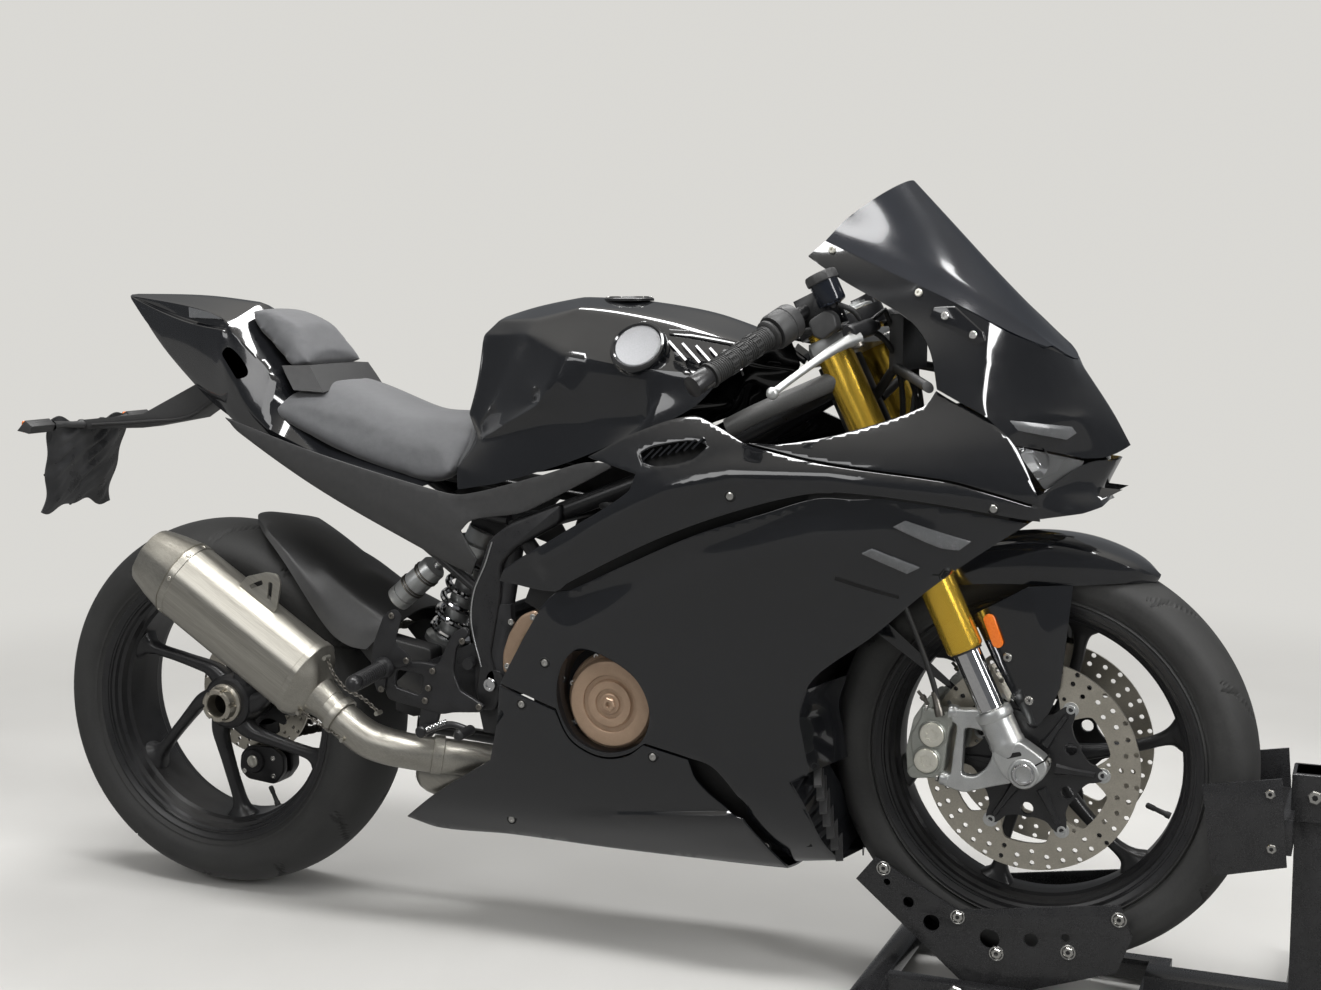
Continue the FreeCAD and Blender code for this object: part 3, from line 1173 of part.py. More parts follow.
bridgeEnd = bridgeX + size("rail_height")
rails = []
for s in sides:
    low, high = sorted((s * railIn, s * railOut))
    rails.append(block((railX, low, railLow), (bridgeEnd, high, railTop)))
spine = block((bridgeX + 6, -beam / 2, railLow), (postX + beam / 2, beam / 2, railLow + beam))
bridge = block((bridgeX, -railOut, railLow), (bridgeEnd, railOut, railTop))
crossRadius = size("cross_radius")
cross = [across(x, crossRadius, -size("cross_half"), size("cross_half"), crossRadius)
         for x in (railX, wheelbase + size("cross_lead"))]
post = block((postX - beam / 2, -beam / 2, railLow), (postX + beam / 2, beam / 2, size("post_top")))
bolt = across(wheelbase - 90, 26, -railOut - 8, -railIn, 8)
guideHalf = size("guide_half")
guideRing = ahead([(232, 354), (332, 372), (342, 253), (247, 229)])
guides = [plate(guideRing, *sorted((s * guideHalf, s * (guideHalf + wall)))) for s in sides]
tie = block((postX - beam / 2 - 34, -guideHalf, 268), (postX - beam / 2, guideHalf, 316))
solid("chock_base", joined(rails + [spine, bridge, post, bolt, tie] + guides + cross))

# Side stand on the left, folded back along the swingarm
standLeg = size("stand_length")
standTip = vector(-standLeg, 0, 14)
soleWay = FreeCAD.Rotation(standAxis, size("stand_swing")).multVec(vector(0, 0, -1))
standHub = rod(standAxis * -size("stand_hub_half"), standAxis * size("stand_hub_half"), size("stand_hub"))
standParts = [rod(vector(0, 0, 0), standTip, size("stand_radius")), standHub,
              rod(standTip, standTip + soleWay * 7, size("stand_foot"))]
solid("side_stand", joined(standParts), ("rear_axle_x + stand_x", "stand_y", "stand_z"))

doc.recompute()
faults = [thing.Name for thing in doc.Objects if "Invalid" in thing.State or "Error" in thing.State]
faults += [thing.Label for thing in nodes if thing.Shape.isNull() or not thing.Shape.isValid()]
if faults:
    raise RuntimeError("failed: " + ", ".join(faults))
os.makedirs("parts", exist_ok=True)
for thing in nodes:
    thing.Shape.exportStep("parts/" + thing.Label + ".step")
print(len(nodes), "nodes written")
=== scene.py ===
import bisect
import bmesh
import bpy
import json
import math
import random
from mathutils import Matrix, Vector, geometry


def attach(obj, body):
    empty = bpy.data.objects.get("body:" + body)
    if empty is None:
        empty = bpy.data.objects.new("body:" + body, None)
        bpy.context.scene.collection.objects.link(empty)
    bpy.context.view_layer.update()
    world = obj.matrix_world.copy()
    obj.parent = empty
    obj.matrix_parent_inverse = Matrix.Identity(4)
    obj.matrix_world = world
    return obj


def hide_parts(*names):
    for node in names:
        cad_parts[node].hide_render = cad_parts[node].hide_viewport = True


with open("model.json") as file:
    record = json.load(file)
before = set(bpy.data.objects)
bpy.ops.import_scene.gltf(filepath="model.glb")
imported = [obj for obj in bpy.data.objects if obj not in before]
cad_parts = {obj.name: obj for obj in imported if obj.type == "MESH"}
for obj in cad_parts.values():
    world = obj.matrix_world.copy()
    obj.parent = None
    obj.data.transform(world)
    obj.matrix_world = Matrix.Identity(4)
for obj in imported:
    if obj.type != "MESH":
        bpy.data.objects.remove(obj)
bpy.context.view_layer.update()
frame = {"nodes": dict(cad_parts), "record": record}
cadNodes = frame["nodes"]
record = frame["record"]
bodyOf = {n: b for b, names in record["behaviour"]["bodies"].items() for n in names}
slotOf = {s["node"]: s["material_slot"] for s in record["subparts"]}

# Camera, as the photograph has it
camera = {"place": (1.1035, -2.4883, 1.0058), "yaw": -0.3921, "pitch": -0.1126, "roll": -0.0029, "lens": 48.03,
    "sensor": 36, "near": 0.05}
yaw, pitch, roll = camera["yaw"], camera["pitch"], camera["roll"]
ahead = Vector((math.sin(yaw) * math.cos(pitch), math.cos(yaw) * math.cos(pitch), math.sin(pitch)))
side = ahead.cross(Vector((0, 0, 1))).normalized()
over = side.cross(ahead)
right = side * math.cos(roll) + over * math.sin(roll)
up = over * math.cos(roll) - side * math.sin(roll)
cameraData = bpy.data.cameras.new("photoCamera")
cameraData.lens = camera["lens"]
cameraData.sensor_width = camera["sensor"]
cameraData.clip_start = camera["near"]
cameraObject = bpy.data.objects.new("photoCamera", cameraData)
cameraObject.matrix_world = Matrix([(right[i], up[i], -ahead[i], camera["place"][i]) for i in range(3)] +
    [(0, 0, 0, 1)])
bpy.context.collection.objects.link(cameraObject)
bpy.context.scene.camera = cameraObject
bpy.context.scene.view_settings.view_transform = "Standard"
print("camera set")


def feed(tree, node, inputs):
    # Each input of a node gets a value, or a link from the socket of another node.
    for label, value in dict(inputs).items():
        if isinstance(value, bpy.types.NodeSocket):
            tree.links.new(value, node.inputs[label])
        else:
            node.inputs[label].default_value = value


def addNode(tree, kind, inputs=(), **settings):
    node = tree.nodes.new(kind)
    for label, value in settings.items():
        setattr(node, label, value)
    feed(tree, node, inputs)
    return node


def scaledBy(tree, socket, factor):
    return addNode(tree, "ShaderNodeMath", {0: socket, 1: factor}, operation="MULTIPLY").outputs[0]


def newTree(name, kind, inputs, output):
    # A node group; an input is its label, kind of socket and value, an output its label and kind.
    tree = bpy.data.node_groups.new(name, kind)
    for label, socketKind, value in inputs:
        socket = tree.interface.new_socket(label, in_out="INPUT", socket_type="NodeSocket" + socketKind)
        if value is not None:
            socket.default_value = value
    tree.interface.new_socket(output[0], in_out="OUTPUT", socket_type="NodeSocket" + output[1])
    return tree, tree.nodes.new("NodeGroupInput").outputs


# Grain: fine noise over a coarser one, as a mask from 0 to 1
grainShare = {"fine": 0.6, "broad": 0.4, "coarser": 0.07}
fineGrain, given = newTree("fineGrain", "ShaderNodeTree", [("Vector", "Vector", None), ("Scale", "Float", 100.0),
    ("Detail", "Float", 3.0)], ("Mask", "Float"))
fineNoise = addNode(fineGrain, "ShaderNodeTexNoise", {label: given[label] for label in ("Vector", "Scale", "Detail")})
broadNoise = addNode(fineGrain, "ShaderNodeTexNoise", {"Vector": given["Vector"],
    "Scale": scaledBy(fineGrain, given["Scale"], grainShare["coarser"])})
grainSum = addNode(fineGrain, "ShaderNodeMath", {0: fineNoise.outputs[0], 1: grainShare["fine"],
    2: scaledBy(fineGrain, broadNoise.outputs[0], grainShare["broad"])}, operation="MULTIPLY_ADD")
addNode(fineGrain, "NodeGroupOutput", {"Mask": grainSum.outputs[0]})

# Parts of the grain's mask over which the colour and the roughness change
spread = {"color": (0.35, 0.65), "rough": (0.3, 0.7), "coatRough": 0.02}


def finish(name, color, second, rough, metallic=0.0, coat=0.0, scale=120.0, stretch=(1, 1, 1), bump=0.1, depth=0.0003,
        detail=3.0, lean=0.0, **fixed):
    # A look that wanders between two colours and two roughnesses with the grain.
    material = bpy.data.materials.new(name)
    material.use_nodes = True
    tree = material.node_tree
    place = addNode(tree, "ShaderNodeTexCoord")
    fit = addNode(tree, "ShaderNodeMapping", {"Vector": place.outputs["Object"], "Scale": stretch})
    if lean:
        fit.vector_type = "TEXTURE"
        feed(tree, fit, {"Rotation": (0, lean, 0), "Scale": [1 / s for s in stretch]})
    grain = addNode(tree, "ShaderNodeGroup", {"Vector": fit.outputs[0], "Scale": scale, "Detail": detail},
        node_tree=fineGrain)
    mask = grain.outputs["Mask"]
    ramp = addNode(tree, "ShaderNodeMapRange", {"Value": mask, "From Min": spread["color"][0],
        "From Max": spread["color"][1]})
    mix = addNode(tree, "ShaderNodeMix", {"Factor": ramp.outputs[0], "A": (*color, 1), "B": (*second, 1)},
        data_type="RGBA")
    roughness = addNode(tree, "ShaderNodeMapRange", {"Value": mask, "From Min": spread["rough"][0],
        "From Max": spread["rough"][1], "To Min": rough[0], "To Max": rough[1]})
    inputs = {"Base Color": mix.outputs["Result"], "Roughness": roughness.outputs[0], "Metallic": metallic,
        "Coat Weight": coat, "Coat Roughness": spread["coatRough"]}
    if bump:
        bumper = addNode(tree, "ShaderNodeBump", {"Strength": bump, "Distance": depth, "Height": mask})
        inputs["Normal"] = bumper.outputs[0]
    inputs.update({label.replace("_", " "): value for label, value in fixed.items()})
    feed(tree, tree.nodes["Principled BSDF"], inputs)
    return material


finishes = {
    "gloss_black": finish("glossBlack", (0.006, 0.0064, 0.0076), (0.008, 0.0085, 0.0098), (0.08, 0.14), coat=1.0,
        scale=900, bump=0.012, Specular_IOR_Level=0.5),
    "matte_black": finish("satinMoulding", (0.030, 0.030, 0.031), (0.042, 0.042, 0.042), (0.42, 0.55), scale=1600,
        bump=0.25),
    "black_metal": finish("satinBlackCoat", (0.012, 0.012, 0.013), (0.020, 0.020, 0.021), (0.26, 0.38), scale=700,
        bump=0.08),
    "chock_steel": finish("powderCoat", (0.014, 0.014, 0.015), (0.022, 0.022, 0.023), (0.22, 0.34), coat=0.3,
        scale=500, bump=0.2),
    "seat_cover": finish("seatCover", (0.055, 0.056, 0.060), (0.085, 0.087, 0.092), (0.52, 0.68), scale=1100,
        bump=0.5, depth=0.0005, Sheen_Weight=0.25),
    "tyre_rubber": finish("tyreRubber", (0.020, 0.020, 0.020), (0.034, 0.034, 0.033), (0.55, 0.75), scale=260,
        bump=0.3),
    "black_rubber": finish("softRubber", (0.016, 0.016, 0.016), (0.026, 0.026, 0.026), (0.5, 0.65), scale=600,
        bump=0.2),
    "gold": finish("goldAnodised", (0.93, 0.60, 0.075), (0.95, 0.63, 0.09), (0.24, 0.27), metallic=0.85, scale=60,
        bump=0.0),
    "bright_steel": finish("hardChrome", (0.72, 0.72, 0.73), (0.80, 0.80, 0.81), (0.05, 0.11), metallic=1.0,
        scale=200, bump=0.0),
    "cast_silver": finish("castSilver", (0.56, 0.57, 0.57), (0.66, 0.67, 0.66), (0.30, 0.42), metallic=0.85,
        scale=900, bump=0.25),
    "bronze": finish("bronzeCoat", (0.36, 0.25, 0.175), (0.42, 0.30, 0.21), (0.30, 0.42), metallic=0.55, scale=1200,
        bump=0.12),
    "brushed_can": finish("brushedSteel", (0.42, 0.40, 0.355), (0.58, 0.56, 0.50), (0.30, 0.44), metallic=0.95,
        scale=900, stretch=(0.03, 1, 1), bump=0.06, lean=0.557),
    "disc_steel": finish("groundSteel", (0.50, 0.47, 0.40), (0.62, 0.58, 0.50), (0.28, 0.42), metallic=0.9, scale=500,
        bump=0.08),
    "engine_metal": finish("darkCasting", (0.030, 0.030, 0.031), (0.055, 0.055, 0.056), (0.45, 0.6), metallic=0.5,
        scale=500, bump=0.5),
    "chain_steel": finish("oiledSteel", (0.20, 0.19, 0.17), (0.30, 0.28, 0.25), (0.3, 0.5), metallic=1.0, scale=400,
        bump=0.1),
    "smoked": finish("smokedScreen", (0.012, 0.014, 0.020), (0.014, 0.017, 0.024), (0.12, 0.18), coat=0.2, scale=30,
        bump=0.0, Specular_IOR_Level=0.35, Transmission_Weight=0.35, IOR=1.45),
    "lamp": finish("lampLens", (0.90, 0.92, 0.94), (0.94, 0.95, 0.96), (0.01, 0.03), scale=20, bump=0.0,
        Transmission_Weight=0.95, IOR=1.45),
    "ridge": finish("darkGreyGloss", (0.085, 0.088, 0.092), (0.10, 0.102, 0.106), (0.22, 0.30), coat=0.4, scale=900,
        bump=0.02),
    "screw": finish("bareScrew", (0.62, 0.61, 0.58), (0.72, 0.71, 0.68), (0.18, 0.30), metallic=1.0, scale=900,
        bump=0.05),
    "amber": finish("amberReflector", (0.80, 0.16, 0.012), (0.90, 0.22, 0.02), (0.12, 0.2), coat=0.8, scale=400,
        bump=0.3),
    # Near-black painted shade: sheets and plates set where gaps, slots, wells and hollows fall into shadow
    "painted_shade": finish("paintedShadeBlack", (0.004, 0.004, 0.004), (0.007, 0.007, 0.007), (0.6, 0.8), scale=300, bump=0.1),
    "caliper": finish("caliperCasting", (0.30, 0.31, 0.285), (0.38, 0.39, 0.36), (0.34, 0.46), metallic=0.6,
        scale=900, bump=0.3),
    "cap": finish("pistonCap", (0.70, 0.685, 0.60), (0.78, 0.765, 0.69), (0.26, 0.36), metallic=0.7, scale=900,
        bump=0.1),
    "film": finish("blackFilm", (0.008, 0.008, 0.009), (0.055, 0.056, 0.058), (0.12, 0.5), scale=22, bump=0.55,
        depth=0.004, detail=5),
    "sleeve": finish("greyTube", (0.10, 0.10, 0.098), (0.13, 0.13, 0.127), (0.35, 0.45), scale=500, bump=0.1),
    "badge": finish("bareDisc", (0.17, 0.172, 0.178), (0.21, 0.212, 0.218), (0.42, 0.5), metallic=0.6, scale=500,
        bump=0.05),
}
print("finishes made:", len(finishes))

# Floor: it fades into the backdrop with distance, and gloss mirrors a darker tone of it
backdrop = {"color": (0.70, 0.69, 0.66, 1), "glossy": (0.12, 0.124, 0.13, 1), "overhead": (0.62, 0.60, 0.56, 1),
    "floorGlossy": (0.27, 0.268, 0.262, 1), "near": 1.4, "far": 3.6, "floorHalf": 14}
half = backdrop["floorHalf"]
floorMesh = bpy.data.meshes.new("floor")
floorMesh.from_pydata([(-half, -half, 0), (half, -half, 0), (half, half, 0), (-half, half, 0)], [], [(0, 1, 2, 3)])
floor = bpy.data.objects.new("floor", floorMesh)
bpy.context.collection.objects.link(floor)
floorFinish = finish("paleFloor", (0.62, 0.612, 0.59), (0.66, 0.652, 0.63), (0.5, 0.65), scale=3, bump=0.0)
tree = floorFinish.node_tree
place = addNode(tree, "ShaderNodeTexCoord")
away = addNode(tree, "ShaderNodeVectorMath", {0: place.outputs["Object"]}, operation="LENGTH")
fade = addNode(tree, "ShaderNodeMapRange", {"Value": away.outputs["Value"], "From Min": backdrop["near"],
    "From Max": backdrop["far"]}, interpolation_type="SMOOTHSTEP")
ray = addNode(tree, "ShaderNodeLightPath")
seen = addNode(tree, "ShaderNodeMath", {0: fade.outputs[0], 1: ray.outputs["Is Camera Ray"]}, operation="MULTIPLY")
glow = addNode(tree, "ShaderNodeEmission", {"Color": backdrop["color"]})
faded = addNode(tree, "ShaderNodeMixShader", {"Fac": seen.outputs[0], 1: tree.nodes["Principled BSDF"].outputs[0],
    2: glow.outputs[0]})
mirror = addNode(tree, "ShaderNodeEmission", {"Color": backdrop["floorGlossy"]})
picked = addNode(tree, "ShaderNodeMixShader", {"Fac": ray.outputs["Is Glossy Ray"], 1: faded.outputs[0],
    2: mirror.outputs[0]})
feed(tree, tree.nodes["Material Output"], {"Surface": picked.outputs[0]})
floorMesh.materials.append(floorFinish)

# Room: the camera sees the backdrop, gloss mirrors a dark room that is pale overhead
room = {"light": (1, 0.99, 0.97, 1), "strength": 0.42, "paleFrom": 0.30, "paleTo": 0.95}
world = bpy.data.worlds.new("studio")
bpy.context.scene.world = world
world.use_nodes = True
tree = world.node_tree
base = tree.nodes["Background"]
feed(tree, base, {"Color": room["light"], "Strength": room["strength"]})
shown = addNode(tree, "ShaderNodeBackground", {"Color": backdrop["color"]})
heading = addNode(tree, "ShaderNodeTexCoord")
parts = addNode(tree, "ShaderNodeSeparateXYZ", {0: heading.outputs["Generated"]})
rising = addNode(tree, "ShaderNodeMapRange", {"Value": parts.outputs["Z"], "From Min": room["paleFrom"],
    "From Max": room["paleTo"]}, interpolation_type="SMOOTHSTEP")
tone = addNode(tree, "ShaderNodeMix", {"Factor": rising.outputs[0], "A": backdrop["glossy"],
    "B": backdrop["overhead"]}, data_type="RGBA")
roomTone = addNode(tree, "ShaderNodeBackground", {"Color": tone.outputs["Result"]})
ray = addNode(tree, "ShaderNodeLightPath")
either = addNode(tree, "ShaderNodeMath", {0: ray.outputs["Is Camera Ray"], 1: ray.outputs["Is Transmission Ray"]},
    operation="MAXIMUM")
lit = addNode(tree, "ShaderNodeMixShader", {"Fac": ray.outputs["Is Glossy Ray"], 1: base.outputs[0],
    2: roomTone.outputs[0]})
whole = addNode(tree, "ShaderNodeMixShader", {"Fac": either.outputs[0], 1: lit.outputs[0], 2: shown.outputs[0]})
feed(tree, tree.nodes["World Output"], {"Surface": whole.outputs[0]})

lamps = [  # name, place, aim, width, height, power
    ("topBank", (0.1, -0.9, 3.0), (0.0, 0.0, 0.5), 2.6, 0.5, 70),
    ("farBank", (0.0, 1.1, 2.9), (0.0, 0.0, 0.5), 2.6, 0.4, 45),
    ("frontBank", (3.0, -1.2, 2.0), (0.4, 0.0, 0.5), 0.5, 1.8, 45),
    ("sideBank", (-1.2, -3.4, 2.4), (0.0, 0.0, 0.5), 2.4, 1.0, 22),
]
for name, place, aim, wide, tall, power in lamps:
    data = bpy.data.lights.new(name, "AREA")
    data.shape = "RECTANGLE"
    data.size, data.size_y = wide, tall
    data.energy = power
    lampObject = bpy.data.objects.new(name, data)
    lampObject.location = place
    lampObject.rotation_euler = (Vector(aim) - Vector(place)).to_track_quat("-Z", "Y").to_euler()
    bpy.context.collection.objects.link(lampObject)
print("stage and lamps set")

# Drawing frame: millimetres from the floor under the rear axle
bothSides = ((-1, "right"), (1, "left"))
mirrored = ((1, "right"), (-1, "left"))
rearAxleX = -0.718
wheelbase, axleHeight, rearRadius = 1380, 354, 315
rake = math.radians(25.2)


def real(p):
    return Vector((p[0] / 1000 + rearAxleX, p[1] / 1000, p[2] / 1000))


def onRight(node, word):
    # The piece on the right stands for the whole CAD node, and its twin for none.
    return (node,) if word == "right" else ()


def polarPoint(r, degrees):
    return r * math.cos(math.radians(degrees)), r * math.sin(math.radians(degrees))


def forkPoint(x, y, z):
    return Vector((wheelbase + x * math.cos(rake) - z * math.sin(rake), y,
        axleHeight + x * math.sin(rake) + z * math.cos(rake)))


def meshPiece(name, verts, faces, body, look, replaces=(), smooth=38, merge=0.0, tidy=True):
    mesh = bpy.data.meshes.new(name)
    mesh.from_pydata([real(v) for v in verts], [], faces)
    return settle(name, mesh, body, look, replaces, smooth, merge, tidy)


def settle(name, mesh, body, look, replaces=(), smooth=38, merge=0.0, tidy=True):
    if tidy:
        bm = bmesh.new()
        bm.from_mesh(mesh)
        if merge:
            bmesh.ops.remove_doubles(bm, verts=bm.verts, dist=merge)
        bmesh.ops.recalc_face_normals(bm, faces=bm.faces)
        bm.to_mesh(mesh)
        bm.free()
    mesh.shade_smooth()
    mesh.set_sharp_from_angle(angle=math.radians(smooth))
    mesh.materials.clear()
    mesh.materials.append(finishes[look])
    thing = bpy.data.objects.new(name, mesh)
    bpy.context.collection.objects.link(thing)
    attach(thing, body)
    if replaces:
        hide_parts(*replaces)
    return thing


def baked(thing, smooth=38):
    bpy.context.view_layer.update()
    graph = bpy.context.evaluated_depsgraph_get()
    mesh = bpy.data.meshes.new_from_object(thing.evaluated_get(graph))
    thing.modifiers.clear()
    old = thing.data
    thing.data = mesh
    bpy.data.meshes.remove(old)
    mesh.shade_smooth()
    mesh.set_sharp_from_angle(angle=math.radians(smooth))
    return thing


def addBevel(thing, width, segments=2, angle=30):
    bevel = thing.modifiers.new("Bevel", "BEVEL")
    bevel.width = width / 1000
    bevel.segments = segments
    bevel.limit_method = "ANGLE"
    bevel.angle_limit = math.radians(angle)
    bevel.use_clamp_overlap = True
    return bevel


def addWall(thing, wall, offset=-1):
    shell = thing.modifiers.new("Wall", "SOLIDIFY")
    shell.thickness = wall / 1000
    shell.offset = offset
    shell.use_even_offset = True
    return shell


copyForm = {"weld": 2e-5, "flat": 0.6, "smooth": 40}


def edged(node, width):
    # A copy of a CAD node with its edges rounded, in place of it.
    mesh = cadNodes[node].data.copy()
    bm = bmesh.new()
    bm.from_mesh(mesh)
    bmesh.ops.remove_doubles(bm, verts=bm.verts, dist=copyForm["weld"])
    bmesh.ops.dissolve_limit(bm, angle_limit=math.radians(copyForm["flat"]), verts=bm.verts, edges=bm.edges)
    bm.to_mesh(mesh)
    bm.free()
    thing = settle("rounded." + node, mesh, bodyOf[node], slotOf[node], (node,), tidy=False)
    addBevel(thing, width)
    return baked(thing, copyForm["smooth"])


def anglesOf(count):
    return [2 * math.pi * k / count for k in range(count)]


def bandFaces(loops, count):
    # Faces between closed loops, each with the same count of points.
    return [(i * count + j, i * count + (j + 1) % count, (i + 1) * count + (j + 1) % count, (i + 1) * count + j)
        for i in range(loops - 1) for j in range(count)]


def gridFaces(rows, count):
    # Faces between open rows, each with the same count of points.
    return [(i * count + j, i * count + j + 1, (i + 1) * count + j + 1, (i + 1) * count + j) for i in range(rows - 1)
        for j in range(count - 1)]


def smoothStep(t):
    t = min(max(t, 0.0), 1.0)
    return t * t * (3 - 2 * t)


def spline(keys, values, x):
    n = len(keys)
    i = min(max(bisect.bisect_right(keys, x) - 1, 0), n - 2)
    h = keys[i + 1] - keys[i]
    t = min(max((x - keys[i]) / h, -0.3), 1.3)

    def slope(j):
        a, b = max(j - 1, 0), min(j + 1, n - 1)
        return (values[b] - values[a]) / (keys[b] - keys[a])

    first, last = slope(i) * h, slope(i + 1) * h
    t2, t3 = t * t, t * t * t
    return (2 * t3 - 3 * t2 + 1) * values[i] + (t3 - 2 * t2 + t) * first + (3 * t2 - 2 * t3) * values[i + 1] + (t3 -
        t2) * last


def curveThrough(points, step, closed=True, corner=40):
    count = len(points)
    p = [Vector(q) for q in points]
    out = []
    for i in range(count if closed else count - 1):
        a, b = p[i], p[(i + 1) % count]
        before = p[i - 1] if closed or i else a
        after = p[(i + 2) % count] if closed or i + 2 < count else b
        length = (b - a).length

        def direction(q, r, s):
            u, v = r - q, s - r
            if u.length < 1e-6 or v.length < 1e-6 or u.angle(v) > math.radians(corner):
                return None
            return (s - q).normalized() * length
        start = direction(before, a, b) or (b - a)
        end = direction(a, b, after) or (b - a)
        parts = max(1, round(length / step))
        for k in range(parts):
            t = k / parts
            t2, t3 = t * t, t * t * t
            out.append((2 * t3 - 3 * t2 + 1) * a + (t3 - 2 * t2 + t) * start + (3 * t2 - 2 * t3) * b +
                (t3 - t2) * end)
    if not closed:
        out.append(p[-1])
    return out


def inside(x, z, ring):
    hit = False
    for (ax, az), (bx, bz) in zip(ring, ring[1:] + ring[:1]):
        if (az > z) != (bz > z) and x < (bx - ax) * (z - az) / (bz - az) + ax:
            hit = not hit
    return hit


def lineDistance(x, z, line):
    best, sign = 1e9, 1
    for (ax, az), (bx, bz) in zip(line, line[1:]):
        dx, dz = bx - ax, bz - az
        t = min(max(((x - ax) * dx + (z - az) * dz) / (dx * dx + dz * dz), 0), 1)
        d = math.hypot(x - ax - t * dx, z - az - t * dz)
        if d < best:
            best = d
            sign = 1 if dx * (z - az) - dz * (x - ax) > 0 else -1
    return best, sign


# Spacing of a panel's points, as shares of its step
spacing = {"ring": 0.7, "hole": 0.6, "fold": 0.8, "clear": 0.5, "row": 0.866}


def sideSheet(name, ring, widthAt, body, look, step=9, holes=(), lines=(), wall=3.5, bevel=0.8, replaces=(),
        sides=(-1, 1)):
    # A moulded panel: a side-view outline laid on a surface, with its wall and rounded edges.
    outer = [tuple(p) for p in curveThrough(ring, step * spacing["ring"])]
    inner = [[tuple(p) for p in curveThrough(h, step * spacing["hole"])] for h in holes]
    marks = [[tuple(p) for p in curveThrough(m, step * spacing["fold"], closed=False)] for m in lines]
    verts, edges = [], []
    for loop, closed in [(outer, True)] + [(h, True) for h in inner] + [(m, False) for m in marks]:
        start = len(verts)
        verts += loop
        count = len(loop)
        edges += [(start + i, start + (i + 1) % count) for i in range(count if closed else count - 1)]
    cells = {}
    for x, z in verts:
        cells.setdefault((round(x / step), round(z / step)), []).append((x, z))
    xs, zs = [p[0] for p in outer], [p[1] for p in outer]
    clear = step * spacing["clear"]
    row = 0
    z = min(zs) + clear
    while z < max(zs):
        x = min(xs) + (clear if row % 2 else 0)
        while x < max(xs):
            cx, cz = round(x / step), round(z / step)
            near = [q for i in (-1, 0, 1) for j in (-1, 0, 1) for q in cells.get((cx + i, cz + j), ())]
            if all(math.hypot(x - q[0], z - q[1]) > clear for q in near) and inside(x, z, outer):
                verts.append((x, z))
            x += step
        z += step * spacing["row"]
        row += 1
    flat, _, faces, *_ = geometry.delaunay_2d_cdt([Vector(v) for v in verts], edges, [], 0, 1e-5)
    kept = []
    for f in faces:
        mx = sum(flat[i].x for i in f) / len(f)
        mz = sum(flat[i].y for i in f) / len(f)
        if inside(mx, mz, outer) and not any(inside(mx, mz, h) for h in inner):
            kept.append(list(f))
    points, polygons = [], []
    for s in sides:
        start = len(points)
        points += [(v.x, s * widthAt(v.x, v.y), v.y) for v in flat]
        polygons += [[start + i for i in (f if s > 0 else f[::-1])] for f in kept]
    bm = bmesh.new()
    made = [bm.verts.new(real(p)) for p in points]
    for f in polygons:
        bm.faces.new([made[i] for i in f])
    loose = [v for v in bm.verts if not v.link_faces]
    bmesh.ops.delete(bm, geom=loose, context="VERTS")
    bmesh.ops.remove_doubles(bm, verts=bm.verts, dist=1e-6)
    bm.normal_update()
    for f in bm.faces:
        if f.calc_center_median().y * f.normal.y < 0:
            f.normal_flip()
    mesh = bpy.data.meshes.new(name)
    bm.to_mesh(mesh)
    bm.free()
    thing = settle(name, mesh, body, look, replaces, tidy=False)
    if wall:
        addWall(thing, wall)
    if bevel:
        addBevel(thing, bevel, 2, 45)
    return baked(thing, 32)


def lip(name, line, widthAt, inward, body, look, closed=False, drift=(0, 0), shrink=1.0):
    # A return flange that runs in from a panel's edge.
    points = [tuple(p) for p in curveThrough(line, 7, closed)]
    cx = sum(p[0] for p in points) / len(points)
    cz = sum(p[1] for p in points) / len(points)
    verts, faces = [], []
    for s in (-1, 1):
        start = len(verts)
        for x, z in points:
            w = widthAt(x, z)
            verts.append((x, s * (w - 0.5), z))
            verts.append((cx + (x - cx) * shrink + drift[0], s * (w - inward), cz + (z - cz) * shrink + drift[1]))
        count = len(points)
        for i in range(count if closed else count - 1):
            a, b = start + 2 * i, start + 2 * ((i + 1) % count)
            faces.append((a, a + 1, b + 1, b))
    thing = meshPiece(name, verts, faces, body, look)
    addWall(thing, 2, 0)
    return baked(thing)


# Geometry Nodes: trees that repeat a head, bar, ring, link or coil at each point of a mesh
def growTree(name, inputs):
    return newTree(name, "GeometryNodeTree", [("Points", "Geometry", None), *inputs, ("Finish", "Material", None)],
        ("Pieces", "Geometry"))


def placed(tree, given, shape):
    # The shape stands at each point: its Z looks along "facing" and its X along "way".
    turn = {}
    for label, axis, pivot in (("facing", "Z", "AUTO"), ("way", "X", "Z")):
        reader = addNode(tree, "GeometryNodeInputNamedAttribute", {"Name": label}, data_type="FLOAT_VECTOR")
        look = next(o for o in reader.outputs if o.enabled and o.name == "Attribute")
        aligned = addNode(tree, "FunctionNodeAlignRotationToVector", {"Vector": look, **turn}, axis=axis,
            pivot_axis=pivot)
        turn = {"Rotation": aligned.outputs[0]}
    many = addNode(tree, "GeometryNodeInstanceOnPoints", {"Points": given["Points"], "Instance": shape, **turn})
    solid = addNode(tree, "GeometryNodeRealizeInstances", {"Geometry": many.outputs[0]})
    dressed = addNode(tree, "GeometryNodeSetMaterial", {"Geometry": solid.outputs[0], "Material": given["Finish"]})
    addNode(tree, "NodeGroupOutput", {"Pieces": dressed.outputs[0]})
    return tree


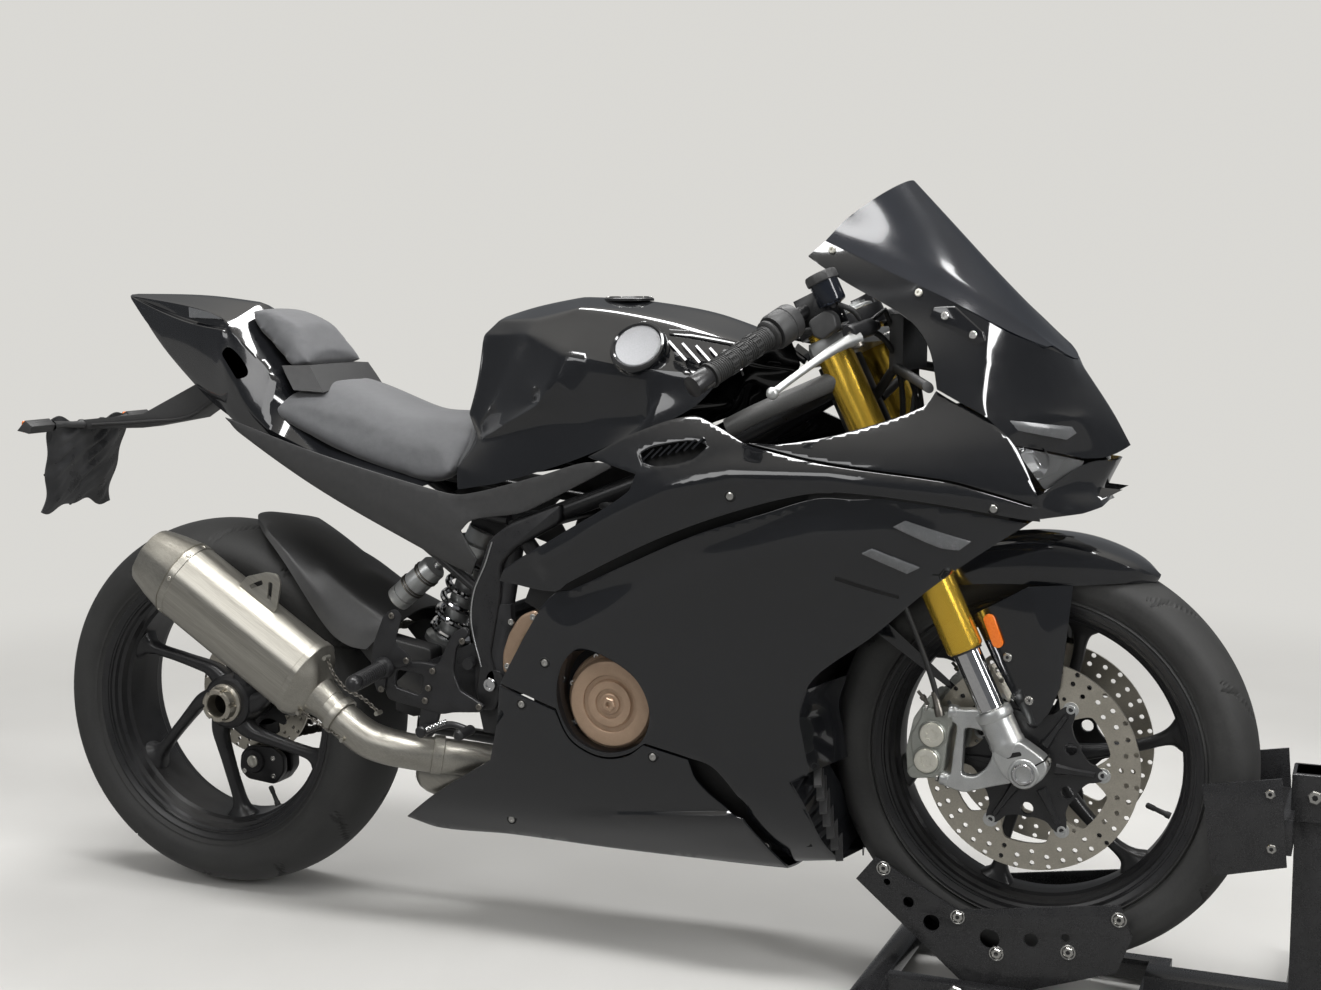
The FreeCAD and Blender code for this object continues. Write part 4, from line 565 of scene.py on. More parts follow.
def headTree():
    # A disc raised in steps of (lift, size), with a recess in its top.
    tree, given = growTree("screwHead", [("Radius", "Float", 0.006), ("Height", "Float", 0.004),
        ("Recess", "Float", 0.45), ("Sides", "Int", 18)])
    height = given["Height"]
    disc = addNode(tree, "GeometryNodeMeshCircle", {"Vertices": given["Sides"], "Radius": given["Radius"]},
        fill_type="NGON")
    shape = disc.outputs[0]
    top = {}
    for lift, size in ((0.8, 1.0), (0.2, 0.84), (0.0, given["Recess"]), (-0.55, 0.96)):
        inputs = {"Mesh": shape, "Offset Scale": scaledBy(tree, height, lift), "Individual": False, **top}
        raised = addNode(tree, "GeometryNodeExtrudeMesh", inputs, mode="FACES")
        top = {"Selection": raised.outputs["Top"]}
        shape = addNode(tree, "GeometryNodeScaleElements", {"Geometry": raised.outputs["Mesh"], "Scale": size,
            **top}).outputs[0]
    low = addNode(tree, "ShaderNodeCombineXYZ", {"Z": scaledBy(tree, height, -0.6)})
    sunk = addNode(tree, "GeometryNodeTransform", {"Geometry": shape, "Translation": low.outputs[0]})
    return placed(tree, given, sunk.outputs[0])


def barTree():
    tree, given = growTree("smallBar", [("Length", "Float", 0.02), ("Width", "Float", 0.004),
        ("Depth", "Float", 0.004)])
    size = addNode(tree, "ShaderNodeCombineXYZ", {"X": given["Length"], "Y": given["Width"], "Z": given["Depth"]})
    box = addNode(tree, "GeometryNodeMeshCube", {"Size": size.outputs[0]})
    return placed(tree, given, box.outputs[0])


def ringTree():
    tree, given = growTree("wireRing", [("Radius", "Float", 0.01), ("Wire", "Float", 0.002),
        ("Stretch", "Float", 1.0)])
    path = addNode(tree, "GeometryNodeCurvePrimitiveCircle", {"Resolution": 28, "Radius": given["Radius"]})
    wire = addNode(tree, "GeometryNodeCurvePrimitiveCircle", {"Resolution": 8, "Radius": given["Wire"]})
    scale = addNode(tree, "ShaderNodeCombineXYZ", {"X": given["Stretch"], "Y": 1.0, "Z": 1.0})
    wide = addNode(tree, "GeometryNodeTransform", {"Geometry": path.outputs[0], "Scale": scale.outputs[0]})
    hoop = addNode(tree, "GeometryNodeCurveToMesh", {"Curve": wide.outputs[0], "Profile Curve": wire.outputs[0]})
    return placed(tree, given, hoop.outputs[0])


def coilTree():
    tree, given = growTree("wireCoil", [("Radius", "Float", 0.03), ("Wire", "Float", 0.005), ("Height", "Float", 0.1),
        ("Turns", "Float", 6.0)])
    radius = given["Radius"]
    path = addNode(tree, "GeometryNodeCurveSpiral", {"Resolution": 28, "Rotations": given["Turns"],
        "Start Radius": radius, "End Radius": radius, "Height": given["Height"]})
    wire = addNode(tree, "GeometryNodeCurvePrimitiveCircle", {"Resolution": 10, "Radius": given["Wire"]})
    coil = addNode(tree, "GeometryNodeCurveToMesh", {"Curve": path.outputs[0], "Profile Curve": wire.outputs[0],
        "Fill Caps": True})
    return placed(tree, given, coil.outputs[0])


def linkTree():
    # Two long plates with a roller between them.
    tree, given = growTree("chainLink", [("Pitch", "Float", 0.0159), ("Rise", "Float", 0.0072),
        ("Half", "Float", 0.007), ("Plate", "Float", 0.0022)])
    joined = tree.nodes.new("GeometryNodeJoinGeometry")
    pitch, rise, half = given["Pitch"], given["Rise"], given["Half"]
    plate = addNode(tree, "GeometryNodeMeshCylinder", {"Vertices": 14, "Radius": rise, "Depth": given["Plate"]})
    roller = addNode(tree, "GeometryNodeMeshCylinder", {"Vertices": 10, "Radius": scaledBy(tree, rise, 0.62),
        "Depth": scaledBy(tree, half, 2.0)})
    longer = addNode(tree, "ShaderNodeMath", {0: scaledBy(tree, pitch, 0.5), 1: rise}, operation="ADD").outputs[0]
    wide = addNode(tree, "ShaderNodeMath", {0: longer, 1: rise}, operation="DIVIDE").outputs[0]
    for s in (-1, 1):
        at = addNode(tree, "ShaderNodeCombineXYZ", {"Z": scaledBy(tree, half, s)})
        scale = addNode(tree, "ShaderNodeCombineXYZ", {"X": wide, "Y": 1.0, "Z": 1.0})
        moved = addNode(tree, "GeometryNodeTransform", {"Geometry": plate.outputs[0], "Translation": at.outputs[0],
            "Scale": scale.outputs[0]})
        feed(tree, joined, {0: moved.outputs[0]})
    feed(tree, joined, {0: roller.outputs[0]})
    return placed(tree, given, joined.outputs[0])


trees = {"head": headTree(), "bar": barTree(), "ring": ringTree(), "coil": coilTree(), "link": linkTree()}


def grown(name, kind, spots, body, look, replaces=(), **sizes):
    # Spots are (place, facing, way) in millimetres; sizes are in metres, as the tree's inputs are.
    mesh = bpy.data.meshes.new(name + ".points")
    mesh.from_pydata([real(s[0]) for s in spots], [], [])
    for label, k in (("facing", 1), ("way", 2)):
        layer = mesh.attributes.new(label, "FLOAT_VECTOR", "POINT")
        values = []
        for s in spots:
            values += list(Vector(s[k]).normalized() if len(s) > k else Vector(s[1]).orthogonal().normalized())
        layer.data.foreach_set("vector", values)
    points = bpy.data.objects.new(name + ".points", mesh)
    grower = points.modifiers.new("Grow", "NODES")
    grower.node_group = trees[kind]
    for item in trees[kind].interface.items_tree:
        if item.in_out == "INPUT" and item.name in sizes:
            grower[item.identifier] = sizes[item.name]
        elif item.in_out == "INPUT" and item.name == "Finish":
            grower[item.identifier] = finishes[look]
    bpy.context.collection.objects.link(points)
    bpy.context.view_layer.update()
    made = bpy.data.meshes.new_from_object(points.evaluated_get(bpy.context.evaluated_depsgraph_get()))
    made.name = name
    bpy.data.objects.remove(points)
    bpy.data.meshes.remove(mesh)
    return settle(name, made, body, look, replaces, 30)


def screwHeads(name, spots, body, radius=7, look="screw"):
    return grown(name, "head", spots, body, look, Radius=radius / 1000, Height=radius * 0.6 / 1000)


print("geometry trees made:", len(trees))

# Side surface of the fairing: half widths at heights, one row for each station
skinHeights = (860, 800, 740, 660, 560, 460, 380, 300, 220, 150)
skinRows = {
    440: (150, 160, 166, 168, 168, 166, 162, 150, 128, 84),
    620: (165, 186, 196, 198, 194, 192, 188, 172, 142, 88),
    800: (186, 212, 228, 224, 210, 204, 198, 182, 148, 88),
    980: (200, 236, 252, 244, 218, 208, 200, 184, 148, 84),
    1134: (200, 240, 256, 244, 216, 204, 194, 174, 132, 70),
    1280: (190, 222, 236, 220, 200, 190, 180, 160, 120, 60),
    1420: (128, 150, 164, 150, 140, 130, 120, 110, 90, 50),
}
skinStations = sorted(skinRows)
skinDrops = [-z for z in skinHeights]


def skinWidth(x, z):
    return spline(skinStations, [spline(skinDrops, skinRows[k], -z) for k in skinStations], x)


# Fairing panels, drawn in side view
scoopLine = [(729, 580), (815, 620), (940, 676), (1043, 711), (1121, 736), (1170, 736), (1210, 738), (1297, 726),
    (1392, 706)]
frontLine = [(1331, 665), (1262, 612), (1187, 545), (1115, 491), (1092, 463), (1079, 423), (1082, 385), (1087, 338),
    (1060, 321), (1077, 281), (1091, 215), (1104, 182)]
flareLine = [(1240, 612), (1150, 556), (1035, 487), (1003, 400), (990, 303)]
coverWindow = [(751, 497), (788, 489), (831, 466), (852, 438), (859, 403), (844, 367), (820, 344), (785, 335),
    (753, 341), (725, 360), (708, 392), (706, 429), (715, 464), (731, 487)]
bandRidge = [(700, 622), (800, 680), (900, 738), (1000, 765), (1140, 768), (1300, 748), (1385, 728)]
bandForm = {"out": 3, "ridge": 5, "ridgeReach": 34, "below": 3, "belowReach": 30}
mainForm = {"scoop": 12, "scoopReach": 60, "flare": 0.20, "flareTop": 640}
bellyForm = {"start": 683, "length": 290, "low": 227, "rise": 38, "out": 9, "edge": 5, "reach": 55}


def bandWidth(x, z):
    d, sign = lineDistance(x, z, bandRidge)
    w = skinWidth(x, z) + bandForm["out"] + bandForm["ridge"] * (1 - smoothStep(d / bandForm["ridgeReach"]))
    return w - (bandForm["below"] if sign < 0 else 0) * smoothStep(d / bandForm["belowReach"])


def mainWidth(x, z):
    d = lineDistance(x, z, scoopLine)[0]
    w = skinWidth(x, z) - mainForm["scoop"] * (1 - smoothStep(d / mainForm["scoopReach"]))
    d, sign = lineDistance(x, z, flareLine)
    return w - mainForm["flare"] * d if sign > 0 and z < mainForm["flareTop"] else w


def bellyWidth(x, z):
    t = min(max((x - bellyForm["start"]) / bellyForm["length"], 0), 1)
    above = bellyForm["low"] + t * bellyForm["rise"] - z
    edge = bellyForm["edge"]
    if above <= -edge:
        return skinWidth(x, z)
    return skinWidth(x, z) + bellyForm["out"] * t * smoothStep((above + edge) / edge) * (1 -
        smoothStep(above / bellyForm["reach"]))


bandLow = [(1146, 746), (1114, 744), (1048, 728), (960, 699), (865, 660), (737, 596), (709, 578)]
bandRing = [(615, 587), (627, 607), (719, 661), (840, 732), (852, 758), (770, 778), (852, 818), (927, 840),
    (964, 830), (1018, 805), (1043, 799), (1128, 783), (1291, 763), (1345, 747), (1403, 726), (1404, 708),
    (1392, 710), (1297, 731), (1210, 743)] + bandLow
ventRing = [(855, 786), (872, 796), (928, 807), (952, 805), (963, 800), (936, 780), (884, 770), (862, 774)]
lampSideRing = [(1018, 806), (1072, 807), (1154, 824), (1250, 858), (1265, 879), (1361, 819), (1398, 748),
    (1403, 728), (1345, 749), (1291, 765), (1128, 785), (1043, 801)]
mainRing = scoopLine[:-1] + [(1388, 704)] + frontLine + [
    (1037, 174), (994, 263), (996, 281), (953, 336), (916, 348), (848, 363), (820, 344), (785, 335), (753, 341), (725,
        360), (706, 402),
    (610, 431), (684, 551), (709, 576)]
mainHole = [(751, 497), (788, 489), (831, 466), (852, 438), (859, 403), (846, 368), (822, 350), (785, 341),
    (753, 347), (728, 364), (711, 398), (707, 429), (715, 464), (731, 487)]
bellyTop = [(609, 428), (704, 398), (724, 357), (753, 338), (785, 332), (820, 341), (845, 360), (914, 345),
    (926, 312), (970, 271), (992, 261), (1034, 172), (952, 171), (763, 169)]
bellyRear = {"right": [(585, 170), (449, 162), (392, 176), (476, 239), (581, 305), (602, 373)],
    "left": [(640, 170), (604, 300), (600, 372)]}
bellyFolds = ([(683, 227), (966, 265)], [(683, 232), (966, 270)])
sideSheet("fairingMain", mainRing, mainWidth, "root", "gloss_black", lines=(flareLine,), holes=(mainHole,),
    replaces=("fairing_right", "fairing_left"))
sideSheet("fairingBand", bandRing, bandWidth, "root", "gloss_black", holes=(ventRing,), lines=(bandRidge,), step=6)
sideSheet("lampSidePanel", lampSideRing, lambda x, z: skinWidth(x, z) - 2, "root", "gloss_black", step=5)
sideSheet("bellySide", bellyTop + bellyRear["right"], bellyWidth, "root", "gloss_black", lines=bellyFolds,
    replaces=("belly_pan",), sides=(-1,))
sideSheet("bellySideLeft", bellyTop + bellyRear["left"], bellyWidth, "root", "gloss_black", lines=bellyFolds,
    sides=(1,))
lip("windowLip", mainHole, mainWidth, 30, "root", "gloss_black", closed=True, shrink=0.93)
lip("bandLip", bandLow[::-1], bandWidth, 26, "root", "gloss_black", drift=(2, 6))
lip("ventLip", ventRing, bandWidth, 16, "root", "gloss_black", closed=True)
print("fairing panels made")


def cage(name, points, faces, body, look, replaces=(), levels=3, crease=26, weight=0.9, wall=0):
    # Half a panel as named points and faces, mirrored, with sharp folds kept and the rest rounded.
    bm = bmesh.new()
    made = {}
    for s in (1, -1):
        for i, (x, y, z) in enumerate(points):
            made[i, s] = made[i, 1] if s < 0 and abs(y) < 0.5 else bm.verts.new(real((x, y * s, z)))
        for f in faces:
            ring = [made[i, s] for i in f]
            bm.faces.new(ring if s > 0 else ring[::-1])
    loose = [v for v in bm.verts if not v.link_faces]
    bmesh.ops.delete(bm, geom=loose, context="VERTS")
    bmesh.ops.recalc_face_normals(bm, faces=bm.faces)
    bm.normal_update()
    creases = bm.edges.layers.float.new("crease_edge")
    for e in bm.edges:
        if len(e.link_faces) < 2 or e.calc_face_angle(0) > math.radians(crease):
            e[creases] = weight
    mesh = bpy.data.meshes.new(name)
    bm.to_mesh(mesh)
    bm.free()
    thing = settle(name, mesh, body, look, replaces, tidy=False)
    smoother = thing.modifiers.new("Round", "SUBSURF")
    smoother.levels = smoother.render_levels = levels
    smoother.boundary_smooth = "PRESERVE_CORNERS"
    if wall:
        addWall(thing, wall)
    return baked(thing, 30)


# Fuel tank: centre line, knee recess, flank and skirt on one side
tankPoints = [
    (510, 0, 952), (530, 0, 974), (585, 0, 992), (665, 0, 1005), (750, 0, 1003), (850, 0, 989), (905, 0, 977), (962,
        0, 955),
    (500, 0, 890), (488, 0, 825), (484, 0, 740),
    (521, -62, 945), (596, -95, 947), (627, -118, 947), (704, -160, 924), (697, -168, 890), (663, -162, 846), (603,
        -141, 818),
    (544, -118, 787), (504, -80, 825), (515, -68, 876),
    (632, -96, 971), (702, -95, 988), (738, -98, 987), (809, -100, 976), (878, -105, 963), (965, -112, 938),
    (774, -172, 911), (834, -182, 904), (903, -184, 898), (960, -178, 896), (548, -55, 970),
    (576, -90, 907), (593, -102, 890), (650, -142, 852), (553, -88, 859), (532, -94, 805),
    (669, -150, 824), (750, -164, 823), (843, -180, 827), (613, -136, 803),
    (512, -138, 745), (514, -142, 713), (588, -150, 726), (670, -158, 749), (739, -173, 771), (812, -187, 802), (862,
        -196, 820),
    (866, -188, 869), (930, -188, 850),
]
tankFaces = [
    (0, 1, 31, 11), (1, 2, 21, 31), (2, 3, 22, 21), (3, 4, 23, 22), (4, 5, 24, 23), (5, 6, 25, 24), (6, 7, 26, 25),
    (11, 31, 12), (31, 21, 13, 12), (21, 22, 23, 14, 13), (23, 24, 27, 14), (24, 25, 28, 27), (25, 29, 28), (25, 26,
        30, 29),
    (11, 32, 35, 20), (11, 12, 32), (12, 13, 33, 32), (13, 14, 15, 33), (33, 15, 16, 34), (32, 33, 36, 35), (33, 34,
        17, 36),
    (36, 17, 18), (20, 35, 36, 19), (19, 36, 18), (34, 16, 17), (0, 11, 20, 8), (8, 20, 19, 9), (9, 19, 18, 41), (10,
        9, 41, 42),
    (14, 27, 38, 15), (15, 38, 37, 16), (16, 37, 40, 17), (17, 40, 18), (27, 28, 39, 38), (28, 29, 48, 39), (18, 40,
        43, 41),
    (41, 43, 42), (40, 37, 44, 43), (37, 38, 45, 44), (38, 39, 46, 45), (39, 48, 47, 46), (29, 30, 49, 48), (48, 49,
        47),
]
cage("tankShell", tankPoints, tankFaces, "root", "gloss_black", replaces=("fuel_tank",), levels=3, crease=13,
    weight=0.97)
print("tank made")

# Nose side from the screen's lower edge to the brow over the lamps
nosePoints = [
    (1096, -137, 1080), (1190, -151, 1037), (1251, -156, 1011), (1322, -151, 973), (1350, -136, 954), (1394, -91,
        935),
    (1418, -31, 918), (1421, 0, 916),
    (1078, -156, 1060), (1130, -158, 1022), (1209, -164, 985), (1240, -173, 960), (1257, -181, 933), (1264, -187,
        903),
    (1268, -191, 882),
    (1325, -166, 915), (1385, -112, 892), (1430, -48, 884), (1450, 0, 876),
    (1320, -178, 874), (1392, -117, 855), (1446, -55, 845), (1477, 0, 836),
    (1334, -182, 845), (1357, -167, 818), (1436, -78, 836),
    (1359, -158, 808), (1394, -113, 799), (1442, -67, 785), (1471, -31, 782), (1496, 0, 800),
]
noseFaces = [
    (8, 0, 1, 9), (9, 1, 2, 10), (10, 2, 3, 11), (11, 3, 15, 12), (3, 4, 15), (4, 5, 16, 15), (5, 6, 17, 16), (6, 7,
        18, 17),
    (12, 15, 19, 13), (15, 16, 20, 19), (16, 17, 21, 20), (17, 18, 22, 21), (13, 19, 23, 14), (19, 20, 24, 23),
    (20, 25, 27, 26, 24), (20, 21, 25), (21, 22, 30, 29, 25), (25, 29, 28, 27),
]
cage("noseShell", nosePoints, noseFaces, "root", "gloss_black", replaces=("nose_fairing",), levels=3, crease=20,
    weight=0.97, wall=3.5)
beakPoints = [(1442, -67, 783), (1481, -27, 780), (1467, -30, 753), (1463, -35, 743), (1452, -60, 739),
    (1418, -100, 745), (1400, -128, 741), (1484, 0, 782), (1470, 0, 752), (1464, 0, 742), (1468, -60, 718),
    (1448, -90, 711), (1397, -132, 706), (1384, -152, 735), (1470, 0, 722), (1400, 0, 712)]
beakFaces = [(0, 1, 2, 3, 4, 5), (0, 5, 6), (1, 7, 8, 2), (2, 8, 9, 3), (3, 9, 14, 10, 4), (4, 10, 11, 5),
    (5, 11, 12, 6), (6, 12, 13), (10, 14, 15, 11), (11, 15, 12)]
cage("beak", beakPoints, beakFaces, "root", "gloss_black", levels=2, crease=10, weight=0.95, wall=3)
finPoints = [(1452, -35, 743), (1490, -30, 740), (1466, -45, 729), (1448, -62, 738), (1448, -40, 734),
    (1460, -50, 724)]
for s, word in mirrored:
    points = [(x, y * s, z) for x, y, z in finPoints]
    meshPiece("beakFin." + word, points, [(0, 1, 2, 3), (0, 4, 1), (1, 4, 5), (1, 5, 2), (2, 5, 3), (0, 3, 4),
        (3, 5, 4)], "root", "gloss_black")

# Screen: rows from its top edge to its base, each centre point, ridge and flange edge
screenRows = [
    ((1186, 1170), (1114, 110, 1109), (1096, 135, 1081)),
    ((1238, 1114), (1170, 115, 1082), (1160, 147, 1051)),
    ((1288, 1058), (1219, 118, 1060), (1215, 153, 1026)),
    ((1338, 1004), (1270, 118, 1033), (1270, 155, 1002)),
    ((1380, 959), (1322, 110, 1001), (1322, 151, 974)),
    ((1402, 934), (1368, 88, 962), (1360, 126, 952)),
    ((1421, 917), (1398, 68, 938), (1394, 91, 936)),
]
screenSteps = ((0.0, 0.0), (0.10, 0.3), (0.30, 0.58), (0.60, 0.83))
verts = []
for (cx, cz), (rx, ry, rz), (fx, fy, fz) in screenRows:
    row = [(cx + (rx - cx) * a, -ry * b, cz + (rz - cz) * a) for a, b in screenSteps]
    row += [(rx, -ry, rz), (rx + (fx - rx) * 0.5, -(ry + (fy - ry) * 0.40), rz + (fz - rz) * 0.5), (fx, -fy, fz)]
    verts += row
cage("screenShell", verts, gridFaces(len(screenRows), len(screenSteps) + 3), "root", "smoked",
    replaces=("windscreen",), levels=2, crease=40, weight=0.5, wall=3)

# Lamps under the brow: a clear lens with a bright bowl behind it, and the bar above
lensRing = [(1361, -148, 806), (1442, -66, 781), (1432, -76, 762), (1399, -110, 745), (1396, -117, 749)]
for s, word in mirrored:
    front = [(x, y * s, z) for x, y, z in lensRing]
    rear = [(x - 26, y * 0.92 * s, z + 2) for x, y, z in lensRing]
    lens = meshPiece("lampLens." + word, front, [tuple(range(5))], "root", "lamp",
        replaces=onRight("headlights", word))
    addWall(lens, 2, 0)
    baked(lens)
    # The housing behind the lens is near-black painted shade
    meshPiece("lampHousing." + word, front + rear, bandFaces(2, 5) + [(5, 6, 7, 8, 9)], "root", "painted_shade")
    bowlVerts = []
    centre, outward = Vector((1378, -122 * s, 782)), Vector((0.72, -0.66 * s, -0.2)).normalized()
    one = outward.cross(Vector((0, 0, 1))).normalized()
    two = one.cross(outward)
    for r, h in [(6, -14), (13, -12), (20, -5), (24, 4), (25, 9)]:
        for angle in anglesOf(24):
            bowlVerts.append(tuple(centre + outward * h + (one * math.cos(angle) * 1.1 + two * math.sin(angle)) * r))
    meshPiece("lampBowl." + word, bowlVerts, bandFaces(5, 24) + [tuple(range(24))], "root", "bright_steel")
    barRing = [(1346, -163 * s, 842), (1356, -158 * s, 829), (1424, -104 * s, 812), (1436, -96 * s, 821),
        (1430, -100 * s, 830)]
    bar = meshPiece("lightBar." + word, barRing, [tuple(range(5))], "root", "ridge")
    addWall(bar, 5, 0)
    addBevel(bar, 1.2, 2)
    baked(bar)
print("nose and screen made")

# Tail shell
tailPoints = [(-200, 0, 1012), (-60, 0, 1012), (10, 0, 1006), (76, 0, 998), (-197, -8, 1009), (-27, -62, 992),
    (56, -90, 975), (78, -101, 960), (-114, -31, 986), (-12, -70, 964), (66, -95, 956), (-140, -34, 960),
    (-11, -82, 926), (54, -107, 914), (-94, -48, 917), (-21, -70, 862), (31, -90, 830), (74, -108, 813),
    (78, -117, 886), (117, -128, 839), (167, -136, 798), (260, -141, 761), (449, -151, 713), (155, -120, 754),
    (274, -130, 697), (345, -132, 672), (88, -103, 943), (147, -108, 905), (178, -117, 874), (139, -118, 880),
    (106, -124, 874), (70, -113, 914), (77, -104, 936), (-135, 0, 952), (-94, 0, 905), (-21, 0, 848), (31, 0, 816),
    (74, 0, 800), (155, 0, 745), (274, 0, 700), (-114, -40, 984), (-12, -81, 960), (66, -103, 953), (160, 0, 912),
    (200, 0, 855), (300, 0, 790), (480, 0, 735)]
tailFaces = [(0, 1, 5, 4), (1, 2, 6, 5), (2, 3, 7, 6), (4, 5, 9, 8), (5, 6, 7, 10, 9), (8, 9, 41, 40),
    (9, 10, 42, 41), (4, 8, 40), (4, 40, 11), (40, 41, 12, 11), (41, 42, 13, 12), (42, 32, 31, 13),
    (10, 7, 26, 32, 42), (11, 12, 15, 14), (12, 13, 16, 15), (13, 31, 18, 17, 16), (31, 30, 19, 18), (17, 18, 19),
    (17, 19, 20, 23), (23, 20, 21, 24), (24, 21, 22, 25), (26, 27, 29, 32), (27, 28, 29), (30, 29, 28, 20, 19),
    (3, 43, 27, 26, 7), (43, 44, 28, 27), (44, 45, 21, 20, 28), (45, 46, 22, 21), (0, 4, 11, 33), (11, 14, 34, 33),
    (14, 15, 35, 34), (15, 16, 36, 35), (16, 17, 37, 36), (17, 23, 38, 37), (23, 24, 39, 38)]
cage("tailShell", tailPoints, tailFaces, "root", "gloss_black", replaces=("tail_cowl",), levels=3, crease=13,
    weight=0.96)
slitRing = [(-27, -65, 989), (26, -83, 981), (60, -94, 970), (-19, -75, 972)]
for s, word in mirrored:
    piece = meshPiece("tailLens." + word, [(x, y * s, z) for x, y, z in slitRing], [(0, 1, 2, 3)], "root", "ridge")
    addWall(piece, 3, 0)
    baked(piece)
print("tail made")

# Pads: for each line across the rider's pad, its places from the rear to the front
seatLines = [
    (0, [(240, 868), (282, 858), (335, 836), (377, 818), (417, 814), (468, 817), (512, 812)]),
    (38, [(236, 866), (282, 857), (335, 836), (377, 818), (417, 813), (468, 814), (512, 806)]),
    (76, [(204, 860), (262, 846), (320, 829), (377, 810), (420, 803), (468, 800), (511, 786)]),
    (108, [(162, 846), (230, 826), (300, 801), (360, 784), (415, 771), (462, 760), (506, 752)]),
    (126, [(157, 834), (226, 806), (300, 775), (360, 755), (415, 741), (462, 732), (500, 738)]),
    (122, [(160, 822), (228, 792), (300, 760), (360, 740), (415, 727), (462, 720), (497, 728)]),
    (60, [(190, 812), (240, 790), (300, 762), (360, 744), (415, 736), (462, 732), (497, 736)]),
    (0, [(232, 812), (250, 800), (300, 770), (360, 752), (415, 744), (462, 740), (497, 742)]),
]
seatVerts = [(x, -y, z) for y, line in seatLines for x, z in line]
seatFaces = gridFaces(8, 7) + [tuple(range(0, 56, 7)), tuple(range(55, 0, -7))]
seatPad = cage("seatPad", seatVerts, seatFaces, "root", "seat_cover", replaces=("seat",), levels=3, crease=55,
    weight=0.35)
padVerts = [(82, -66, 988), (80, 0, 996), (135, -58, 980), (135, 0, 984), (178, -60, 958), (178, 0, 966),
    (222, -86, 898), (224, 0, 902), (104, -75, 958), (171, -92, 900), (186, -94, 889), (80, 0, 960), (186, 0, 880)]
padFaces = [(0, 1, 3, 2), (2, 3, 5, 4), (4, 5, 7, 6), (0, 2, 8), (2, 4, 9, 8), (4, 6, 10, 9), (0, 8, 11, 1),
    (8, 9, 10, 12, 11), (6, 7, 12, 10)]
tailPad = cage("tailPadCover", padVerts, padFaces, "root", "seat_cover", replaces=("tail_pad",), levels=3, crease=25,
    weight=0.6)
cage("padShelf", [(172, -96, 897), (222, -90, 897), (250, -95, 854), (203, -108, 858), (222, 0, 899), (252, 0, 862),
    (172, 0, 890)], [(0, 1, 2, 3), (1, 4, 5, 2), (0, 6, 4, 1)], "root", "matte_black", levels=1, wall=4)


def puffed(thing, inset, cap, voxel=6, pressure=4.0, frames=20):
    # Swells a pad from a smaller copy of itself; millimetres.
    mesh = thing.data.copy()
    for v, normal in zip(mesh.vertices, [v.normal.copy() for v in mesh.vertices]):
        v.co -= normal * inset / 1000
    pad = bpy.data.objects.new("padRun", mesh)
    bpy.context.collection.objects.link(pad)
    even = pad.modifiers.new("Even", "REMESH")
    even.mode = "VOXEL"
    even.voxel_size = voxel / 1000
    baked(pad)
    rest = [v.co.copy() for v in pad.data.vertices]
    cloth = pad.modifiers.new("Cloth", "CLOTH")
    cloth.settings.use_pressure = True
    cloth.settings.uniform_pressure_force = pressure
    cloth.settings.effector_weights.gravity = 0
    cloth.point_cache.frame_start, cloth.point_cache.frame_end = 1, frames
    scene = bpy.context.scene
    for f in range(1, frames + 1):
        scene.frame_set(f)
    baked(pad)
    scene.frame_set(1)
    for v, start in zip(pad.data.vertices, rest):
        move = v.co - start
        if move.length > cap / 1000:
            v.co = start + move.normalized() * cap / 1000
    calm = pad.modifiers.new("Calm", "SMOOTH")
    calm.factor, calm.iterations = 0.5, 6
    finer = pad.modifiers.new("Round", "SUBSURF")
    finer.levels = finer.render_levels = 1
    baked(pad, 60)
    pad.data.materials.clear()
    pad.data.materials.append(finishes["seat_cover"])
    old = thing.data
    thing.data = pad.data
    bpy.data.objects.remove(pad)
    bpy.data.meshes.remove(old)
    print("padded", thing.name, len(thing.data.vertices))


puffed(seatPad, 4, 6)
puffed(tailPad, 3, 4)

# Satin panel under the seat
sideRows = ([60, 300, 450, 560, 670, 790], [141, 146, 150, 160, 170, 181])
sideRing = [(95, 814), (270, 762), (492, 711), (538, 709), (667, 742), (744, 765), (784, 766), (790, 760), (772, 750),
    (673, 701), (634, 685), (550, 670), (530, 653), (558, 610), (546, 586), (476, 611), (273, 702), (123, 789)]
sideFold = [(120, 800), (300, 730), (480, 660), (540, 630)]
satinForm = {"out": 3, "fall": 7, "fallReach": 60, "back": 4, "backReach": 40}


def satinWidth(x, z):
    d, sign = lineDistance(x, z, sideFold)
    w = spline(*sideRows, x) + satinForm["out"] - satinForm["fall"] * smoothStep(d / satinForm["fallReach"])
    return w + (satinForm["back"] if sign > 0 else 0) * smoothStep(d / satinForm["backReach"])


sideSheet("seatSidePanel", sideRing, satinWidth, "root", "matte_black", lines=(sideFold,), replaces=("side_panels",),
    wall=4, bevel=1.2)
print("seats and side panels made")


def lathe(name, profile, centre, body, look, replaces=(), segments=128, smooth=32, displace=None):
    # A closed profile of (radius, y) pairs turned about an axle along Y.
    cx, cz = centre
    verts, faces = [], []
    count = len(profile)
    for k in range(segments):
        a = 2 * math.pi * k / segments
        for r, y in profile:
            d = displace(k / segments, r, y) if displace else 0
            verts.append((cx + (r - d) * math.cos(a), y, cz + (r - d) * math.sin(a)))
    for k in range(segments):
        a, b = k * count, (k + 1) % segments * count
        for i in range(count):
            j = (i + 1) % count
            faces.append((a + i, a + j, b + j, b + i))
    return meshPiece(name, verts, faces, body, look, replaces, smooth)


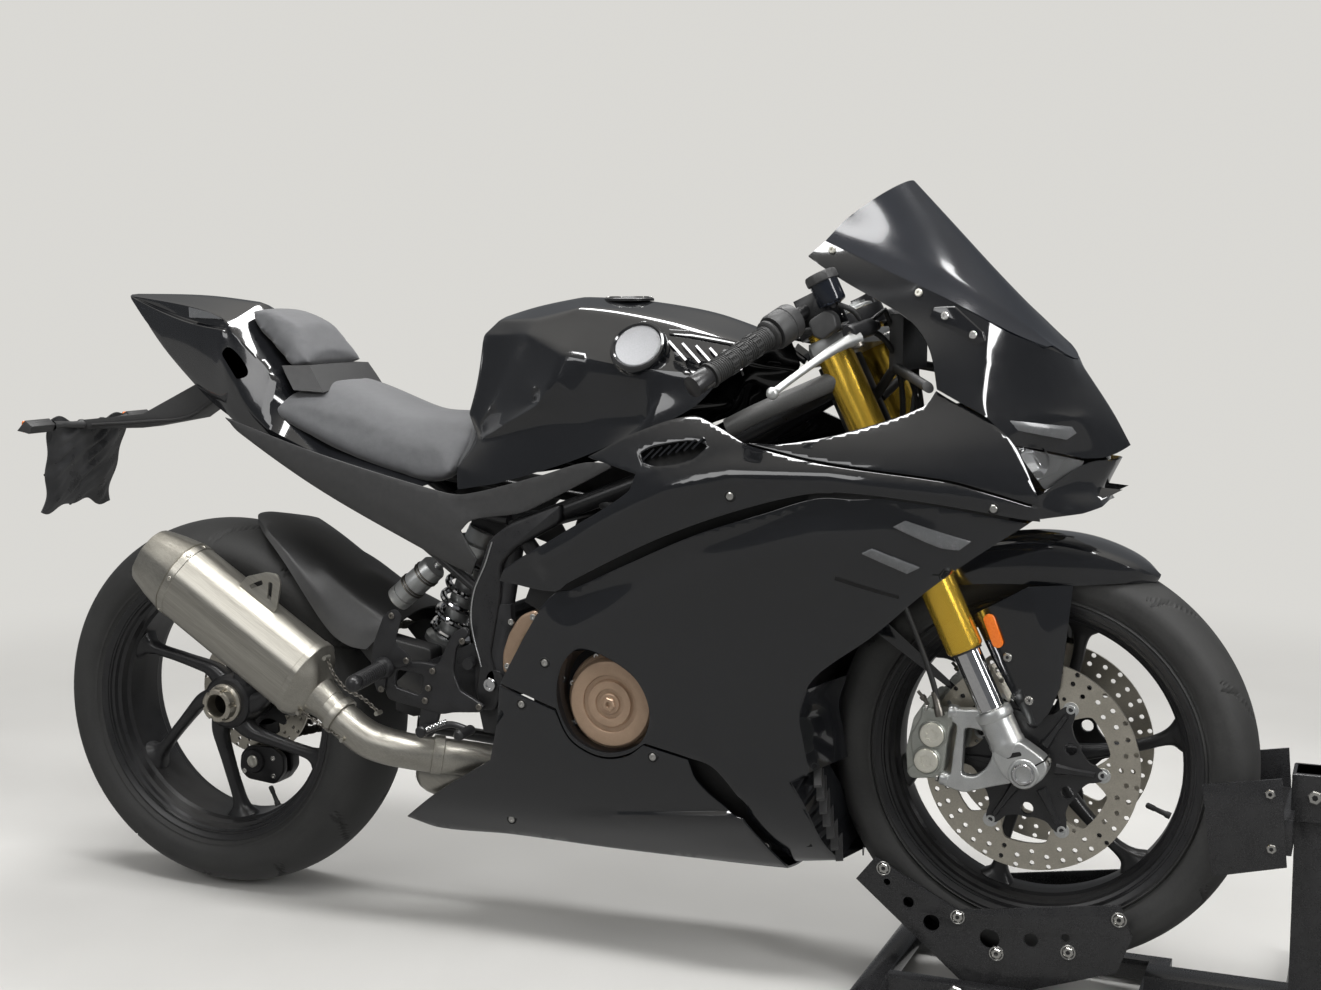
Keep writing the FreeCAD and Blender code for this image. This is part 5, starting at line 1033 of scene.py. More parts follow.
def flatPlate(ring, holes, low, high):
    # Vertices and faces of a plate with holes, drawn in X and Z and raised along Y.
    loops = [[tuple(p) for p in ring]] + [[tuple(p) for p in h] for h in holes]
    flat, edges = [], []
    for loop in loops:
        start = len(flat)
        flat += [Vector(p) for p in loop]
        edges += [(start + i, start + (i + 1) % len(loop)) for i in range(len(loop))]
    points, _, triangles, *_ = geometry.delaunay_2d_cdt(flat, edges, [], 0, 1e-6)
    kept = []
    for f in triangles:
        x = sum(points[i].x for i in f) / len(f)
        z = sum(points[i].y for i in f) / len(f)
        if inside(x, z, loops[0]) and not any(inside(x, z, h) for h in loops[1:]):
            kept.append(tuple(f))
    count = len(points)
    verts = [(p.x, low, p.y) for p in points] + [(p.x, high, p.y) for p in points]
    faces = list(kept) + [tuple(i + count for i in f[::-1]) for f in kept]
    faces += [(a, b, b + count, a + count) for a, b in edges]
    return verts, faces


def ringOf(r, count, centre=(0, 0)):
    return [(centre[0] + r * math.cos(a), centre[1] + r * math.sin(a)) for a in anglesOf(count)]


def gather(parts):
    # One mesh list from several lists of vertices and faces.
    verts, faces = [], []
    for v, f in parts:
        start = len(verts)
        verts += v
        faces += [tuple(start + i for i in face) for face in f]
    return verts, faces


def shifted(part, dx=0, dy=0, dz=0):
    verts, faces = part
    return [(x + dx, y + dy, z + dz) for x, y, z in verts], faces


spokeForm = {"steps": 14, "round": 0.7}


def spokeParts(count, start, stations, yMid):
    # Swept round-edged spokes. A station: radius, turn in degrees, half width, half depth.
    parts = []
    steps, power = spokeForm["steps"], spokeForm["round"]
    for n in range(count):
        verts = []
        for r, lead, half, deep in stations:
            a = math.radians(start + 360 / count * n + lead)
            ux, uz = math.cos(a), math.sin(a)
            for t in anglesOf(steps):
                c, s = math.cos(t), math.sin(t)
                w = half * math.copysign(abs(c) ** power, c)
                d = deep * math.copysign(abs(s) ** power, s)
                verts.append((ux * r - uz * w, yMid + d, uz * r + ux * w))
        ends = [tuple(range(steps)), tuple(range(len(verts) - 1, len(verts) - steps - 1, -1))]
        parts.append((verts, bandFaces(len(stations), steps) + ends))
    return parts


def denser(stations, per=4):
    keys = list(range(len(stations)))
    count = (len(stations) - 1) * per
    return [tuple(spline(keys, [s[c] for s in stations], i / per) for c in range(4)) for i in range(count + 1)]


wheels = {
    "rear": {"centre": (0, rearRadius), "body": "rear_wheel", "half": 76, "tyreHalf": 90, "radius": 315, "drop": 50,
        "spokeY": -16, "valve": -65, "start": 274, "hub": [(24.2, -38), (40, -38), (45, -34), (47, -28), (47, 8),
        (42, 20), (40, 44), (24.2, 44)], "spokes": [(38, -38, 19, 17), (62, -29, 15, 15), (84, -18, 12.5, 13),
        (110, -10, 10.5, 12), (145, -4, 9.5, 12), (172, -1, 10, 13), (186, 0, 15, 15), (194, 0.5, 24, 18),
        (201, 0.5, 31, 21)]},
    "front": {"centre": (wheelbase, axleHeight), "body": "front_wheel", "half": 53, "tyreHalf": 60, "radius": 300,
        "drop": 34, "spokeY": 0, "valve": -21, "start": 253, "hub": [(12.6, -66), (30, -66), (34, -60), (34, -24),
        (40, -14), (40, 14), (34, 24), (34, 60), (30, 66), (12.6, 66)],
        "spokes": [(30, -9, 17, 13), (60, -7, 12, 12), (100, -5, 9, 11), (150, -2.5, 8.5, 11), (172, -1, 9.5, 12),
        (186, 0, 14, 13), (194, 0, 22, 15), (201, 0, 29, 17)]},
}
# Tread: each cut has its offset, side, start, end and lean, in shares of a unit and of the half width
tread = {"units": 12, "edge": 0.93, "depth": 4.0, "half": 2.6, "taper": 0.12, "curl": 1.25,
    "cuts": ((0.0, 1, 0.12, 0.90, 0.62), (0.5, -1, 0.12, 0.90, 0.62), (0.27, 1, 0.55, 0.92, 0.35),
    (0.77, -1, 0.55, 0.92, 0.35))}
valve = {"foot": 197, "y": -10, "profile": [(0, 5), (-6, 5), (-8, 4), (-22, 3.4), (-24, 4.2), (-34, 4.2), (-36, 2.5)]}
for word, w in wheels.items():
    cx, cz = w["centre"]
    h = w["half"]
    profile = [(232, h - 1.5), (231, h), (228, h), (225, h - 2), (221, h - 4), (219, h - 9), (213, h - 12),
        (211, h - 18), (206, h - 22), (204, h - 34 if h > 60 else h - 30), (200, h - 40 if h > 60 else h - 34),
        (199, 4)]
    inner = profile + [(r, -y) for r, y in reversed(profile)]
    outer = [(232, -h + 5), (218, -h + 6), (215, -h + 20), (208, -h * 0.4), (208, h * 0.4), (215, h - 20),
        (218, h - 6), (232, h - 5)]
    lathe(word + "RimBarrel", inner + outer, w["centre"], w["body"], "black_metal", (word + "_rim",), segments=160,
        smooth=24)
    spokeBody = gather(spokeParts(6, w["start"], denser(w["spokes"]), w["spokeY"]))
    meshPiece(word + "Spokes", *shifted(spokeBody, cx, 0, cz), w["body"], "black_metal", smooth=50)
    lathe(word + "Hub", w["hub"], w["centre"], w["body"], "black_metal", segments=72)
    # Valve
    angle = math.radians(w["valve"])
    stem = []
    for d, r in valve["profile"]:
        reach = valve["foot"] + d
        for t in anglesOf(12):
            stem.append((cx + reach * math.cos(angle) - r * math.cos(t) * math.sin(angle),
                valve["y"] + r * math.sin(t), cz + reach * math.sin(angle) + r * math.cos(t) * math.cos(angle)))
    meshPiece(word + "Valve", stem, bandFaces(7, 12) + [tuple(range(72, 84))], w["body"], "black_rubber")
    # Tyre with its grooves
    th, crown = w["tyreHalf"], w["radius"] - w["drop"]
    across = [(crown + w["drop"] * math.cos(math.radians(a)), th * math.sin(math.radians(a)))
        for a in [-90 + 180 * k / 36 for k in range(37)]]
    low = [(crown - 10, th - 0.6), (crown - 20, th - 3.5), (241, th - 8), (240, th - 8.6), (237, th - 9),
        (236.5, th - 10.2), (233, h + 1), (226, h - 6.5), (219, h - 6.8)]
    low = [(r, min(y, th)) for r, y in low]
    profile = [(r, -y) for r, y in reversed(low)] + across + low

    def groove(turn, r, y, th=th, crown=crown):
        # Depth of the tread's slanted cuts at a place on the tyre.
        if abs(y / th) > tread["edge"] or r < crown + tread["depth"]:
            return 0
        for offset, sign, start, end, lean in tread["cuts"]:
            q = y / th * sign
            if not start < q < end:
                continue
            gap = (turn * tread["units"] - offset - lean * (q - start) ** tread["curl"]) % 1.0
            gap = min(gap, 1 - gap) * 2 * math.pi * r / tread["units"]
            if gap < tread["half"] * min(1, (q - start) / tread["taper"], (end - q) / tread["taper"]):
                return tread["depth"]
        return 0

    lathe(word + "TyreTread", profile, w["centre"], w["body"], "tyre_rubber", (word + "_tyre",), segments=900,
        smooth=50, displace=groove)
print("rims and tyres made")


# Brake discs: a pierced ring with six tabs, its buttons and the star carrier
frontDisc = {"outer": 150, "inner": 112, "tab": 25, "button": 9.3, "rows": ((124, 140), (132, 146)), "start": 57,
    "columns": 40, "hole": 3.7, "reach": 16.5, "flat": 4.0}
rearDisc = {"outer": 110, "inner": 82, "tab": 16, "button": 6, "rows": ((88, 100), (94, 106)), "start": 20,
    "columns": 28, "hole": 3.4, "reach": 15, "flat": 5}
frontDiscY, rearDiscY, discHalf = 72, 54, 2.5


def fromArm(angle, start):
    # Degrees between a direction and the nearest of six arms.
    return abs((angle - start + 30) % 60 - 30)


def discParts(outer, inner, tab, button, rows, start, columns, hole, reach, flat):
    ring = ringOf(outer, 144)
    loop = []
    for k in range(240):
        a = 360 * k / 240
        loop.append(polarPoint(inner - tab * smoothStep((reach - fromArm(a, start)) / (reach - flat)), a))
    holes = [loop]
    for n in range(6):
        holes.append(ringOf(button, 20, centre=polarPoint(inner - tab * 0.5, start + 60 * n)))
        holes.append(ringOf(3, 10, centre=polarPoint(inner - 5, start + 60 * n + 8.5)))
    for k in range(columns):
        for r in rows[k % len(rows)]:
            holes.append(ringOf(hole, 10, centre=polarPoint(r, 360 * k / columns + 2)))
    return ring, holes


carrier = {"armDegrees": [0, 4, 6.5, 9, 14, 22, 30], "armReach": [101, 100, 94, 84, 78, 74, 75], "half": 3.5,
    "buttons": 99.5, "holes": 62, "rib": ((36, 8), (60, 5), (89, 4))}
start = frontDisc["start"]
carrierRing = [polarPoint(spline(carrier["armDegrees"], carrier["armReach"], fromArm(a, start)), a)
    for a in range(0, 360, 2)]
carrierHoles = [ringOf(20, 36)] + [ringOf(9, 16, centre=polarPoint(carrier["holes"], start + 30 + 60 * n))
    for n in range(6)]
discPlate = discParts(**frontDisc)
ringParts, carrierParts, buttonParts = [], [], []
for s in (-1, 1):
    y = frontDiscY * s
    ringParts.append(flatPlate(*discPlate, y - discHalf, y + discHalf))
    carrierParts.append(flatPlate(carrierRing, carrierHoles, y - carrier["half"], y + carrier["half"]))
    for n in range(6):
        bx, bz = polarPoint(carrier["buttons"], start + 60 * n)
        loopVerts = []
        steps = [(0, 2.2), (3, 2.2), (3.4, 4), (6, 4.4), (6.6, 3.2), (10.6, 3.2), (11, 2.6), (11, -2.6), (6, -4)]
        for r, dy in steps:
            loopVerts += [(bx + r * math.cos(t), y + s * dy, bz + r * math.sin(t)) for t in anglesOf(18)]
        buttonParts.append((loopVerts, bandFaces(len(steps), 18)))
        # Rib along each arm of the carrier
        ux, uz = polarPoint(1, start + 60 * n)
        rib = []
        for r, half in carrier["rib"]:
            for dy, f in ((3.4, 1.0), (8.5 if r < 90 else 5, 0.6)):
                for q in (-1, 1):
                    rib.append((ux * r - uz * half * f * q, y + s * dy, uz * r + ux * half * f * q))
        carrierParts.append((rib, [(0, 2, 6, 4), (2, 3, 7, 6), (3, 1, 5, 7), (4, 6, 10, 8), (6, 7, 11, 10),
            (7, 5, 9, 11), (0, 1, 3, 2), (8, 10, 11, 9)]))
wheelX, wheelZ = wheels["front"]["centre"]
meshPiece("frontDiscRings", *shifted(gather(ringParts), wheelX, 0, wheelZ), "front_wheel", "disc_steel",
    ("front_discs",), smooth=30)
meshPiece("frontCarriers", *shifted(gather(carrierParts), wheelX, 0, wheelZ), "front_wheel", "black_metal", smooth=30)
meshPiece("frontButtons", *shifted(gather(buttonParts), wheelX, 0, wheelZ), "front_wheel", "cast_silver", merge=1e-6,
    smooth=35)
rearPlate = flatPlate(*discParts(**rearDisc), rearDiscY - discHalf, rearDiscY + discHalf)
hubArm = {"degrees": [0, 6, 10, 20, 30], "reach": [78, 76, 62, 52, 50], "half": 3}
hubRing = [polarPoint(spline(hubArm["degrees"], hubArm["reach"], fromArm(a, rearDisc["start"])), a)
    for a in range(0, 360, 4)]
hubPlate = flatPlate(hubRing, [ringOf(25, 36)], rearDiscY - hubArm["half"], rearDiscY + hubArm["half"])
meshPiece("rearDiscRing", *shifted(rearPlate, 0, 0, rearRadius), "rear_wheel", "disc_steel", ("rear_disc",),
    smooth=30)
meshPiece("rearCarrier", *shifted(hubPlate, 0, 0, rearRadius), "rear_wheel", "black_metal", smooth=30)
lathe("rearCarrierBoss", [(24.2, 44), (42, 44), (42, 52), (24.2, 52)], (0, rearRadius), "rear_wheel", "black_metal",
    segments=48)
# Hollow castellated nut
nutProfile = [(19.2, -38), (19.2, -62), (20.5, -64), (26.5, -64), (28.5, -62.5), (28.8, -60), (28.8, -45),
    (33, -42.5), (33.5, -40), (33, -38)]
nutSlots = {"count": 6, "depth": 3.4, "share": 0.2, "radius": 26, "from": -65, "to": -44}


def castle(turn, r, y):
    # Depth of the nut's slots at a place on it.
    cut = nutSlots["from"] < y < nutSlots["to"] and r > nutSlots["radius"]
    return nutSlots["depth"] if cut and (turn * nutSlots["count"]) % 1.0 < nutSlots["share"] else 0


lathe("hubNut", nutProfile, (0, rearRadius), "rear_wheel", "disc_steel", segments=120, displace=castle)
lathe("hubSleeve", [(19.2, -40), (23.8, -40), (23.8, 149), (19.2, 149)], (0, rearRadius), "rear_wheel", "chain_steel",
    ("rear_nut",), segments=48)
print("discs and nut made")


def turnedAbout(name, profile, start, axis, body, look, replaces=(), segments=40, smooth=34, flute=None):
    # An open profile of (radius, distance) pairs turned about a line through start, millimetres.
    axis = Vector(axis).normalized()
    one = axis.orthogonal().normalized()
    two = axis.cross(one)
    verts, faces = [], []
    count = len(profile)
    for k in range(segments):
        a = 2 * math.pi * k / segments
        way = one * math.cos(a) + two * math.sin(a)
        for r, d in profile:
            cut = flute(k / segments, r) if flute else 0
            verts.append(Vector(start) + way * max(r - cut, 0) + axis * d)
    for k in range(segments):
        a, b = k * count, (k + 1) % segments * count
        faces += [(a + i, a + i + 1, b + i + 1, b + i) for i in range(count - 1)]
    return meshPiece(name, verts, faces, body, look, replaces, smooth, merge=2e-6)


def pipe(name, points, radius, body, look, replaces=(), around=20, radii=None):
    # A tube along a smooth line through points; radii may give each point its own.
    line = curveThrough(points, 6, closed=False, corner=75)
    lengths = [0]
    for a, b in zip(line, line[1:]):
        lengths.append(lengths[-1] + (b - a).length)
    marks = [min(range(len(line)), key=lambda i: (line[i] - Vector(p)).length) for p in points]
    verts = []
    side = None
    for i, q in enumerate(line):
        way = (line[min(i + 1, len(line) - 1)] - line[max(i - 1, 0)]).normalized()
        side = way.orthogonal().normalized() if side is None else (side - way * side.dot(way)).normalized()
        other = way.cross(side)
        r = radius if radii is None else spline([lengths[m] for m in marks], radii, lengths[i])
        verts += [q + (side * math.cos(a) + other * math.sin(a)) * r for a in anglesOf(around)]
    ends = [tuple(range(around))[::-1], tuple(range(len(verts) - around, len(verts)))]
    return meshPiece(name, verts, bandFaces(len(line), around) + ends, body, look, replaces, 50)


def softRing(ring, radius, steps=4):
    # The ring with each corner rounded off.
    out = []
    count = len(ring)
    for i in range(count):
        a, b, c = Vector(ring[i - 1]), Vector(ring[i]), Vector(ring[(i + 1) % count])
        u, v = a - b, c - b
        r = min(radius, u.length * 0.45, v.length * 0.45)
        p, q = b + u.normalized() * r, b + v.normalized() * r
        for k in range(steps + 1):
            s = k / steps
            out.append(tuple((1 - s) ** 2 * p + 2 * s * (1 - s) * b + s * s * q))
    return out


def casting(name, ring, holes, low, high, body, look, frameOf=None, replaces=(), bevel=2.0, soft=6, segments=3):
    # A plate in the X and Z plane with soft corners and rounded edges; frameOf maps its points.
    verts, faces = flatPlate(softRing(ring, soft) if soft else ring,
        [softRing(h, soft) if soft and len(h) < 12 else h for h in holes], min(low, high), max(low, high))
    if frameOf:
        verts = [frameOf(*v) for v in verts]
    thing = meshPiece(name, verts, faces, body, look, replaces)
    if bevel:
        bm = bmesh.new()
        bm.from_mesh(thing.data)
        bmesh.ops.dissolve_limit(bm, angle_limit=math.radians(0.5), verts=bm.verts, edges=bm.edges)
        bm.to_mesh(thing.data)
        bm.free()
        addBevel(thing, bevel, segments, 50)
    return baked(thing, 40)


def forkAxis(x=0, y=0, z=1):
    return forkPoint(x, y, z) - forkPoint(0, 0, 0)


fork = {"line": -9, "half": 105, "tube": 26, "chrome": 19.5}
reflector = {"centre": (33.5, 193), "round": 8.2, "straight": 16.5, "lean": 0.07}
flats = {"depth": 1.5, "waves": 3, "inner": 12, "outer": 17}


def capFlat(turn, r):
    # Depth of the flats round the fork cap at a place on it.
    wave = abs(math.cos(flats["waves"] * math.pi * 2 * turn))
    return flats["depth"] * wave if flats["inner"] < r < flats["outer"] else 0


for s, word in bothSides:
    y = s * fork["half"]
    along = forkAxis()
    outward = (0, s, 0)
    base = forkPoint(fork["line"], y, 0)
    r = fork["tube"]
    turnedAbout("forkTube." + word, [(20.2, 184), (r - 3, 184), (r - 0.8, 186), (r, 189), (r, 418), (r + 1.5, 424),
        (r + 1.5, 492), (r, 500), (r, 690), (r - 1.5, 696), (r - 4, 698)], base, along, "steering", "gold",
        onRight("fork_tubes", word), segments=64)
    turnedAbout("forkSeal." + word, [(20, 183.5), (22.6, 183.5), (22.6, 181), (20.2, 181)], base, along, "steering",
        "black_rubber")
    turnedAbout("forkCap." + word, [(r - 4, 698), (r - 2, 700), (r - 2.5, 704), (r - 7, 706), (15.5, 706), (15, 711),
        (11, 711.5), (10.6, 708), (7, 708), (6.6, 714), (0, 714.4)], base, along, "steering", "cast_silver",
        segments=48, flute=capFlat)
    turnedAbout("forkChrome." + word, [(fork["chrome"], 80), (fork["chrome"], 186)], base, along, "steering",
        "bright_steel", onRight("stanchions", word), segments=64)
    sleeveProfile = [(19.6, 96), (21.5, 96.5), (25, 94.5), (26.2, 92), (26.2, 83), (25.4, 81), (24.2, 80), (24, 50),
        (25, 48), (25.2, 43), (24.6, 40), (22, 34), (17, 14), (10, 4), (0, 0)]
    turnedAbout("forkSleeve." + word, sleeveProfile, base, along, "steering", "cast_silver",
        onRight("fork_feet", word), segments=56)
    blockRing = [(-30, 44), (13, 44), (27, 22), (35, 8), (34, -6), (22, -16), (4, -21), (-16, -16), (-27, 4),
        (-31, 26)]
    casting("forkBlock." + word, blockRing, [], y - s * 14, y + s * 20, "steering", "cast_silver", forkPoint, bevel=4,
        soft=7)
    legRing = [(-20, 100), (-46, 110), (-60, 118), (-68, 101), (-62, 92), (-101, 30), (-112, 37), (-118, 21),
        (-93, 1), (-60, -3), (-22, -9), (2, 4), (-8, 60)]
    legHole = [(-53, 86), (-31, 72), (-29, 46), (-36, 33), (-50, 22), (-68, 17), (-86, 25)]
    casting("forkLegs." + word, legRing, [legHole], y - s * 9, y + s * 9, "steering", "cast_silver", forkPoint,
        bevel=3.2, soft=7)
    for spot, way in (((-59, 109), (-35, 22)), ((-110, 27), (-24, 16))):
        a = forkPoint(spot[0], y, spot[1])
        turnedAbout("legCollar.%s%d" % (word, spot[0] < -80), [(9.4, -4), (10.4, -2.5), (10.4, 7), (9.4, 8.5)], a,
            forkAxis(way[0], 0, way[1]), "steering", "cast_silver", segments=32)
    # Axle boss with its hollow axle
    yo = y + s * 23
    turnedAbout("axleBoss." + word, [(11, -44), (20.4, -44), (21, -42), (21, -2.5), (19.5, -0.6), (16.5, 0),
        (15.5, -1.5), (12.2, -1.5), (11, -3)], forkPoint(0, yo, 0), outward, "steering", "cast_silver", segments=48)
    turnedAbout("axleEnd." + word, [(14.6, -2.0), (14.8, 1.6), (13.6, 3.0), (11.4, 3.0), (10.6, 1.6), (10.2, -22),
        (0, -22)], forkPoint(0, yo, 0), outward, "steering", "bright_steel", onRight("front_axle", word), segments=48)
    screwHeads("pinchBolts." + word, [(forkPoint(35, y + dy, 2), forkAxis(1, 0, 0.15)) for dy in (-9, 9)], "steering",
        5)
    # Thin near-black plates in the clamp's split and in the slot: painted shade
    casting("clampSplit." + word, [(11, 3), (36, 6.5), (36, 8.5), (11, 5)], [], y - s * 15, y + s * 20.6, "steering",
        "painted_shade", forkPoint, bevel=0, soft=0)
    casting("forkSlot." + word, [(-13, 27), (9, 24), (9, 30), (-12, 34)], [], y + s * 16, y + s * 20.4, "steering",
        "painted_shade", forkPoint, bevel=0, soft=3)
    # Caliper: two halves over the disc's edge, with bulges and star caps
    outline = [(-100, 134), (-66, 112), (-62, 101), (-76, 88), (-90, 68), (-104, 44), (-116, 30), (-158, 44),
        (-160, 58), (-144, 62), (-142, 76), (-133, 102), (-108, 120)]
    discY = s * frontDiscY
    casting("caliperOuter." + word, outline, [], discY + s * 5, discY + s * 37, "steering", "caliper", forkPoint,
        onRight("front_calipers", word), bevel=4, soft=6)
    casting("caliperInner." + word, outline, [], discY - s * 5, discY - s * 36, "steering", "caliper", forkPoint,
        bevel=4, soft=6)
    bridge = [polarPoint(r, a)
        for r, a in ((154, 118), (154, 134), (154, 150), (154, 164), (168, 162), (170, 150), (170, 134), (166, 120))]
    casting("caliperBridge." + word, bridge, [], discY - s * 34, discY + s * 35, "steering", "caliper", forkPoint,
        bevel=3, soft=4)
    for n, (cx, cz) in enumerate(((-101, 92), (-124, 61))):
        spot = forkPoint(cx, discY + s * 37, cz)
        turnedAbout("caliperBulge.%s%d" % (word, n), [(20.5, -32), (20.5, 1), (19.6, 3.4), (18.2, 4.6), (17.6, 3.4),
            (0, 3.4)], spot, outward, "steering", "caliper", segments=44)
        turnedAbout("caliperCap.%s%d" % (word, n), [(17.2, 3.2), (17.2, 6.4), (16.4, 7.2), (0, 7.2)], spot, outward,
            "steering", "cap", segments=44)
        star = []
        for a in anglesOf(60):
            reach = 7.4 + 1.5 * math.cos(6 * a)
            star.append((cx + reach * math.cos(a), cz + reach * math.sin(a)))
        capRing = ringOf(15.6, 48, centre=(cx, cz))
        casting("capFace.%s%d" % (word, n), capRing, [star], discY + s * 44, discY + s * 45.6, "steering", "cap",
            forkPoint, bevel=0.5, soft=0, segments=2)
    screwHeads("caliperBolts." + word, [(forkPoint(-95, y, 129), forkAxis(-35, 0, 24)),
        (forkPoint(-122, y, 33), forkAxis(-30, 0, 18))], "steering", 6)
    turnedAbout("bleedScrew." + word, [(3.4, 0), (3.4, 9), (4.6, 10), (4.6, 15), (2.4, 16), (2.4, 24), (0, 24)],
        forkPoint(-90, y, 132), forkAxis(-10, 0, 34), "steering", "chain_steel", segments=12)
    hose = [(-76, 112, 126), (-70, 113, 152), (-65, 113, 200), (-62, 113, 268), (-60, 112, 350), (-54, 112, 440),
        (-50, 108, 500)]
    pipe("brakeHose." + word, [forkPoint(x, s * w, z) for x, w, z in hose], 4, "steering", "black_rubber",
        onRight("brake_hoses", word), around=14)
    turnedAbout("hoseFitting." + word, [(0, -8), (6.5, -8), (6.5, 4), (5.2, 6), (5.2, 26), (4.2, 27)],
        forkPoint(-78, y + s * 7, 120), forkAxis(6, 0, 30), "steering", "chain_steel", segments=20)
    # Fender panel beside the fork, folded along a crease, with its reflector and screws
    panel = [(14, 224, 84), (104, 232, 92), (158, 210, 76), (15, 160, 84), (92, 150, 90), (100, 112, 78),
        (24, 56, 84), (36, 49, 85), (57, 60, 82), (84, 86, 79), (66, 100, 88)]
    panelFaces = [(0, 1, 4, 3), (1, 2, 5, 4), (3, 4, 10, 6), (4, 5, 9, 10), (6, 10, 8, 7), (10, 9, 8)]
    thing = meshPiece("fenderPanel." + word, [forkPoint(x, s * w, z) for x, z, w in panel], panelFaces, "steering",
        "gloss_black", smooth=12)
    addWall(thing, 3, 0)
    addBevel(thing, 0.9, 2, 20)
    baked(thing, 25)
    oval = []
    c, t = math.cos(reflector["lean"]), math.sin(reflector["lean"])
    for a in anglesOf(32):
        x, z = reflector["round"] * math.cos(a), reflector["round"] * math.sin(a)
        z += math.copysign(reflector["straight"], z if abs(z) > 1e-6 else 1)
        oval.append((reflector["centre"][0] + x * c + z * t, reflector["centre"][1] - x * t + z * c))
    casting("reflector." + word, oval, [], s * 86, s * 91.5, "steering", "amber", forkPoint, bevel=1.6, soft=0)
    screwHeads("fenderScrews." + word, [(forkPoint(36, s * 87.5, 152), outward),
        (forkPoint(39, s * 87.5, 86), outward)], "steering", 6.2)

# Fender blade over the tyre, with a pointed nose
bladeStations = [(59.0, 309, 297, 9), (61.5, 312, 296, 32), (65, 314, 288, 52), (70, 315, 276, 64),
    (78, 316, 262, 72), (88, 316, 255, 76), (100, 316, 258, 78), (112, 316, 268, 78), (124, 315, 284, 76),
    (136, 314, 298, 72), (143, 313, 304, 66)]
verts = []
steps = [(-1, 0.0, 1), (-1, 0.35, 1), (-1, 0.75, 1), (-0.94, 1, 0.55), (-0.82, 1, 0.25), (-0.55, 1, 0.08),
    (-0.25, 1, 0.0), (0, 1, -0.1), (0.25, 1, 0.0), (0.55, 1, 0.08), (0.82, 1, 0.25), (0.94, 1, 0.55), (1, 0.75, 1),
    (1, 0.35, 1), (1, 0.0, 1)]
fineStations = []
keys = [b[0] for b in bladeStations]
bladeCount, bladeCrowding, bladeDrop = 43, 1.15, 11
for i in range(bladeCount):
    a = keys[0] + (keys[-1] - keys[0]) * (i / (bladeCount - 1)) ** bladeCrowding
    fineStations.append((a,) + tuple(spline(keys, [b[c] for b in bladeStations], a) for c in (1, 2, 3)))
for a, top, low, half in fineStations:
    for across, up, sink in steps:
        r = low + (top - bladeDrop - low) * up if abs(across) == 1 else top - bladeDrop * sink
        verts.append((wheelbase + r * math.cos(math.radians(a)), across * half,
            axleHeight + r * math.sin(math.radians(a))))
blade = meshPiece("fenderBlade", verts, gridFaces(len(fineStations), len(steps)), "steering", "gloss_black",
    ("front_fender",), smooth=30)
addWall(blade, 3, 0)
addBevel(blade, 0.9, 2, 30)
baked(blade, 30)
print("fork, calipers and fender made")


def rings(name, loops, body, look, replaces=(), smooth=30):
    # A skin over loops with the same count of points, with flat ends.
    count = len(loops[0])
    verts = [p for loop in loops for p in loop]
    ends = [tuple(range(count))[::-1], tuple(range(len(verts) - count, len(verts)))]
    return meshPiece(name, verts, bandFaces(len(loops), count) + ends, body, look, replaces, smooth)


# Silencer: an oval can with soft facets between its end cap and front ring
muffler = {"front": (252, -172, 396), "lean": 31.94, "half": 52, "rise": 66, "rivets": -268, "rivetCount": 8}
leanAngle = math.radians(muffler["lean"])
mufflerWay = Vector((math.cos(leanAngle), 0, -math.sin(leanAngle)))
mufflerUp = Vector((math.sin(leanAngle), 0, math.cos(leanAngle)))
quarter = [(1, 0.36), (0.65, 0.82), (0.23, 1)]
ovalRing = [(-y, n) for y, n in quarter] + [(y, n) for y, n in reversed(quarter)]
ovalRing += [(y, -n) for y, n in quarter] + [(-y, -n) for y, n in reversed(quarter)]
softOval = softRing(ovalRing, 0.16, 3)


def canLoop(along, rise, share, roundness=0.0):
    # A loop of the can; roundness blends it from the oval to a circle of the radius share * half.
    centre = Vector(muffler["front"]) + mufflerWay * along + mufflerUp * rise
    loop = []
    for y, n in softOval:
        reach = math.hypot(y, n)
        wide = y * (1 - roundness) + y / reach * roundness
        tall = n * (1 - roundness) * muffler["rise"] + n / reach * roundness * muffler["half"]
        loop.append(centre + Vector((0, wide * muffler["half"] * share, 0)) + mufflerUp * tall * share)
    return loop


canStations = [(-250, 11, 0.48, 1), (-343, 10, 0.50, 1), (-346, 10, 0.53, 1), (-347.5, 10, 0.60, 0.6),
    (-346, 10, 0.73, 0), (-343, 10, 0.755, 0), (-310, 11.5, 0.90, 0), (-280, 13, 0.995, 0), (-277, 13, 1.015, 0),
    (-276, 13, 0.985, 0), (-274.5, 13, 0.985, 0), (-273.5, 13, 1.02, 0), (-263, 13, 1.02, 0), (-262, 13, 1.0, 0),
    (-180, 12.4, 1.0, 0), (-90, 11.8, 1.0, 0), (-9, 11, 1.0, 0), (-8, 11, 1.02, 0), (1, 11, 1.02, 0),
    (2.5, 11, 1.005, 0), (4, 10, 0.975, 0), (12, 7, 0.90, 0), (20, 4.5, 0.78, 0.3), (28, 2, 0.70, 0.8),
    (31, 1, 0.62, 1), (52, 0, 0.54, 1), (56, 0, 0.53, 1)]
rings("silencerCan", [canLoop(*s) for s in canStations], "root", "brushed_can", ("silencer",), smooth=26)
# The bore inside the can's end is a near-black sheet of painted shade
rings("silencerBore", [canLoop(-342, 10, 0.52, 1), canLoop(-342, 10, 0.48, 1), canLoop(-250, 11, 0.46, 1),
    canLoop(-250, 11, 0.44, 1)], "root", "painted_shade")
rivetLoop = canLoop(muffler["rivets"], 13, 1.02)
rivetCentre = sum(rivetLoop, Vector()) / len(rivetLoop)
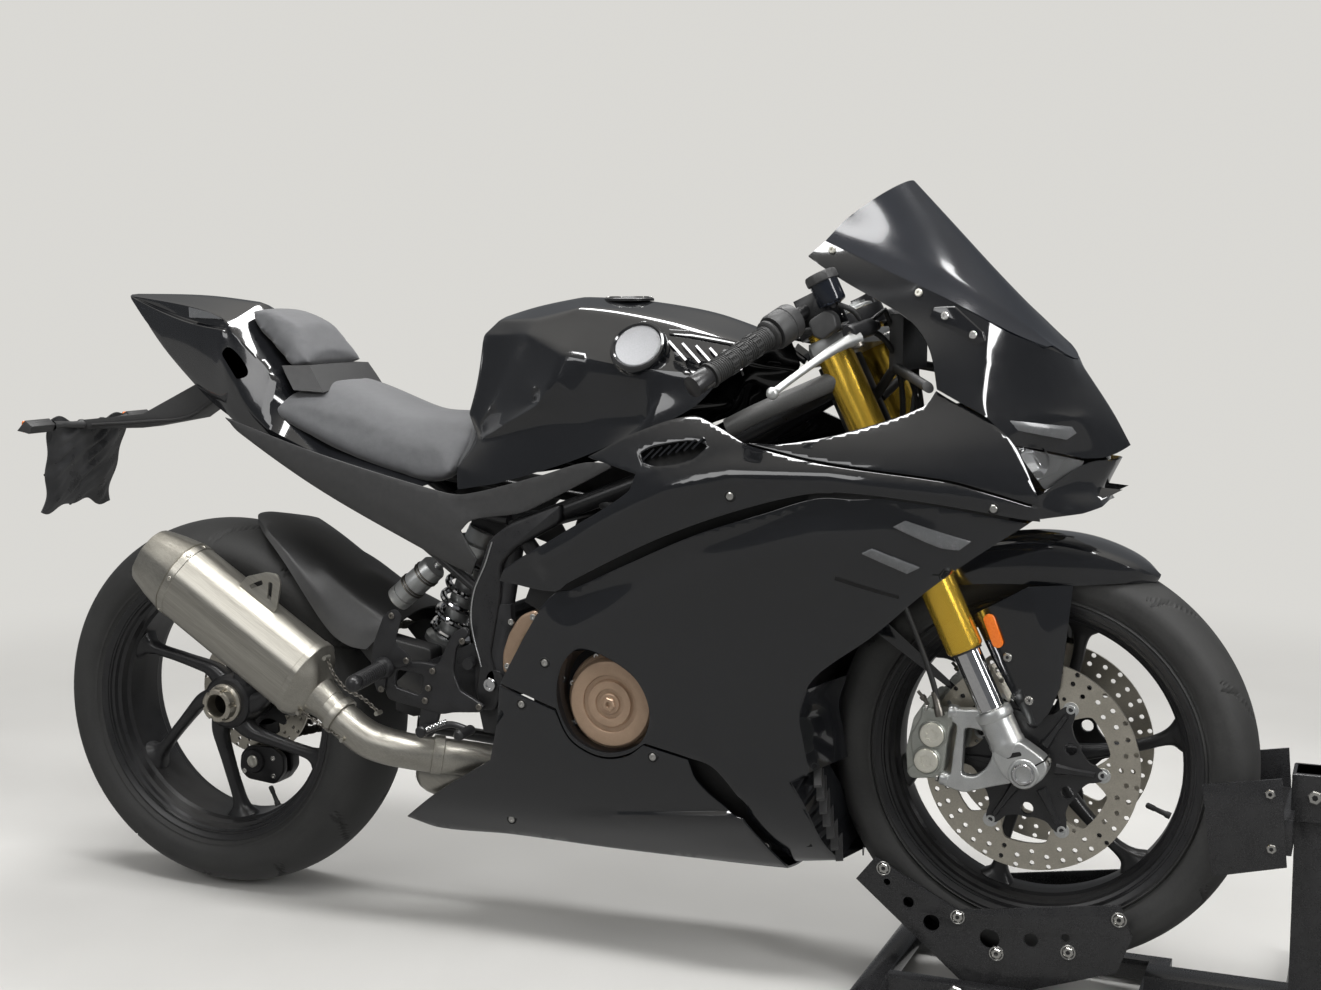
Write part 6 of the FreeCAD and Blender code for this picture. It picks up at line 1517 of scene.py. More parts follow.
screwHeads("canRivets", [(p, p - rivetCentre) for p in rivetLoop[::len(rivetLoop) // muffler["rivetCount"]]], "root",
    4.2, "brushed_can")
tabRing = [(140, 543), (161, 566), (198, 575), (219, 573), (225, 560), (217, 519), (203, 506), (170, 520)]
casting("silencerTab", tabRing, [[(166, 553), (190, 562), (192, 555), (168, 546)],
    [(203, 560), (210, 558), (206, 530), (199, 532)]], -190, -186, "root", "brushed_can", bevel=0.8, soft=5,
    segments=2)
pipe("linkPipe", [(296, -172, 368), (330, -171, 340), (372, -166, 314), (438, -150, 299), (520, -106, 284),
    (600, -68, 268), (660, -44, 258)], 27, "root", "brushed_can", ("exhaust_pipe",), around=36,
    radii=[27, 28, 29, 28, 28, 27, 27])
turnedAbout("pipeCollar", [(28, -7), (31.5, -6), (32.5, 0), (31.5, 6), (28, 7)], (316, -172, 352), (0.82, 0, -0.57),
    "root", "brushed_can", segments=44)
turnedAbout("pipeBand", [(28.4, -9), (30.6, -8), (30.6, 8), (28.4, 9)], (470, -134, 294), (0.86, 0.48, -0.16), "root",
    "brushed_can", segments=44)
collector = {"steps": 12, "radius": 36, "half": 62, "fullness": 0.75}
bowl = []
for k in range(collector["steps"] + 1):
    t = math.pi * k / collector["steps"]
    share = max(math.sin(t) ** collector["fullness"], 0.001)
    bowl.append((share * collector["radius"], -collector["half"] * math.cos(t)))
turnedAbout("collectorBowl", bowl, (470, -84, 250), (0.97, 0.1, 0.06), "root", "brushed_can", segments=40)
springLines = [[(314, -199, 449), (323, -199, 427), (344, -197, 402), (374, -192, 387), (397, -186, 366)],
    [(263, -200, 358), (294, -198, 343), (337, -193, 320)]]
for n, line in enumerate(springLines):
    path = curveThrough(line, 5.2, closed=False)
    spots = []
    for i, q in enumerate(path):
        way = path[min(i + 1, len(path) - 1)] - path[max(i - 1, 0)]
        spots.append((q, (0, 1, 0) if i % 2 else way.cross(Vector((0, 1, 0))), way))
    grown("pipeSpring.%d" % n, "ring", spots, "root", "chain_steel", Radius=0.0026, Wire=0.0009, Stretch=1.5)
    for q in (line[0], line[-1]):
        turnedAbout("springHook.%d%d" % (n, q is line[-1]), [(0, -9), (3.4, -9), (3.4, 6), (0, 6)], q, (0, 1, 0),
            "root", "brushed_can", segments=14)
print("silencer and pipe made")

# Hugger: crown, fold, ridge and flared lip from the rear tip forward
huggerRows = [
    ((62, 0, 643), (66, -22, 642), (80, -40, 637), (83, -45, 631)),
    ((106, 0, 643), (110, -48, 637), (122, -78, 627), (121, -83, 619)),
    ((170, 0, 619), (170, -66, 608), (172, -93, 592), (165, -98, 583)),
    ((217, 0, 592), (216, -76, 576), (211, -101, 554), (203, -105, 538)),
    ((263, 0, 566), (262, -80, 545), (254, -102, 512), (234, -106, 496)),
    ((309, 0, 540), (306, -84, 515), (291, -103, 483), (264, -108, 462)),
    ((345, 0, 522), (344, -86, 500), (325, -105, 476), (301, -112, 447)),
    ((372, 0, 505), (372, -88, 486), (365, -106, 482), (331, -114, 447)),
]
cage("huggerShell", [p for row in huggerRows for p in row], gridFaces(8, 4), "root", "matte_black",
    replaces=("hugger",), levels=3, crease=24, weight=0.75, wall=3.5)
footRing = [(300, 452), (340, 470), (392, 460), (440, 452), (440, 430), (412, 420), (330, 420)]
for s, word in bothSides:
    casting("huggerFoot." + word, footRing, [], s * 60, s * 98, "root", "matte_black", bevel=3, soft=8)

# Frame member behind the fairing, with a raised edge line
memberEdge = [(589, 640), (576, 604), (557, 562), (552, 513), (568, 448)]
memberRing = [(583, 644), (569, 605), (550, 563), (545, 512), (562, 446), (556, 405), (566, 380), (590, 380),
    (600, 405), (593, 439), (583, 468), (601, 557), (602, 607), (631, 635), (703, 674), (703, 703), (615, 667)]
for s, word in bothSides:
    casting("frameMember." + word, memberRing, [], s * 146, s * 168, "root", "black_metal", bevel=5, soft=10)
    edge = [(x, s * 168.6, z) for x, z in curveThrough(memberEdge, 8, closed=False)]
    pipe("memberLine." + word, edge, 1.1, "root", "cast_silver", around=8)
    turnedAbout("pivotBolt." + word, [(0, -4), (10.5, -4), (10.5, 2.5), (9.4, 4), (6.2, 4), (5.6, 1), (0, 1)],
        (583, s * 169, 422), (0, s, 0), "root", "bright_steel", segments=30)

# Rearsets: plate, heel guard, ribbed peg, pedal and its spring
pegRibs = [20 + 6.4 * k for k in range(12)]
plateRing = [(407, 444), (403, 416), (412, 388), (506, 372), (526, 377), (572, 381), (580, 391), (560, 402),
    (538, 412), (527, 439), (532, 478), (556, 500), (548, 512), (526, 499), (501, 448), (471, 451)]
plateHole = [(428, 436), (424, 408), (470, 398), (478, 432)]
heelRing = [(396, 396), (384, 430), (388, 470), (410, 522), (430, 532), (442, 522), (428, 478), (453, 462),
    (457, 448), (436, 440), (414, 440), (409, 404)]
for s, word in bothSides:
    casting("setPlate." + word, plateRing, [plateHole], s * 176, s * 184, "root", "black_metal",
        replaces=("rearset_%s" % word,), bevel=2, soft=8)
    casting("heelGuard." + word, heelRing, [], s * 184.5, s * 187, "root", "black_metal", bevel=0.8, soft=8,
        segments=2)
    spots = [((x, s * 186.5, z), (0, s, 0)) for x, z in ((572, 390), (545, 489), (493, 439), (485, 412), (479, 392))]
    spots += [((x, s * 188, z), (0, s, 0)) for x, z in ((448, 452), (424, 520), (403, 404))]
    screwHeads("setScrews." + word, spots, "root", 5, "chain_steel")
    turnedAbout("setSpacer." + word, [(0, -12), (9, -12), (9, 4), (0, 4)], (548, s * 172, 452), (0, s, 0), "root",
        "black_metal", segments=24)
    pegStart = Vector((408, s * 186, 438))
    pegWay = Vector((0.10, s, -0.03)).normalized()
    turnedAbout("pegStem." + word, [(0, -4), (17, -4), (17, 6), (14, 12), (10, 14), (9, 16), (9, 96), (0, 96)],
        pegStart, pegWay, "root", "black_metal", segments=28)
    grown("pegRibs." + word, "ring", [(pegStart + pegWay * d, pegWay) for d in pegRibs], "root", "black_metal",
        Radius=0.0105, Wire=0.0027)
    turnedAbout("pegBall." + word, [(0.001, -13), (7, -11), (11.6, -6), (13, 0), (11.6, 6), (7, 11), (0.001, 13)],
        pegStart + pegWay * 103, pegWay, "root", "black_metal", segments=28)
    pipe("pedal." + word, [(478, s * 192, 346), (500, s * 194, 354), (530, s * 196, 362), (562, s * 197, 356)], 5.5,
        "root", "black_metal", around=18, radii=[8, 6, 5, 5])
    turnedAbout("pedalPin." + word, [(0, -18), (9, -18), (9, 12), (7.5, 14), (0, 14)], (478, s * 188, 346), (0, s, 0),
        "root", "black_metal", segments=26)
    turnedAbout("pedalToe." + word, [(0, -4), (7, -3), (8, 0), (7.4, 14), (8, 30), (8.4, 38), (5, 41), (0, 41)],
        (562, s * 195, 356), (0, s, 0), "root", "black_metal", segments=26)
    casting("pedalLug." + word, [(465, 350), (470, 385), (492, 392), (505, 384), (496, 352), (488, 334), (470, 334)],
        [], s * 176, s * 183.5, "root", "black_metal", bevel=2, soft=8)
    springWay = Vector((34, 0, 15))
    grown("pedalSpring." + word, "coil", [((489, s * 200, 351), springWay)], "root", "bright_steel", Radius=0.0036,
        Wire=0.0009, Height=springWay.length / 1000, Turns=11.0)
print("frame member and rearsets made")

# Shock: damper, coil, collars and the reservoir beside it
shockCoil = {"low": 40, "loss": 78}
shockTop, shockLow = Vector((490, 0, 634)), Vector((404, 0, 418))
shockWay = (shockTop - shockLow).normalized()
reach = (shockTop - shockLow).length
turnedAbout("shockBody", [(0, 0), (17, 0), (19, 3), (19, 26), (38, 27), (38, 36), (24, 38), (20, 60),
    (20, reach - 40), (26, reach - 36), (38, reach - 34), (38, reach - 24), (30, reach - 22), (28, reach),
    (0, reach)], shockLow, shockWay, "root", "cast_silver", ("shock",), segments=48)
grown("shockCoil", "coil", [(shockLow + shockWay * shockCoil["low"], shockWay)], "root", "bright_steel", Radius=0.031,
    Wire=0.0056, Height=(reach - shockCoil["loss"]) / 1000, Turns=6.0)
resStart, resWay = Vector((368, -74, 524)), Vector((72, 0, 60)).normalized()
turnedAbout("shockReservoir", [(0, -1), (14, -1), (15, 1.5), (19, 1.5), (20.5, 0), (21, 3), (21, 14), (19.5, 15),
    (19.5, 18), (21, 19), (21, 86), (19, 89), (0, 89)], resStart, resWay, "root", "cast_silver", segments=48)
grown("reservoirClamps", "ring", [(resStart + resWay * d, resWay) for d in (34, 39, 66, 71)], "root", "chain_steel",
    Radius=0.0215, Wire=0.0016)
pipe("reservoirArm", [(430, -74, 574), (450, -46, 594), (468, -18, 600)], 8, "root", "cast_silver", around=18)

# Engine covers: the stepped round cover and the crescent above it
clutch = (790, 415)


def coverProfile(face):
    # From the engine out: the cover's flange, its steps, the sunk ring and the centre.
    return [(75, 128), (75, face - 22), (73, face - 18), (70, face - 16), (67, face - 14), (64.5, face - 4),
        (62, face - 1), (58, face), (44, face + 1), (42.5, face + 0.4), (41.5, face - 3), (36, face - 3.6),
        (34.5, face - 2), (33.5, face + 1.5), (24, face + 2.6), (22, face + 2), (21, face - 1), (16, face - 1.4),
        (15, face + 1.2), (13.8, face + 1.8), (0.001, face + 1.8)]


turnedAbout("clutchCover", coverProfile(190), (clutch[0], 0, clutch[1]), (0, -1, 0), "root", "bronze",
    ("engine_covers",), segments=96, smooth=26)
turnedAbout("leftCover", coverProfile(176)[:-1] + [(0.001, 177.8)], (clutch[0] + 22, 0, clutch[1]), (0, 1, 0), "root",
    "bronze", segments=96, smooth=26)
grown("coverBolt", "head", [((clutch[0], -193.5, clutch[1]), (0, -1, 0))], "root", "bronze", Radius=0.0105,
    Height=0.007, Sides=6, Recess=0.5)
coverSpots = [polarPoint(71, a) for a in (18, 66, 114, 162, 210, 258, 306, 342)]
screwHeads("coverScrews", [((clutch[0] + x, -172.5, clutch[1] + z), (0, -1, 0)) for x, z in coverSpots] +
    [((842, -178, 450), (0, -1, 0))], "root", 4.6)
casting("coverFin", [(764, 486), (776, 494), (800, 496), (822, 488), (815, 478), (790, 484)], [], -168, -180, "root",
    "bronze", bevel=2, soft=5)
crescent = [(602, 440), (602, 471), (614, 504), (632, 530), (657, 541), (666, 534), (664, 512), (655, 500),
    (645, 505), (631, 479), (622, 440)]
casting("crescentCover", crescent, [], -150, -166, "root", "bronze", bevel=4, soft=10)
screwHeads("crescentBolts", [((x, -167, z), (0, -1, 0)) for x, z in ((618, 520), (611, 452), (655, 530))], "root", 5)
print("shock and engine covers made")

# Chain: links along the run round both sprockets
drive = {"start": (0, rearRadius), "end": (690, 448), "big": 94, "small": 40, "y": 137, "pitch": 15.9}


def chainPath():
    sx, sz = drive["start"]
    ex, ez = drive["end"]
    length = math.hypot(ex - sx, ez - sz)
    lean = math.atan2(ez - sz, ex - sx)
    opening = math.acos((drive["big"] - drive["small"]) / length)
    line = []
    steps = 24
    for k in range(steps + 1):
        a = lean - opening + (2 * opening) * k / steps
        line.append((ex + drive["small"] * math.cos(a), ez + drive["small"] * math.sin(a)))
    for k in range(2 * steps + 1):
        a = lean + opening + (2 * math.pi - 2 * opening) * k / (2 * steps)
        line.append((sx + drive["big"] * math.cos(a), sz + drive["big"] * math.sin(a)))
    return line


def evenly(line, pitch):
    # Places at even steps along a closed line, with the way it runs at each.
    total = sum(math.dist(a, b) for a, b in zip(line, line[1:] + line[:1]))
    count = 2 * round(total / pitch / 2)
    spots, gone, i = [], 0.0, 0
    a, b = line[0], line[1]
    for k in range(count):
        want = total * k / count
        while gone + math.dist(a, b) < want:
            gone += math.dist(a, b)
            i += 1
            a, b = line[i % len(line)], line[(i + 1) % len(line)]
        t = (want - gone) / math.dist(a, b)
        spots.append(((a[0] + (b[0] - a[0]) * t, a[1] + (b[1] - a[1]) * t), (b[0] - a[0], b[1] - a[1])))
    return spots


links = evenly(chainPath(), drive["pitch"])
for n, word in enumerate(("outer", "inner")):
    spots = [((x, drive["y"], z), (0, 1, 0), (runX, 0, runZ)) for (x, z), (runX, runZ) in links[n::2]]
    grown("chain." + word, "link", spots, "root", "chain_steel", ("chain",) if n == 0 else (),
        Half=0.0072 if n == 0 else 0.0046)
teeth = {"count": 42, "radius": 89.5, "depth": 4.2, "points": 6}
toothRing = []
for k in range(teeth["count"] * teeth["points"]):
    a = 2 * math.pi * k / (teeth["count"] * teeth["points"])
    r = teeth["radius"] + teeth["depth"] * math.cos(teeth["count"] * a)
    toothRing.append((r * math.cos(a), r * math.sin(a)))
sprocketHoles = [ringOf(30, 36)] + [ringOf(9, 18, centre=polarPoint(58, 60 * n)) for n in range(6)]
meshPiece("sprocketPlate", *shifted(flatPlate(toothRing, sprocketHoles, 134.5, 139.5), 0, 0, rearRadius),
    "rear_wheel", "chain_steel", ("rear_sprocket",), smooth=30)
lathe("sprocketHub", [(24.4, 124), (44, 124), (46, 128), (46, 134), (34, 142), (24.4, 146)], (0, rearRadius),
    "rear_wheel", "black_metal", segments=64)
nutSpots = [polarPoint(58, 60 * n + 30) for n in range(6)]
grown("sprocketNuts", "head", [((x, 140, rearRadius + z), (0, 1, 0)) for x, z in nutSpots], "rear_wheel", "screw",
    Radius=0.007, Height=0.006, Sides=6, Recess=0.6)
turnedAbout("driveSprocket", [(0.001, 128), (16, 128), (16, 133), (36, 134), (36, 140), (17, 141), (15, 147),
    (0.001, 147)], (690, 0, 448), (0, 1, 0), "root", "chain_steel", segments=44)
print("chain and sprockets made")


# Fairing: near-black sheets of painted shade behind the gaps, front wall with louvres, keel, blades, a slot of
# painted shade and screws
behind = {"shadeSheetDepth": 24, "scoop": 32, "seam": 12, "vent": 13, "window": (784, 415), "grow": 1.13}
midX, midZ = behind["window"]
windowOut = [(midX + (x - midX) * behind["grow"], midZ + (z - midZ) * behind["grow"]) for x, z in coverWindow]
shadeSheetRing = [(722, 345), (700, 400), (712, 455), (742, 560), (850, 634), (1000, 684), (1180, 706), (1238, 640),
    (1118, 520), (1068, 450), (1064, 330), (1074, 210), (960, 188), (800, 188), (705, 250)]
# A near-black sheet inside the skin: painted shade seen through the gaps and round the window
sideSheet("fairingShadeSheet", shadeSheetRing, lambda x, z: skinWidth(x, z) - behind["shadeSheetDepth"], "root", "painted_shade",
    holes=(windowOut,), step=22, wall=1.5, bevel=0)
scoopRing = [(640, 552), (664, 600), (716, 648), (850, 726), (1100, 756), (1240, 745), (1190, 692), (1000, 664),
    (850, 608), (745, 548), (690, 530)]
# A near-black sheet of painted shade behind the scoop
sideSheet("scoopShadeSheet", scoopRing, lambda x, z: skinWidth(x, z) - behind["scoop"], "root", "painted_shade", step=22, wall=1.5,
    bevel=0)
frontEdge = [(1092, 463), (1079, 423), (1082, 385), (1087, 338), (1062, 321), (1077, 281), (1091, 215), (1104, 182)]
lip("frontWall", frontEdge, mainWidth, 105, "root", "gloss_black", drift=(26, 0))
louvres = {"count": 7, "x": 1090, "top": 336, "pitch": 21, "slope": 0.10, "wall": 1085, "inset": 34}
slats = {"count": 7, "x": 868, "z": 785, "pitch": 13, "rise": 3.1, "wall": 790, "inset": 7}
for s, word in bothSides:
    spots = []
    for k in range(louvres["count"]):
        z = louvres["top"] - louvres["pitch"] * k
        x = louvres["x"] + (louvres["top"] - z) * louvres["slope"]
        spots.append(((x, s * (mainWidth(louvres["wall"], z) - louvres["inset"]), z), (0.95, -0.25 * s, 0.1),
            (0.18, 0.8 * s, -0.55)))
    grown("wallLouvres." + word, "bar", spots, "root", "matte_black", Length=0.068, Width=0.005, Depth=0.011)
    spots = []
    for k in range(slats["count"]):
        x, z = slats["x"] + slats["pitch"] * k, slats["z"] + slats["rise"] * k
        spots.append(((x, s * (bandWidth(x, slats["wall"]) - slats["inset"]), z), (0.1, s, 0.1), (0.62, 0, 0.62)))
    grown("sideVentSlats." + word, "bar", spots, "root", "gloss_black", Length=0.022, Width=0.0026, Depth=0.010)
# Strips of painted shade behind the seams above and below the band
seamShadeStrips = {
    "upper": [(1068, 801), (1128, 796), (1291, 777), (1345, 761), (1392, 742), (1392, 718), (1340, 735), (1290, 751),
        (1128, 770), (1068, 780)],
    "lower": [(1108, 757), (1146, 759), (1210, 756), (1297, 744), (1366, 728), (1364, 706), (1290, 716), (1205, 728),
        (1146, 731), (1108, 731)],
}
for word, ring in seamShadeStrips.items():
    sideSheet("seamShadeStrip." + word, ring, lambda x, z: skinWidth(x, z) - behind["seam"], "root", "painted_shade", step=12,
        wall=1.5, bevel=0)
# Near-black painted shade behind the vent's slats
sideSheet("ventShadeBack", ventRing, lambda x, z: bandWidth(x, z) - behind["vent"], "root", "painted_shade", wall=1.5, bevel=0)
bladeLook = {"raise": 5, "wall": 6}
bladeRings = [[(1224, 702), (1240, 711), (1322, 683), (1307, 671), (1283, 675)],
    [(1182, 664), (1196, 671), (1258, 647), (1241, 638)]]
for n, ring in enumerate(bladeRings):
    sideSheet("fairingBlade.%d" % n, ring, lambda x, z: mainWidth(x, z) + bladeLook["raise"], "root", "ridge", step=6,
        wall=bladeLook["wall"], bevel=1.4)
# A near-black strip laid on the main panel: a painted shadow of a slot
sideSheet("fairingSlotShade", [(1142, 625), (1184, 613), (1227, 602), (1228, 606), (1185, 618), (1144, 630)],
    lambda x, z: mainWidth(x, z) + 0.7, "root", "painted_shade", step=5, wall=1, bevel=0)
keel = {"start": 606, "end": 1034, "sag": 12, "top": 172, "inset": 1.5}
verts = []
for i in range(15):
    x = keel["start"] + (keel["end"] - keel["start"]) * i / 14
    for j in range(13):
        f = -1 + j / 6
        verts.append((x, f * (bellyWidth(x, keel["top"] - 1) - keel["inset"]),
            keel["top"] - keel["sag"] * (1 - f * f)))
keelPiece = meshPiece("bellyKeel", verts, gridFaces(15, 13), "root", "gloss_black")
addWall(keelPiece, 3, 0)
baked(keelPiece)
screwPlaces = [(mainWidth, 693, 599), (bellyWidth, 648, 403), (bellyWidth, 597, 204), (bellyWidth, 860, 344),
    (mainWidth, 1006, 205), (mainWidth, 690, 470), (bandWidth, 1350, 728), (bandWidth, 1000, 735)]


def fairingSpots(out):
    # Screws on the right side, and on the left those of the main panel.
    return [((x, s * (w(x, z) + out), z), (0, s, 0)) for s in (-1, 1) for w, x, z in screwPlaces
        if s < 0 or w is mainWidth]


screwHeads("fairingScrews", fairingSpots(1.6), "root", 5.2)
# A near-black ring round each screw: painted shade in its well
grown("screwWells", "ring", fairingSpots(0.6), "root", "painted_shade", Radius=0.0068, Wire=0.0013)
print("fairing details made")

# Tank: round disc in its raised rim, slatted vents, filler cap and its screws
tankSlats = {"count": 5, "x": 893, "y": 176, "z": 925, "pitch": 20, "narrow": 0.10, "fall": 0.16}
for s, word in bothSides:
    face = Vector((0.05, s * 0.83, 0.55)).normalized()
    spot = Vector((827, s * 166, 934))
    turnedAbout("tankRim." + word, [(34.5, -12), (34.5, 2.5), (36.5, 4.5), (39.5, 3.8), (42, 0.5), (43, -12)], spot,
        face, "root", "gloss_black", segments=64)
    turnedAbout("tankDisc." + word, [(34.4, -8), (34.2, 1.6), (32.6, 2.4), (30.5, 2.0), (0.001, 2.6)], spot, face,
        "root", "badge", segments=64)
    spots = []
    for k in range(tankSlats["count"]):
        gone = tankSlats["pitch"] * k
        spots.append(((tankSlats["x"] + gone, s * (tankSlats["y"] - tankSlats["narrow"] * gone),
            tankSlats["z"] - tankSlats["fall"] * gone), (0.12, s * 0.8, 0.6), (0.66, s * 0.30, -0.55)))
    grown("tankSlats." + word, "bar", spots, "root", "gloss_black", Length=0.044, Width=0.0034, Depth=0.015)
    blade = [(868, s * 150, 957), (905, s * 152, 955), (985, s * 146, 938), (988, s * 150, 931), (905, s * 160, 946),
        (872, s * 158, 950)]
    ridge = meshPiece("tankBlade." + word, blade, [(0, 1, 4, 5), (1, 2, 3, 4)], "root", "gloss_black")
    addWall(ridge, 5, 0)
    addBevel(ridge, 1.4, 2)
    baked(ridge)
capSpot = (742, 0, 1001)
turnedAbout("fuelCap", [(0.001, 3.6), (14, 3.6), (15, 2.4), (24, 2.6), (25.5, 4.2), (30, 4.0), (31, 2.4), (36, 1.9),
    (38, 0.4), (38, -3), (0.001, -3)], capSpot, (0, 0, 1), "fuel_cap", "black_metal", ("fuel_cap",), segments=64)
screwSpots = [polarPoint(33.5, a) for a in range(30, 390, 60)]
grown("capScrews", "head", [((capSpot[0] + x, y, 1003.4), (0, 0, 1)) for x, y in screwSpots], "fuel_cap", "screw",
    Radius=0.0026, Height=0.0018)
print("tank details made")

# Screen screws, and the plate over each mirror's seat
mirrorAt = {"x": 1250, "y": 161.5, "narrow": 0.04}
for s, word in bothSides:
    screwHeads("screenScrews." + word, [((1108, s * 146, 1068), (-0.3, s, 0.3)),
        ((1233, s * 158.5, 1009), (-0.2, s, 0.35))], "root", 5.4, "cap")
    plateSpots = [(1250, 976), (1255, 990), (1284, 991), (1322, 957), (1325, 946), (1314, 938), (1284, 947),
        (1262, 963)]
    mirror = meshPiece("mirrorPlate." + word, [(x, s * (mirrorAt["y"] - mirrorAt["narrow"] * (x - mirrorAt["x"])), z)
        for x, z in plateSpots], [tuple(range(8))], "root", "gloss_black")
    addWall(mirror, 8, 0)
    addBevel(mirror, 2.4, 3)
    baked(mirror)
    screwHeads("mirrorScrews." + word, [((1271, s * 165.5, 978), (0, s, 0.1)), ((1309, s * 164, 953), (0, s, 0.1))],
        "root", 5.4)

# Bars: ribbed grips with flanges, weights, switch cases, levers, reservoir, cables
gripRibs = [104 + 3.5 * k for k in range(30)]
barRun = Vector((-0.575, 0.791, -0.208)).normalized()


def barSpot(s, distance, dx=0, dz=0):
    q = Vector((-1 + dx, 129, 706 + dz)) + barRun * distance
    return forkPoint(q.x, s * q.y, q.z)


for s, word in bothSides:
    start = barSpot(s, 0)
    along = (barSpot(s, 100) - start).normalized()
    turnedAbout("gripBody." + word, [(11.3, 91), (20.5, 91), (21.5, 93), (21.5, 96), (20, 98), (16.4, 99.5),
        (15.6, 102), (15.6, 208), (17, 210), (18, 212), (18, 214), (11.3, 214)], start, along, "steering",
        "black_rubber", onRight("grips", word), segments=48)
    grown("gripRibs." + word, "ring", [(start + along * d, along) for d in gripRibs], "steering", "black_rubber",
        Radius=0.0157, Wire=0.0011)
    one = along.orthogonal().normalized()
    ways = [one * math.cos(t) + along.cross(one) * math.sin(t) for t in anglesOf(14)]
    grown("gripTeeth." + word, "bar", [(start + along * d + way * 15.8, way, along) for d in (128, 152, 176)
        for way in ways], "steering", "black_rubber", Length=0.012, Width=0.003, Depth=0.0032)
    turnedAbout("barWeight." + word, [(0.001, 215), (12, 215), (15, 218), (15, 232), (13.6, 233.5), (13.6, 236),
        (15, 237.5), (15, 243), (13.5, 245.6), (9.6, 246), (8.6, 244), (8, 236), (0.001, 236)], start, along,
        "steering", "bright_steel", segments=44)
    turnedAbout("switchCase." + word, [(11.2, 45), (20, 45), (24, 47), (25.5, 51), (25.5, 62), (24.5, 63),
        (24.5, 64.5), (25.5, 65.5), (25.5, 84), (24, 88), (11.2, 88)], start, along, "steering", "matte_black",
        onRight("controls", word), segments=36, smooth=40)
    casting("switchPod." + word, [(-6, 684), (24, 688), (32, 676), (28, 658), (2, 652), (-8, 662)], [], s * 150,
        s * 176, "steering", "matte_black", forkPoint, bevel=3, soft=6)
    grown("switchButtons." + word, "head", [(barSpot(s, d, -20, dz), forkAxis(-1, 0, 0.3))
        for d, dz in ((54, 10), (74, 10), (64, -8))], "steering", "black_rubber", Radius=0.005, Height=0.006,
        Recess=0.8)
    leverLine = ((46, 168, 634), (36, 186, 634), (16, 214, 629), (-18, 258, 617), (-52, 300, 604))
    lever = [forkPoint(x, s * w, z) for x, w, z in leverLine]
    pipe("leverBlade." + word, lever, 6, "steering", "cast_silver", onRight("levers", word), around=18,
        radii=[11, 8.5, 6.6, 5.2, 5.0])
    turnedAbout("leverTip." + word, [(0.001, -8.5), (5, -7), (8, -3), (8.6, 0), (8, 3), (5, 7), (0.001, 8.5)],
        lever[-1], lever[-1] - lever[-2], "steering", "cast_silver", segments=24)
    turnedAbout("leverPivot." + word, [(0.001, -13), (8, -13), (9.5, -11), (9.5, 11), (8, 13), (5, 13), (4.4, 11),
        (0.001, 11)], forkPoint(44, s * 170, 634), forkAxis(0.1, 0, 1), "steering", "chain_steel", segments=26)
    turnedAbout("masterBody." + word, [(0.001, -30), (10, -30), (12, -28), (12, 20), (10, 24), (7, 26), (7, 34),
        (0.001, 34)], forkPoint(52, s * 150, 644), Vector(forkAxis(0.35, 0, 0)) + Vector((0, -s * 0.8, 0)),
        "steering", "black_metal", segments=30)
    pipe("barCable." + word, [barSpot(s, 50, 6, -18), forkPoint(46, s * 118, 648), forkPoint(58, s * 70, 610),
        forkPoint(34, s * 34, 540), forkPoint(-10, s * 22, 470)], 4.2, "steering", "black_rubber", around=12)
    pipe("clutchHose." + word, [forkPoint(58, s * 120, 652), forkPoint(76, s * 84, 662), forkPoint(60, s * 36, 600),
        forkPoint(44, s * 10, 520), forkPoint(20, s * 8, 462)], 3.4, "steering", "black_rubber", around=12)
    spots = [(forkPoint(x, s * w, z), forkAxis(1, 0, 0))
        for x, w, z in ((24, 112, 676), (24, 112, 690), (26, 108, 646))]
    grown("clampBolts." + word, "head", spots, "steering", "screw", Radius=0.0048, Height=0.005)
lidRibs = {"depth": 0.7, "count": 30, "share": 0.4, "radius": 22}


def lidRib(turn, r):
    # Depth of the gaps between the lid's ribs at a place on it.
    return lidRibs["depth"] if r > lidRibs["radius"] and (turn * lidRibs["count"]) % 1 < lidRibs["share"] else 0


cup = forkPoint(34, -166, 690)
tall = forkAxis()
turnedAbout("reservoirCup", [(0.001, 0), (12, 0), (19, 3), (20, 6), (20, 34), (21.5, 35), (21.5, 44), (20, 46),
    (0.001, 46.5)], cup, tall, "steering", "smoked", segments=44)
turnedAbout("reservoirLid", [(20.4, 33), (22.6, 34), (23, 36), (23, 43), (21.5, 46.5), (12, 47.4), (0.001, 47.4)],
    cup, tall, "steering", "matte_black", segments=44, flute=lidRib)
pipe("reservoirStalk", [forkPoint(20, -152, 704), forkPoint(30, -158, 694), forkPoint(34, -164, 690)], 4.5,
    "steering", "black_metal", around=14)
pipe("reservoirHose", [forkPoint(38, -160, 689), forkPoint(52, -150, 672), forkPoint(54, -142, 656)], 4, "steering",
    "black_rubber", around=12)
yokeSpots = [forkPoint(26, s * y, z) for y, z in ((100, 646), (104, 456)) for s in (-1, 1)]
grown("yokeBolts", "head", [(q, forkAxis(1, 0, 0)) for q in yokeSpots], "steering", "screw", Radius=0.0055,
    Height=0.006)
turnedAbout("stemNut", [(0.001, 0), (17, 0), (17, 8), (15, 11), (10, 11.5), (9, 8), (0.001, 8)],
    forkPoint(-37, 0, 672), tall, "steering", "chain_steel", segments=6, smooth=20)
for s, word in bothSides:
    pipe("airDuct." + word, [(952, s * 132, 818), (1000, s * 128, 842), (1060, s * 122, 868), (1108, s * 116, 889)],
        14, "root", "sleeve", around=28)
print("cockpit made")

